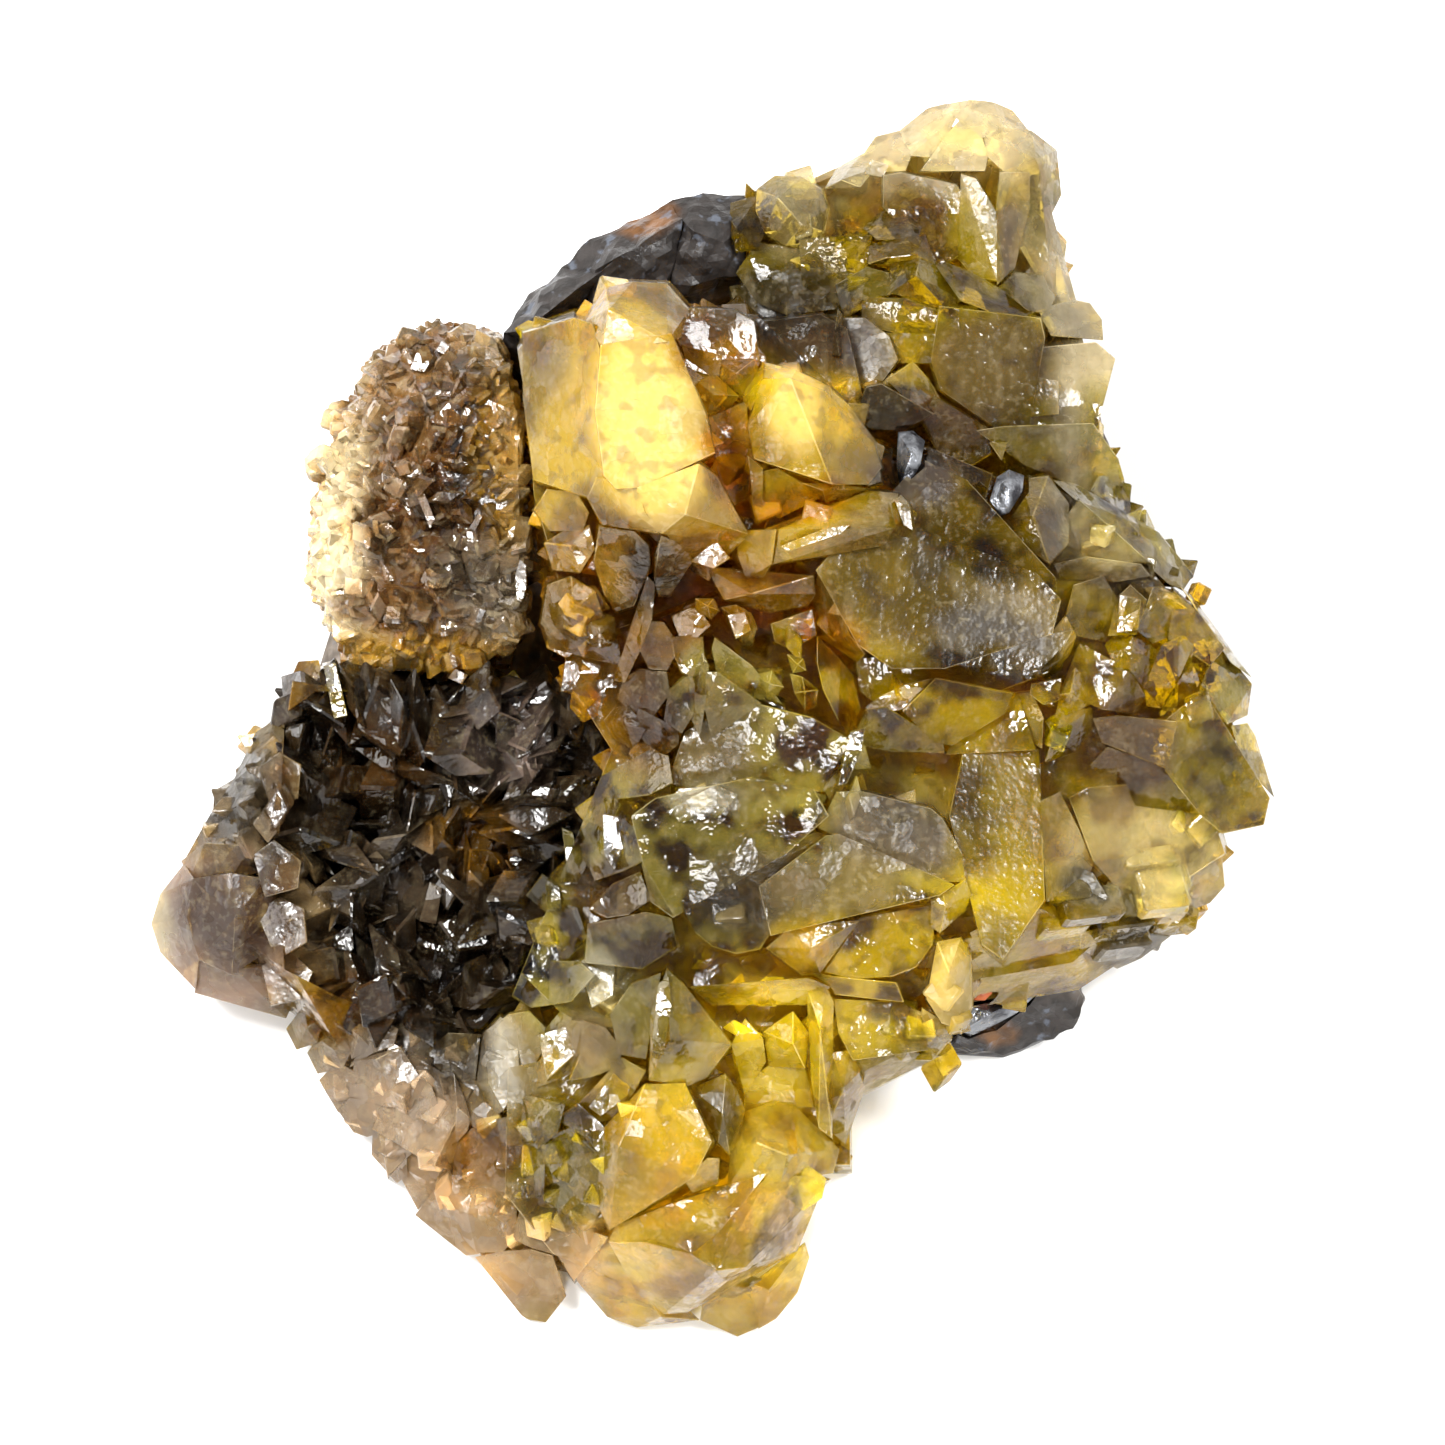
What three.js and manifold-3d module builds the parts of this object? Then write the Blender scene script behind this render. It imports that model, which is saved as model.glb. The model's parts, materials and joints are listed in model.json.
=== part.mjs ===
// Fluorite crystal cluster on dark matrix, resting on its flat underside.
// Millimetres, +Z up. The origin is the middle of the box's underside.
import * as THREE from 'three';
import { ConvexGeometry } from 'three/addons/geometries/ConvexGeometry.js';
import { mergeVertices } from 'three/addons/utils/BufferGeometryUtils.js';
import Module from 'manifold-3d';

// The crystals are described on the specimen's face, as it looks from straight in front of it:
// x to the right, y up the face, w out of the face. The face leans back from the upright.
const FACE_LEAN = THREE.MathUtils.degToRad(70);
const SIGHT_DISTANCE = 300;
const FACE_HEIGHT = 25;

// Spaces between pieces, and the lowest level that the crystals reach above the resting plane.
const PIECE_GAP = 0.3;
const CRYSTAL_CLEARANCE = 0.5;
const ROOT_FLARE = 1.12;

// Corners that hold less than this share of a crystal are left out, down to a fewest.
const SLIGHT_CORNER = 0.03;
const FEWEST_CORNERS = 4;

// Corners nearer than this are one corner.
const MERGED = 1e-4;

// The rock's low slab: its thickness, and how wide its foot and its top are beside its middle.
const ROCK_THICKNESS = 5;
const ROCK_FOOT = { height: -1, share: 0.96 };
const ROCK_TOP_SHARE = 0.9;

// How far the back reaches at the resting plane and at the height of the face's middle.
const BACK_AT_FOOT = 38;
const BACK_AT_TOP = 46;

// Side of a block that is larger than the whole specimen.
const ENDLESS = 400;

// Cells and pockets move their corners out by more than the gap, as the gap is across their sides.
const CELL_WIDENING = 1.25;
const POCKET_WIDENING = 1.4;
const LEAST_REACH = 0.2;

// Turn between one crystal and the next round a centre, which spreads them evenly.
const SPREAD_TURN = 2.39996;

// A small crystal of a crust: least and most of each size, as shares of the crystal's own size.
const SMALL_LENGTH = [0.7, 1.3];
const SMALL_WIDTH = [0.35, 0.55];
const SMALL_DEPTH = [0.22, 0.42];
const SMALL_TILT = [-0.45, 0.45];
const SMALL_FOOT = -0.6;
const SMALL_SHOULDERS = [0.5, 0.6];
const SMALL_OVERHANG = 1.2;
const SMALL_RIDGE = 0.2;

// The brown cushion: where its crystals start from, how far they stand out and how large they are.
const DRUSE_CRYSTALS = 44;
const DRUSE_CRYSTAL_SIZE = 2.3;
const DRUSE_SIZES = [0.8, 1.3];
const DRUSE_CENTRE = { x: -18.6, y: 13.4, w: -22 };
const DRUSE_REACH = { x: 6.4, y: 10.4, w: 13.0 };
const DRUSE_LIFT = 1.0;
const DRUSE_COVER = 1.15;
const DRUSE_SQUARENESS = 0.12;
const DRUSE_TURN = 0.3;
const DRUSE_SEED = 31;

// The smoky crust: a bowl in the hollow, with crystals that look to a point above it.
const CRUST_CRYSTALS = 24;
const CRUST_CRYSTAL_SIZE = 3.0;
const CRUST_SIZES = [0.7, 1.4];
const CRUST_THICKNESS = 2.2;
const CRUST_TOP = -11.5;
const CRUST_SCATTER = [-0.6, 0.6];
const CRUST_TURN = 0.5;
const CRUST_SEED = 77;
const BOWL_MIDDLE = { x: -19.5, y: -8.6 };
const BOWL_FOCUS = 12;
const BOWL_REACH = { x: 9.2, y: 10.6 };
const BOWL_MOUTH = { share: 0.98, level: -11 };
const BOWL_SIDE = { share: 0.9, rise: 2 };
const BOWL_FLOOR_SHARE = 0.7;
const BOWL_FLAT_SHARE = 0.62;
const BOWL_RISE = 3.2;
const BOWL_SINK = 0.5;

// Crystals that cover the flanks between the face and the rock.
const FLANK_CRYSTALS = 12;
const FLANK_CRYSTAL_SIZE = 9;
const FLANK_SIZES = [0.65, 1.15];
const FLANK_INSET = 0.95;
const FLANK_LIFT = 0.45;
const FLANK_SCATTER = 0.7;
const FLANK_TOP = -12.5;
const FLANK_ROOM_TOP = -12;
const FLANK_SEED = 5;

const wasm = await Module();
wasm.setup();

// Turns a place on the face, as seen from the sight distance, into the part's own frame.
function onFace(x, y, w) {
  const nearer = 1 - w / SIGHT_DISTANCE;
  const across = x * nearer;
  const up = y * nearer;
  return new THREE.Vector3(
    across,
    up * Math.sin(FACE_LEAN) - w * Math.cos(FACE_LEAN),
    up * Math.cos(FACE_LEAN) + w * Math.sin(FACE_LEAN) + FACE_HEIGHT,
  );
}

// The level w at which the line of sight through x, y is at a height above the resting plane.
function levelAbove(height, y) {
  const rise = FACE_HEIGHT - height + y * Math.cos(FACE_LEAN);
  return -rise / (Math.sin(FACE_LEAN) - (y / SIGHT_DISTANCE) * Math.cos(FACE_LEAN));
}

// Makes a solid of a closed convex geometry.
function solidOf(geometry) {
  geometry.deleteAttribute('normal');
  geometry.deleteAttribute('uv');
  const merged = mergeVertices(geometry, MERGED);
  return new wasm.Manifold(new wasm.Mesh({
    numProp: 3,
    vertProperties: Float32Array.from(merged.attributes.position.array),
    triVerts: Uint32Array.from(merged.index.array),
  }));
}

function hull(points) {
  return solidOf(new ConvexGeometry(points));
}

function volumeOf(geometry) {
  const places = inGroups(Array.from(geometry.attributes.position.array), 3);
  const corners = places.map((place) => new THREE.Vector3(...place));
  return inGroups(corners, 3).reduce((sum, [a, b, c]) => sum + a.dot(b.clone().cross(c)) / 6, 0);
}

// Leaves out the corners that hardly change a crystal, the slightest first. shape makes its points.
function withoutSlightCorners(corners, shape) {
  const volume = (some) => volumeOf(new ConvexGeometry(shape(some)));
  const whole = volume(corners);
  let kept = corners;
  while (kept.length > FEWEST_CORNERS) {
    const tries = kept.map((_, index) => kept.filter((__, other) => other !== index));
    const left = tries.map(volume);
    const best = left.indexOf(Math.max(...left));
    if (left[best] < whole * (1 - SLIGHT_CORNER)) break;
    kept = tries[best];
  }
  return kept;
}

function unite(solids) {
  return solids.reduce((whole, solid) => whole.add(solid));
}

function inGroups(values, size) {
  const groups = [];
  for (let start = 0; start < values.length; start += size) {
    groups.push(values.slice(start, start + size));
  }
  return groups;
}

function average(values) {
  return values.reduce((sum, value) => sum + value, 0) / values.length;
}

// Corner points of the visible faces, and the same corners again at the crystal's root. The lines
// between them meet in one point, so each side is flat. A flare over 1 widens the crystal to its root.
function rooted(corners, root, flare) {
  const [midX, midY, top] = [0, 1, 2].map((axis) => average(corners.map((corner) => corner[axis])));
  const widening = flare * (SIGHT_DISTANCE - root) / (SIGHT_DISTANCE - top);
  const meeting = onFace(midX, midY, top + (top - root) / (widening - 1));
  const faceLevel = (point) => point.y * -Math.cos(FACE_LEAN) + (point.z - FACE_HEIGHT) * Math.sin(FACE_LEAN);
  const meetingLevel = faceLevel(meeting);
  const visible = corners.map(([x, y, w]) => onFace(x, y, w));
  const roots = visible.map((point) => {
    const share = (meetingLevel - root) / (meetingLevel - faceLevel(point));
    return meeting.clone().lerp(point, share);
  });
  return [...visible, ...roots];
}

// Corners of one flat face. outline holds x, y pairs, height is w at its middle, slope is how much w
// rises towards +x and +y.
function flatFace(outline, height, slope) {
  const corners = inGroups(outline, 2);
  const [midX, midY] = [0, 1].map((axis) => average(corners.map((corner) => corner[axis])));
  const nearer = 1 - height / SIGHT_DISTANCE;
  return corners.map(([x, y]) => {
    const climb = slope[0] * (x - midX * nearer) + slope[1] * (y - midY * nearer);
    return [x, y, (height + climb) / (1 + (slope[0] * x + slope[1] * y) / SIGHT_DISTANCE)];
  });
}

// A crystal with one flat face to the front.
function tile(outline, height, slope, root, flare = ROOT_FLARE) {
  const shape = (some) => rooted(some, root, flare);
  return hull(shape(withoutSlightCorners(flatFace(outline, height, slope), shape)));
}

// A crystal with several visible faces. corners holds x, y, w triples.
function gem(corners, root, flare = ROOT_FLARE) {
  const shape = (some) => rooted(some, root, flare);
  return hull(shape(withoutSlightCorners(inGroups(corners, 3), shape)));
}

// A block whose visible corners stand straight above a level, a little wider or narrower there.
function standing(corners, level, flare) {
  const tops = corners.map(([x, y, w]) => onFace(x, y, w));
  const [midX, midY] = [average(tops.map((top) => top.x)), average(tops.map((top) => top.y))];
  const feet = tops.map((top) => new THREE.Vector3(
    midX + (top.x - midX) * flare,
    midY + (top.y - midY) * flare,
    level,
  ));
  return hull([...tops, ...feet]);
}

// Repeatable random numbers between 0 and 1, by the usual linear rule modulo 2 to the 32.
function seededRandom(seed) {
  const factor = 1664525;
  const step = 1013904223;
  const range = 2 ** 32;
  let state = seed;
  return () => {
    state = (state * factor + step) % range;
    return state / range;
  };
}

// A random number between a least and a most.
function within([least, most], random) {
  return least + (most - least) * random();
}

// Golden group: cap, broad slab, wedge, left face and the crystals to the right of them.
const goldenGroup = {
  cap: gem([-5.3, 28.8, 2.4, -3.7, 26.5, 6.6, -6.9, 27.0, 6.0, -7.1, 28.4, 2.0, -8.4, 26.2, 2.6,
    -8.2, 25.0, 3.6, -3.0, 28.7, 1.6, -1.5, 27.0, 2.4, -2.1, 25.1, 5.0, -7.3, 24.4, 6.6,
    -3.0, 24.8, 7.4], -6),
  slab: tile([-7.4, 24.6, -7.8, 22.4, -7.8, 20.2, -7.2, 15.9, -6.4, 15.0, -4.6, 15.1, -0.8, 16.7,
    0.2, 17.4, -0.4, 20.0, -1.6, 23.2, -2.7, 25.4], 7.4, [-0.1, -0.03], -13),
  wedge: gem([-5.0, 15.1, 7.8, -0.9, 16.7, 7.4, 0.3, 15.9, 6.2, 1.2, 13.5, 6.2, 2.4, 12.0, 4.2,
    -1.8, 13.3, 8.2, -3.4, 12.0, 6.7, -5.1, 13.4, 7.2, 1.7, 11.5, 3.6, -0.8, 11.9, 5.2], -8),
  leftFace: tile([-12.6, 25.4, -10.9, 26.1, -9.2, 26.4, -7.9, 26.0, -7.4, 24.0, -7.5, 20.0,
    -7.1, 15.6, -7.9, 14.3, -10.4, 14.8, -11.9, 15.6, -12.2, 18.0, -12.6, 21.0], 2.2, [1.1, 0.06], -14),
  leftStrip: tile([-13.9, 21.6, -13.5, 23.6, -12.4, 24.9, -11.8, 22.0, -12.0, 18.0, -12.2, 15.2,
    -13.1, 16.4, -13.5, 19.0], -3.0, [1.9, 0.1], -14),
  amberBack: tile([-2.5, 25.4, -1.5, 27.1, 0.0, 27.2, 1.5, 26.9, 2.8, 26.2, 3.2, 23.3, 1.8, 22.0,
    0.2, 22.3, -1.5, 23.0], 1.8, [-0.3, -0.15], -13),
  nestling: gem([0.3, 23.6, 2.2, 2.9, 23.7, 2.0, 3.2, 22.6, 1.6, 2.1, 20.9, 1.2, 0.2, 22.0, 1.8,
    1.6, 22.7, 3.6], -10),
  rightCrystal: gem([3.3, 22.3, 3.5, 5.2, 22.4, 5.0, 4.9, 18.2, 6.2, 2.4, 19.2, 3.8, 7.6, 21.5, 3.4,
    9.3, 20.0, 2.5, 10.8, 18.0, 1.7, 11.3, 16.4, 1.6, 10.4, 15.3, 2.4, 8.0, 15.3, 4.1,
    6.0, 16.4, 5.5, 4.2, 16.5, 5.7, 2.8, 17.0, 4.2], -13),
  rightCrystalRim: gem([3.3, 23.5, 1.4, 3.4, 22.4, 3.1, 5.6, 22.9, 2.4, 7.7, 21.9, 2.0, 9.1, 20.6, 1.2,
    9.4, 19.7, 1.4, 10.9, 18.2, 0.6, 11.4, 16.5, 0.4, 11.3, 15.5, 0.4, 5.2, 22.2, 4.2,
    10.4, 15.2, 1.6], -13),
  orangeFloor: tile([0.4, 20.1, 2.3, 20.9, 2.5, 19.0, 2.6, 16.4, 2.4, 14.4, 1.5, 13.9, 0.7, 15.2,
    0.1, 17.6, -0.5, 19.6], 1.0, [-0.3, 0.1], -12),
  orangeCrystal: gem([3.4, 16.2, 2.6, 4.4, 16.4, 3.2, 6.2, 15.2, 2.8, 7.4, 14.5, 1.6, 4.6, 13.1, 0.8,
    3.2, 13.5, 1.2, 4.8, 15.1, 3.6], -10),
  bar: gem([4.5, 12.3, 4.6, 11.8, 14.0, 3.8, 3.2, 12.2, 2.2, 6.0, 13.1, 2.0, 10.4, 14.9, 1.4,
    12.4, 14.7, 1.4, 12.2, 12.4, 4.0, 11.4, 11.2, 2.6, 8.6, 11.3, 3.0, 7.0, 11.7, 3.4,
    5.0, 10.9, 3.4, 4.1, 10.0, 3.0], -8),
  barHead: gem([1.7, 12.2, 3.0, 4.3, 12.3, 4.6, 4.0, 10.0, 4.0, 3.4, 9.1, 2.4, 2.3, 9.0, 2.2,
    1.7, 10.6, 2.4, 3.0, 11.2, 4.8], -8),
};

// Large grey-purple plate and the golden crystals below it.
const plateGroup = {
  plate: tile([8.2, 11.1, 13.6, 12.5, 17.0, 11.0, 20.0, 10.0, 21.6, 9.4, 22.9, 8.6, 23.3, 7.6, 23.0, 6.2,
    22.7, 5.3, 20.0, 4.3, 17.5, 3.7, 15.5, 3.0, 14.0, 2.8, 12.0, 3.0, 10.8, 3.7, 9.7, 4.6,
    8.7, 6.2, 7.7, 8.0, 6.9, 9.6, 7.3, 10.6], 2.2, [-0.07, -0.14], -3, 0.85),
  plateBack: tile([11.8, 14.6, 12.6, 15.4, 13.6, 16.1, 14.0, 17.0, 15.1, 17.0, 16.2, 16.4, 17.0, 15.6,
    18.9, 13.1, 20.3, 11.4, 22.0, 9.9, 22.9, 9.1, 23.0, 8.2, 13.0, 10.5], -0.6, [0.03, -0.32], -10, 0.95),
  plateRim: gem([7.3, 10.0, 1.0, 6.9, 8.2, -1.2, 6.4, 7.2, -2.4, 7.0, 5.2, -2.6, 8.5, 4.2, -2.4,
    9.7, 3.4, -2.0, 10.2, 4.0, 0.2, 9.2, 5.2, 1.2, 8.2, 7.0, 1.4, 7.4, 8.6, 1.3], -10),
  oliveBand: tile([9.6, 3.6, 11.2, 3.2, 14.6, 2.6, 20.0, 4.1, 22.6, 5.0, 24.1, 5.6, 23.8, 4.0, 22.4, 2.7,
    20.5, 1.9, 18.6, 1.3, 13.0, 1.2, 10.8, 0.8, 9.8, 1.6], -2.8, [0.04, 0.3], -12),
  goldenFace: tile([12.7, 0.2, 14.9, 2.4, 16.6, 2.1, 18.6, 1.5, 20.1, 1.4, 19.5, 0.0, 18.0, -0.9,
    16.0, -2.1, 14.8, -1.9, 13.2, -0.3], -0.8, [-0.16, 0.2], -10),
  goldenFoot: tile([9.7, -0.9, 10.3, 0.3, 11.6, 0.5, 12.7, 0.0, 13.4, -0.6, 15.4, -1.9, 15.5, -2.6,
    12.0, -2.5, 9.8, -2.1], -1.3, [0.1, 0.45], -10),
  goldenFootRight: tile([15.9, -2.1, 18.0, -0.8, 19.8, 0.8, 20.4, 1.3, 20.9, 0.2, 21.2, -1.8, 21.6, -2.4,
    19.0, -2.4, 15.6, -2.7], -1.8, [0.12, -0.2], -10),
  oliveSpur: gem([22.9, 0.0, -2.4, 23.2, 1.3, -1.6, 24.2, 3.1, -2.0, 25.1, 2.2, -3.0, 25.2, 0.6, -3.2,
    23.7, -0.1, -2.2, 23.9, 1.4, -1.0], -10),
  uprightCube: tile([16.7, -2.6, 21.8, -2.3, 22.0, -9.0, 22.2, -12.4, 21.0, -15.0, 19.4, -16.4, 18.0, -15.4,
    17.4, -13.0, 16.7, -11.0, 16.4, -8.4, 15.8, -6.8, 16.4, -4.4], -1.4, [-0.08, -0.1], -14),
  uprightCubeSide: gem([21.9, -5.8, -1.8, 23.2, -5.2, -2.8, 24.5, -7.8, -3.4, 25.4, -10.0, -4.2,
    24.6, -12.4, -4.4, 22.3, -12.5, -2.0, 23.0, -9.0, -1.6], -14),
  rightPale: gem([23.8, -5.6, -3.8, 25.0, -4.9, -3.6, 27.6, -4.7, -4.6, 28.2, -7.2, -5.0, 29.6, -9.4, -6.0,
    28.8, -12.0, -7.0, 26.8, -11.4, -5.2, 25.4, -9.8, -3.6, 26.4, -7.4, -3.2], -15),
  rightPaleOuter: tile([28.0, -6.1, 31.0, -6.4, 33.4, -6.8, 33.6, -8.0, 34.2, -9.3, 33.0, -10.2,
    31.4, -11.0, 29.6, -12.4, 28.4, -11.6, 28.6, -9.0], -6.8, [-0.45, 0.12], -16),
  oliveWedge: gem([25.2, -3.4, -4.6, 27.6, -4.8, -5.4, 30.5, -3.6, -5.8, 32.2, -4.6, -6.6, 34.2, -6.0, -7.8,
    33.2, -6.6, -8.0, 28.0, -6.2, -6.6, 26.4, -2.2, -4.2], -14),
};

// Right-hand mass: ridge plate, clear rim crystals, mottled crystals and the long glassy strip.
const rightMass = {
  ridgePlate: tile([25.4, -0.3, 27.0, -0.1, 29.6, -0.6, 31.0, -0.5, 30.4, -3.7, 28.5, -2.9, 26.0, -1.9,
    25.3, -1.0], -3.6, [0.1, 0.5], -12),
  ridgeFace: tile([30.0, -0.6, 31.2, -0.4, 32.2, 1.2, 33.0, 1.2, 34.2, -0.5, 35.0, -2.4, 36.0, -5.0,
    37.2, -5.6, 37.4, -6.4, 36.8, -7.4, 35.6, -8.2, 34.0, -8.0, 32.6, -6.8,
    30.2, -3.8], -5.8, [-0.42, 0.1], -15, 0.85),
  rimCrystal: gem([33.2, 3.6, -7.4, 34.2, 4.2, -9.2, 35.1, 3.2, -9.0, 36.0, 2.0, -9.4, 36.2, 0.8, -9.6,
    35.7, -0.1, -9.2, 34.3, -0.7, -6.8, 32.6, 1.9, -6.4], -16, 0.8),
  rimSplinter: gem([34.6, -0.8, -7.6, 35.7, -0.6, -9.2, 36.2, -1.4, -9.8, 36.4, -3.0, -9.8,
    36.8, -4.2, -9.8, 37.5, -5.6, -9.8, 35.4, -3.4, -7.4], -16, 0.85),
  paleCrystal: gem([23.2, 1.5, -2.8, 24.5, 4.7, -2.8, 25.4, 3.9, -2.0, 27.8, 3.0, -3.4, 28.9, 1.2, -4.4,
    28.0, 0.0, -4.2, 26.0, 0.3, -2.6, 25.1, 2.2, -1.5], -12),
  outerBevel: gem([31.2, 8.5, -7.4, 32.0, 7.9, -9.0, 34.0, 5.2, -9.6, 36.0, 2.4, -10.0, 34.6, 3.4, -8.0,
    32.4, 6.8, -7.0], -15, 0.85),
  glassyStrip: gem([22.7, 15.6, -5.6, 24.2, 15.4, -6.8, 26.4, 14.2, -8.0, 28.0, 13.2, -8.6,
    29.8, 12.1, -8.8, 30.4, 11.0, -8.6, 31.2, 10.3, -9.4, 32.1, 9.3, -9.6, 31.4, 8.2, -8.4,
    30.4, 8.7, -7.2, 28.9, 10.1, -6.2, 26.0, 12.7, -5.4, 24.2, 14.3, -5.0], -15, 0.9),
  oliveCrystal: gem([19.0, 13.1, -3.0, 20.5, 15.6, -4.2, 22.4, 15.9, -4.6, 23.8, 14.0, -4.4,
    23.8, 11.4, -3.6, 22.5, 10.0, -2.4, 20.5, 11.4, -2.2, 21.4, 13.2, -1.6], -12),
};

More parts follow.
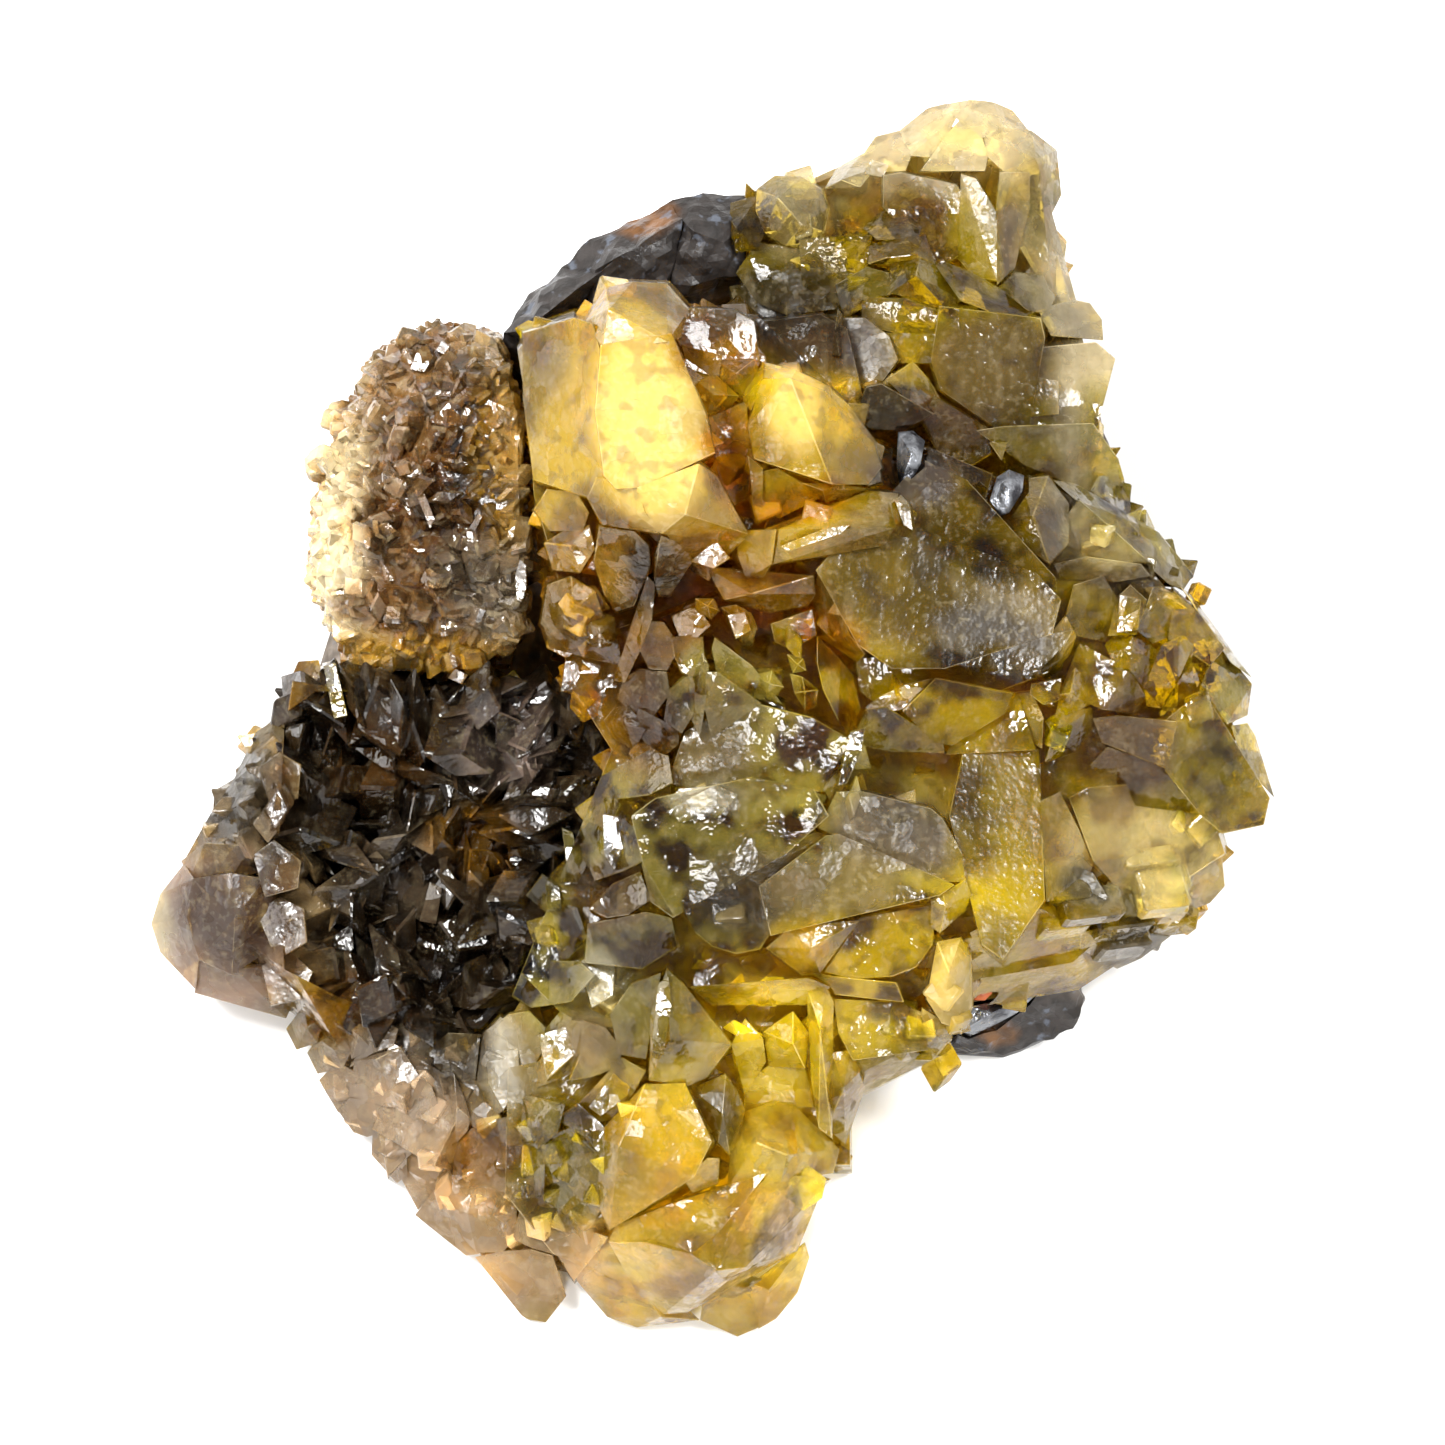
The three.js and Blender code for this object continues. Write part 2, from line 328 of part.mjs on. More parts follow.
// Upper-right mass of olive and pale cubes.
const upperRight = {
  olivePolyhedron: gem([3.0, 35.0, -13.6, 4.2, 35.9, -13.8, 6.0, 35.8, -13.4, 7.3, 35.0, -13.2,
    7.7, 33.7, -12.8, 7.4, 32.2, -12.4, 6.5, 31.3, -12.6, 4.9, 31.2, -12.6, 3.5, 32.1, -13.0,
    2.9, 33.6, -13.4, 4.4, 34.4, -11.2, 6.2, 34.2, -11.0, 6.0, 32.6, -10.8, 4.6, 32.8, -11.0], -20),
  leftShoulder: gem([0.6, 33.9, -15.4, 3.2, 34.6, -14.8, 3.8, 32.6, -13.4, 3.0, 31.0, -13.2,
    0.8, 30.6, -14.4, 1.6, 32.4, -13.4], -20),
  crestA: gem([7.5, 35.0, -14.6, 8.3, 36.4, -15.6, 9.1, 37.0, -15.8, 10.1, 37.4, -15.8, 10.9, 36.4, -13.8,
    9.9, 35.1, -13.0, 8.6, 35.6, -13.0], -22, 0.85),
  crestB: gem([10.0, 37.2, -15.4, 10.9, 38.5, -16.2, 12.5, 38.9, -16.2, 13.4, 37.5, -14.0,
    12.9, 36.2, -13.4, 11.0, 36.1, -13.6], -23, 0.85),
  crestC: gem([12.5, 38.9, -16.0, 13.6, 39.7, -16.4, 14.5, 40.5, -16.6, 15.6, 40.7, -16.2,
    16.5, 40.1, -14.4, 15.6, 38.5, -13.4, 14.9, 37.1, -13.2, 13.2, 37.2, -13.8], -24, 0.85),
  crestD: gem([15.4, 40.7, -16.4, 16.3, 41.2, -16.8, 17.6, 41.5, -16.8, 18.6, 41.4, -16.8,
    19.6, 40.8, -17.0, 20.5, 39.8, -17.0, 21.2, 38.8, -15.8, 19.3, 39.1, -14.0, 18.0, 38.4, -13.0,
    16.4, 39.6, -13.6], -24, 0.85),
  crestF: gem([18.1, 38.7, -13.4, 19.4, 39.2, -14.6, 21.3, 38.9, -15.6, 22.4, 38.4, -16.2,
    23.0, 37.6, -16.4, 23.3, 35.6, -16.4, 23.3, 34.6, -16.2, 22.7, 33.4, -15.0, 21.8, 34.6, -13.4,
    21.6, 37.0, -13.6, 19.4, 36.2, -12.6, 18.3, 37.2, -12.6], -24, 0.9),
  darkCubeFace: tile([11.4, 35.9, 12.6, 36.1, 16.3, 35.3, 16.9, 34.4, 16.6, 32.6, 16.4, 30.6, 15.1, 29.7,
    14.2, 31.6, 13.0, 33.0, 11.4, 33.8], -12.6, [-0.1, 0.12], -20),
  brightFace: gem([16.6, 36.0, -12.6, 17.6, 35.7, -12.2, 19.0, 33.4, -11.4, 19.0, 28.9, -11.0,
    17.6, 29.1, -12.0, 16.4, 30.4, -12.8, 16.5, 32.6, -12.8, 16.9, 34.5, -12.8], -20),
  cubeCorner: tile([18.9, 33.4, 19.2, 36.1, 21.2, 36.1, 21.2, 33.8, 20.5, 31.4, 20.2, 29.8,
    19.0, 28.6], -12.2, [-0.7, 0.05], -20),
  paleFlank: gem([20.3, 36.2, -13.4, 21.7, 37.0, -14.0, 22.0, 34.8, -14.4, 22.8, 33.3, -15.6,
    23.1, 31.4, -16.0, 23.8, 29.2, -16.2, 24.3, 27.5, -16.0, 22.8, 27.3, -13.4, 21.4, 30.0, -12.8,
    20.2, 31.6, -12.6], -24, 0.85),
  creamBlock: gem([21.8, 26.8, -11.4, 22.6, 25.2, -10.6, 25.4, 24.9, -12.4, 26.1, 24.9, -13.8,
    26.0, 26.3, -14.0, 25.2, 27.4, -14.2, 24.2, 27.6, -13.8, 22.8, 27.3, -12.4], -21, 0.85),
  longEdge: tile([5.8, 31.7, 10.7, 31.9, 10.3, 30.0, 9.4, 28.4, 8.3, 27.0,
    6.0, 28.6], -12.4, [0.1, 0.4], -20),
  oliveDeep: tile([3.0, 31.4, 5.8, 31.0, 6.4, 28.6, 8.2, 27.0, 5.0, 26.6, 3.0, 27.4,
    1.6, 29.4], -13.6, [0.15, 0.15], -20),
  mottledGem: gem([11.9, 28.1, -10.6, 11.9, 30.3, -11.4, 14.0, 31.2, -11.2, 15.4, 29.7, -11.0,
    16.5, 27.7, -10.4, 15.7, 26.9, -9.8, 14.4, 27.4, -9.4, 13.6, 29.2, -9.2], -18),
  blade: gem([14.9, 29.9, -10.8, 15.6, 30.1, -11.0, 17.6, 29.3, -11.2, 19.4, 27.9, -10.6, 21.7, 26.9, -11.2,
    20.0, 26.2, -9.8, 18.0, 27.2, -9.0, 16.5, 27.6, -9.0], -18),
  oliveStep: tile([10.0, 27.8, 13.0, 27.7, 15.3, 26.8, 15.4, 25.4, 13.5, 25.1, 11.0, 25.7,
    10.0, 26.4], -10.6, [0.1, 0.3], -18),
  bigOliveCube: tile([15.2, 27.2, 18.0, 27.0, 21.9, 26.4, 22.2, 25.1, 21.3, 24.3, 21.2, 19.3, 19.0, 19.0,
    16.8, 20.0, 15.2, 21.6, 14.6, 23.6], -8.8, [-0.1, 0.06], -18),
  squareStep: tile([21.2, 24.4, 25.6, 24.8, 26.3, 24.1, 26.9, 23.7, 26.8, 22.0, 26.2, 20.4, 25.7, 19.2,
    23.0, 19.5, 21.1, 19.2], -11.0, [-0.35, 0.06], -20, 0.9),
  smokyFace: tile([3.0, 26.1, 5.0, 26.6, 7.3, 26.6, 9.0, 25.7, 8.3, 24.0, 9.9, 22.0, 10.1, 21.0, 9.3, 20.4,
    8.0, 21.8, 5.5, 22.9, 3.2, 23.6], -7.4, [0.05, -0.3], -16),
  valleyLeft: tile([8.6, 26.4, 10.2, 26.4, 11.8, 25.2, 12.4, 23.6, 11.4, 22.2, 10.2, 21.2, 9.2, 22.8,
    8.6, 24.2],
    -8.8, [0.2, -0.2], -16),
  smokyFlat: tile([10.3, 21.8, 11.3, 22.0, 13.2, 21.0, 14.8, 20.0, 12.7, 18.9, 10.6, 19.0,
    9.5, 19.7], -3.6, [-0.1, 0.2], -12),
  amberGlow: gem([11.6, 22.3, -6.2, 13.4, 23.5, -7.4, 14.4, 22.4, -7.2, 15.2, 21.0, -7.0, 14.6, 20.0, -5.6,
    13.2, 20.8, -5.0], -14),
  amberDeep: tile([14.0, 19.6, 14.8, 21.2, 16.6, 20.3, 18.4, 19.0, 18.6, 17.4, 17.0, 16.4,
    15.4, 16.8], -6.6, [-0.1, 0.4], -14),
  shoulder: tile([17.6, 18.9, 19.5, 19.2, 22.0, 19.3, 25.4, 19.4, 26.2, 18.4, 27.1, 17.0, 27.5, 15.6,
    26.0, 14.4, 24.4, 15.6, 22.8, 16.3, 20.8, 16.6, 19.4, 17.4], -8.0, [-0.36, 0.25], -18, 0.9),
  shoulderRim: gem([25.8, 15.9, -8.6, 27.4, 15.8, -11.2, 27.3, 15.0, -11.4, 27.9, 14.3, -11.6,
    27.9, 13.1, -11.2, 26.4, 13.9, -9.0, 25.2, 14.9, -7.8], -18, 0.9),
};

// Middle: dark blades under the golden wedge, amber cluster, clear sheets and stacked plates.
const middle = {
  darkBladeLeft: gem([-7.5, 12.5, 4.2, -5.2, 12.2, 5.2, -4.2, 11.2, 4.6, -4.1, 9.8, 3.6, -4.4, 8.6, 2.0,
    -5.2, 7.2, 0.6, -6.4, 6.8, -0.4, -7.2, 8.0, 0.2, -7.9, 10.2, 2.0], -8),
  darkBladeRight: gem([-3.9, 9.0, 2.4, -3.8, 10.6, 3.8, -3.4, 11.9, 5.2, -2.4, 11.5, 4.8, -1.2, 10.3, 3.0,
    -1.6, 9.6, 2.0, -2.8, 7.9, 1.0, -3.6, 7.9, 1.2], -8),
  bladeRidge: gem([-4.3, 9.2, 3.6, -3.8, 8.6, 3.2, -4.0, 6.3, 2.2, -4.8, 4.2, 1.0, -5.8, 2.1, -1.0,
    -6.6, 2.2, -1.6, -5.8, 4.2, 0.8, -5.0, 6.4, 2.0], -8),
  amberLeftLow: gem([-11.4, 6.0, -3.4, -11.0, 8.6, -2.2, -9.4, 9.2, -0.6, -7.8, 8.2, 0.2, -7.2, 6.4, -0.2,
    -7.4, 4.9, -1.0, -9.6, 4.2, -2.8, -9.2, 7.0, 0.4], -12),
  amberRim: gem([-11.2, 5.9, -3.2, -9.0, 6.2, -1.6, -7.0, 6.2, -0.4, -6.2, 4.6, -1.2, -6.0, 3.2, -2.2,
    -8.0, 4.0, -3.4, -10.8, 4.4, -4.4], -12),
  streakyFace: gem([-0.4, 2.8, 2.0, 0.4, 2.8, 2.2, 1.6, 1.8, 1.6, 3.3, 0.7, 1.2, 2.0, 0.3, 0.8,
    0.8, -0.6, 0.4, 0.0, -1.6, 0.4, -0.5, 0.4, 1.6], -8),
  orangeShelf: gem([-0.4, 9.8, 1.8, 1.8, 9.0, 2.2, 4.2, 8.8, 1.8, 6.8, 9.2, 1.0, 6.9, 8.0, 0.2,
    6.4, 7.2, -0.6, 4.0, 6.8, -0.2, 3.0, 6.9, 0.4, 0.8, 7.6, 1.2, 2.6, 8.0, 2.2], -8),
  clearSheet: tile([-1.8, -1.2, 0.0, -0.1, 1.0, 0.3, 3.0, 0.7, 4.9, 0.4, 6.6, -0.2, 8.0, -1.0, 9.7, -2.0,
    9.6, -2.8, 8.6, -3.8, 8.0, -5.2, 6.2, -5.0, 3.4, -4.3, 1.6, -4.5, -1.4, -5.0, -3.0, -4.6,
    -2.8, -3.0], 0.5, [0.12, 0.2], -10),
  slopeTop: gem([-8.2, -4.6, -3.4, -7.0, -4.2, -2.2, -4.2, -2.4, -0.4, -2.9, -2.8, 0.2, -2.6, -4.6, 1.0,
    -4.2, -5.4, 0.6, -6.2, -5.0, -0.8, -8.6, -6.0, -3.6], -12),
  clearPlate: tile([-1.6, -5.2, 0.0, -5.0, 1.3, -4.7, 2.6, -4.2, 4.6, -4.4, 6.8, -5.0, 8.1, -6.0, 7.8, -6.8,
    6.6, -7.6, 5.0, -9.3, 3.0, -10.5, 0.8, -11.3, -1.0, -12.7, -2.5, -13.5, -3.2, -12.0,
    -4.6, -10.0, -5.4, -8.0, -5.4, -6.8, -3.8, -5.6], 1.7, [0.05, 0.1], -7, 0.9),
  greyFlat: tile([-1.8, -13.2, 0.0, -11.6, 1.6, -10.6, 4.0, -9.6, 6.8, -7.9, 8.4, -8.0, 6.0, -10.2,
    4.0, -12.0, 3.9, -14.8, 3.2, -15.7, 1.6, -16.0, 0.0, -15.5, -1.1, -14.6], -0.7, [-0.05, 0.08], -8),
  purplePlate: tile([8.3, -5.2, 9.8, -5.1, 12.5, -5.6, 14.6, -6.3, 15.4, -7.0, 16.1, -8.3, 16.7, -9.4,
    16.9, -11.2, 15.8, -11.2, 13.0, -10.4, 10.4, -9.2, 8.6, -8.4, 7.1, -7.6,
    7.7, -6.7], 0.1, [-0.06, 0.16], -8),
  trianglePlate: tile([3.1, -11.5, 5.4, -10.0, 7.6, -8.1, 8.5, -8.0, 11.0, -9.2, 13.0, -10.2, 16.2, -11.4,
    15.2, -12.1, 13.8, -12.4, 11.0, -12.7, 8.0, -13.1, 6.0, -13.6, 5.0, -14.5, 3.9, -14.8,
    3.4, -13.0], 1.3, [-0.06, -0.1], -4, 0.85),
  goldenLens: gem([3.6, -15.6, -0.2, 5.0, -14.4, 0.8, 7.0, -14.0, 1.0, 9.8, -13.8, 0.4, 9.0, -15.0, 0.2,
    8.0, -16.1, 0.0, 7.2, -17.3, -0.6, 6.0, -17.4, -0.6, 4.8, -16.6, -0.4, 6.6, -15.6, 1.4], -8),
  goldenUnder: tile([8.6, -15.4, 9.9, -13.6, 14.9, -12.7, 14.7, -15.4, 13.6, -16.9, 12.0, -17.5, 9.4, -17.7,
    7.5, -17.2], -0.8, [-0.1, 0.25], -8),
  column: gem([14.4, -17.5, -1.6, 15.0, -15.2, -1.0, 16.6, -14.9, -1.8, 17.3, -16.0, -2.6,
    17.3, -19.4, -3.4, 16.6, -21.1, -3.8, 15.3, -20.6, -3.0, 14.3, -19.0, -2.4, 15.8, -17.2, -0.8], -10),
};

// Striated slope between the middle plates and the hollow.
const striatedSlope = {
  brownClear: gem([-10.4, -7.5, -5.8, -8.5, -5.0, -3.8, -7.0, -4.7, -2.2, -6.1, -6.0, -1.0,
    -7.0, -8.0, -2.0, -8.6, -9.7, -3.8, -9.4, -9.0, -4.8], -14),
  glintClear: gem([-11.4, -9.4, -7.0, -10.3, -7.5, -6.0, -9.2, -8.8, -4.2, -8.2, -9.8, -3.4,
    -9.0, -11.3, -4.4, -10.2, -11.2, -5.6, -11.2, -10.5, -6.8], -15),
  greyStreaks: gem([-13.4, -14.2, -8.6, -12.4, -12.0, -7.8, -10.6, -13.3, -5.6, -9.0, -12.9, -4.2,
    -8.3, -15.0, -3.8, -10.0, -16.7, -5.6, -12.0, -16.7, -7.4, -13.5, -16.4, -8.8], -16),
  spottedFace: tile([-4.7, -10.0, -3.4, -9.2, -2.0, -9.0, -1.0, -10.0, -0.8, -12.5, -2.6, -13.6,
    -4.1, -12.5],
    0.7, [0.3, 0.1], -10),
  lowFace: gem([-8.3, -14.0, -3.0, -4.4, -13.2, -0.4, -2.7, -13.6, 0.4, -2.3, -15.5, -0.4,
    -4.6, -17.0, -1.6, -8.5, -16.6, -3.8, -5.6, -14.8, -0.6], -12),
  silverFaceTop: gem([-13.6, -16.4, -8.4, -11.6, -16.3, -6.6, -8.8, -16.5, -4.0, -7.8, -17.4, -3.4,
    -9.4, -19.2, -4.4, -12.0, -19.6, -6.8, -13.6, -18.6, -8.4], -15),
};

// Lower mass: silvery striated plates, the pyramid, the deep yellow pocket and the crystals round it.
const lowerMass = {
  silverPlate: tile([-15.2, -21.2, -13.5, -20.0, -12.2, -19.8, -11.1, -20.9, -11.3, -22.5, -12.4, -24.5,
    -14.0, -25.5, -15.7, -24.6, -15.8, -23.3], -7.0, [0.45, 0.2], -16),
  glintBlade: gem([-11.0, -23.1, -5.6, -9.4, -20.4, -4.0, -8.5, -20.5, -3.4, -8.5, -22.6, -3.2,
    -9.4, -24.0, -4.0, -12.6, -25.3, -6.4, -11.9, -23.6, -6.0], -13),
  pyramidSlope: gem([-3.4, -17.3, 0.2, -3.9, -20.0, 0.8, -4.4, -23.0, 0.0, -6.2, -22.7, -1.4,
    -6.8, -20.0, -2.0, -5.4, -18.0, -1.2], -10),
  pyramid: gem([-3.0, -17.0, 0.6, -2.7, -19.6, 1.8, -2.8, -21.7, 2.2, -3.7, -23.2, 1.0, -4.3, -23.0, 0.4,
    -4.1, -20.0, 0.4, -1.8, -18.1, 0.4, -0.6, -19.7, 0.4, 1.3, -22.0, 0.0, 0.9, -22.8, -0.4,
    -0.3, -24.2, -0.8, -1.6, -24.8, -0.6, -4.2, -24.4, 0.0], -10),
  pocketLedge: gem([-1.5, -18.2, 0.0, 0.6, -18.1, 0.4, 3.0, -17.9, 0.6, 6.4, -17.6, 0.6, 7.9, -18.2, -0.4,
    6.2, -19.4, -1.4, 3.0, -19.0, -1.6, 0.0, -19.4, -1.8], -9),
  pocketColumn: gem([6.3, -18.2, -0.6, 7.6, -18.2, -0.4, 8.1, -19.2, -1.0, 8.0, -21.4, -1.4,
    7.7, -23.4, -2.2, 7.7, -26.0, -3.4, 8.0, -28.3, -4.8, 7.1, -27.6, -4.4, 6.6, -24.2, -2.8,
    6.5, -21.0, -1.4, 7.2, -21.0, -0.2], -10),
  goldenBlock: tile([8.1, -19.0, 12.4, -19.2, 14.2, -20.0, 14.4, -22.4, 12.8, -22.7, 10.4, -22.4,
    9.4, -23.1, 8.4, -21.2], -2.6, [-0.12, 0.1], -10),
  clearBlades: gem([7.3, -24.8, -3.6, 8.0, -22.6, -2.8, 9.2, -22.4, -3.2, 10.3, -23.4, -4.2,
    10.2, -25.0, -5.4, 9.6, -26.9, -6.6, 8.9, -28.7, -7.4, 8.2, -28.9, -6.8, 7.6, -27.6, -5.4,
    8.8, -25.0, -2.6], -12, 0.9),
  goldenCube: gem([-7.8, -28.2, -3.0, -6.2, -26.6, -1.4, -4.5, -24.7, -0.4, -1.8, -24.6, 0.0,
    -0.9, -26.6, 0.6, 0.0, -28.5, 0.8, -1.6, -29.8, 1.0, -4.0, -29.4, 0.4, -6.2, -28.8, -0.6,
    -6.8, -34.4, -3.4, -7.5, -33.0, -3.6, -7.6, -30.0, -2.4, -3.0, -32.3, -1.0, -1.2, -30.9, 0.4], -9),
  bottomLump: gem([1.2, -29.6, -3.0, 1.9, -28.0, -3.0, 2.2, -26.5, -4.2, 4.2, -25.8, -4.4, 5.5, -26.1, -4.4,
    6.3, -27.3, -4.4, 7.6, -27.8, -5.4, 8.5, -29.0, -6.4, 8.5, -29.8, -6.6, 8.1, -30.6, -6.4,
    5.0, -29.4, -2.0, 3.0, -28.6, -1.8, 1.0, -31.6, -2.6, 4.6, -31.2, -2.6], -10, 0.9),
  bottomTop: gem([-6.9, -35.2, -4.0, -6.4, -34.1, -3.6, -2.6, -32.6, -2.2, 1.4, -31.6, -2.2,
    3.8, -30.5, -2.4, 0.5, -34.5, -1.2, -1.4, -36.0, -1.6, -4.6, -35.2, -2.6], -10),
  bottomStripe: gem([0.4, -34.6, -1.2, 3.8, -30.7, -2.3, 6.0, -30.8, -3.6, 7.6, -31.2, -5.2,
    4.4, -34.3, -3.2, 2.2, -36.9, -2.8, 0.3, -37.1, -1.8, -1.3, -36.0, -1.5], -10),
  bottomPale: gem([-6.9, -35.2, -4.2, -4.6, -35.2, -2.5, -1.4, -36.0, -1.5, 0.3, -37.1, -1.7,
    2.2, -36.9, -2.7, 5.0, -34.8, -3.8, 7.4, -31.6, -5.6, 7.1, -33.4, -7.0, 5.7, -35.8, -7.4,
    2.5, -37.5, -6.8, 0.3, -38.9, -7.0, -1.6, -39.9, -7.4, -3.2, -40.0, -7.4, -5.0, -38.6, -7.0,
    -6.5, -36.3, -5.6], -10, 0.92),
  bottomRimGold: gem([2.6, -38.0, -8.2, 4.8, -36.4, -8.0, 6.2, -35.2, -8.4, 6.5, -36.2, -9.6,
    5.7, -38.6, -10.0, 4.3, -40.3, -10.4, 3.1, -41.0, -10.4, 3.8, -38.4, -8.0], -11.4, 0.9),
  bottomRimBeige: gem([-0.6, -39.0, -8.2, 1.0, -37.9, -7.6, 2.3, -37.6, -7.8, 2.9, -39.0, -9.0,
    3.1, -40.9, -10.2, 1.7, -41.5, -10.4, 0.2, -40.8, -10.2, -0.8, -40.4, -9.8], -11.4, 0.9),
  bottomRimLeft: gem([-9.2, -36.2, -6.8, -7.0, -34.9, -5.2, -6.2, -36.6, -5.8, -5.0, -38.6, -7.2,
    -3.4, -40.2, -8.4, -0.8, -40.4, -9.4, -2.6, -40.9, -10.2, -5.0, -40.9, -10.2, -7.0, -40.2, -10.0,
    -8.2, -39.0, -9.6, -9.0, -37.8, -8.6], -11.2, 0.92),
  greyStriated: gem([-14.4, -27.0, -7.6, -13.0, -26.8, -6.4, -12.3, -28.6, -5.6, -11.1, -29.0, -4.8,
    -11.2, -32.0, -5.6, -12.7, -32.4, -6.8, -13.8, -29.8, -7.4], -11.5),
  greenStriated: gem([-10.5, -28.0, -4.0, -9.0, -27.4, -3.0, -7.8, -27.9, -2.6, -7.3, -30.0, -2.8,
    -7.4, -33.0, -3.8, -8.2, -34.5, -5.0, -9.9, -34.1, -6.2, -10.9, -32.0, -6.0, -11.2, -29.6, -5.0], -10),
  paleFoot: gem([-11.0, -33.4, -7.0, -9.6, -33.9, -5.8, -8.0, -34.5, -4.8, -6.9, -34.9, -4.6,
    -8.4, -36.7, -6.4, -9.2, -37.8, -8.0, -10.3, -36.1, -8.0, -10.9, -34.8, -7.6], -11),
};

// Peach and lilac crystals at the lower left, and the clear blades between them and the lower mass.
const lowerLeft = {
  peachTop: gem([-19.0, -32.4, -11.0, -17.9, -30.8, -10.6, -15.6, -30.6, -9.6, -14.0, -31.3, -8.8,
    -13.0, -33.0, -8.4, -13.1, -35.0, -8.6, -14.0, -35.9, -9.2, -15.7, -35.9, -9.6,
    -16.3, -33.3, -8.4], -13, 0.9),
  peachFoot: gem([-15.8, -36.2, -10.6, -14.0, -35.8, -9.2, -12.0, -35.7, -8.2, -10.6, -36.1, -8.0,
    -10.1, -37.6, -8.6, -9.7, -38.8, -9.4, -10.2, -39.6, -10.2, -11.1, -40.6, -10.8,
    -12.3, -40.6, -11.0, -13.0, -40.0, -11.2, -13.8, -38.6, -11.4], -12, 0.92),
  lilacGrey: gem([-24.3, -25.6, -12.4, -23.8, -23.1, -11.8, -22.4, -23.0, -10.6, -20.8, -22.2, -10.2,
    -20.1, -23.3, -9.6, -19.3, -24.4, -9.6, -20.0, -26.2, -9.6, -21.6, -26.2, -10.4,
    -23.0, -26.0, -11.6], -15),
  lilacBeige: gem([-24.9, -26.5, -13.0, -24.2, -25.6, -12.2, -22.6, -25.8, -11.2, -20.7, -26.1, -10.4,
    -20.6, -27.5, -10.8, -22.2, -27.7, -11.6, -23.0, -28.2, -12.4, -23.9, -27.9, -13.0], -14.6, 0.95),
  lilacGlint: gem([-22.6, -27.5, -11.6, -20.8, -27.3, -10.4, -20.4, -29.0, -10.6, -20.3, -30.7, -11.6,
    -21.0, -31.3, -12.6, -21.9, -30.7, -13.0, -22.7, -29.4, -12.8], -14, 0.92),
  lilacPeach: gem([-20.7, -28.4, -11.0, -19.2, -29.0, -10.6, -17.7, -28.6, -10.0, -17.2, -29.8, -10.4,
    -18.2, -30.9, -11.0, -19.0, -32.4, -12.0, -19.6, -33.1, -12.8, -20.6, -32.0, -13.0,
    -20.8, -30.8, -12.2], -13.4, 0.92),
  lilacSmallA: gem([-28.4, -21.0, -13.8, -27.2, -19.4, -12.6, -25.9, -20.2, -11.8, -26.3, -21.9, -12.4,
    -27.7, -22.4, -13.8, -27.0, -20.9, -11.8], -16, 0.9),
  lilacSmallB: gem([-27.0, -22.6, -13.6, -26.3, -21.6, -12.6, -24.8, -21.3, -11.8, -24.0, -22.4, -11.6,
    -24.6, -23.6, -12.2, -26.3, -24.0, -13.6, -25.2, -22.4, -11.4], -16, 0.9),
  wedge: gem([-18.1, -23.7, -10.4, -17.2, -24.0, -8.6, -16.5, -25.6, -8.0, -16.1, -27.0, -8.2,
    -16.3, -27.8, -8.8, -17.2, -28.8, -9.8, -17.7, -27.0, -10.2, -18.0, -25.2, -10.6,
    -17.0, -26.2, -7.4], -14),
  goldenBrown: gem([-17.6, -30.0, -10.8, -17.2, -28.8, -10.0, -16.0, -27.6, -8.8, -14.2, -27.6, -8.0,
    -13.5, -29.0, -7.8, -12.7, -31.0, -7.4, -12.6, -32.4, -7.8, -14.0, -31.3, -8.8,
    -17.3, -30.7, -10.4], -12.6),
  darkFoot: gem([-19.2, -20.4, -13.0, -17.4, -19.9, -12.4, -15.3, -20.2, -10.4, -15.4, -22.0, -9.8,
    -15.8, -24.6, -9.2, -16.9, -24.8, -9.6, -17.7, -23.4, -10.6, -19.0, -23.0, -11.6], -16),
};

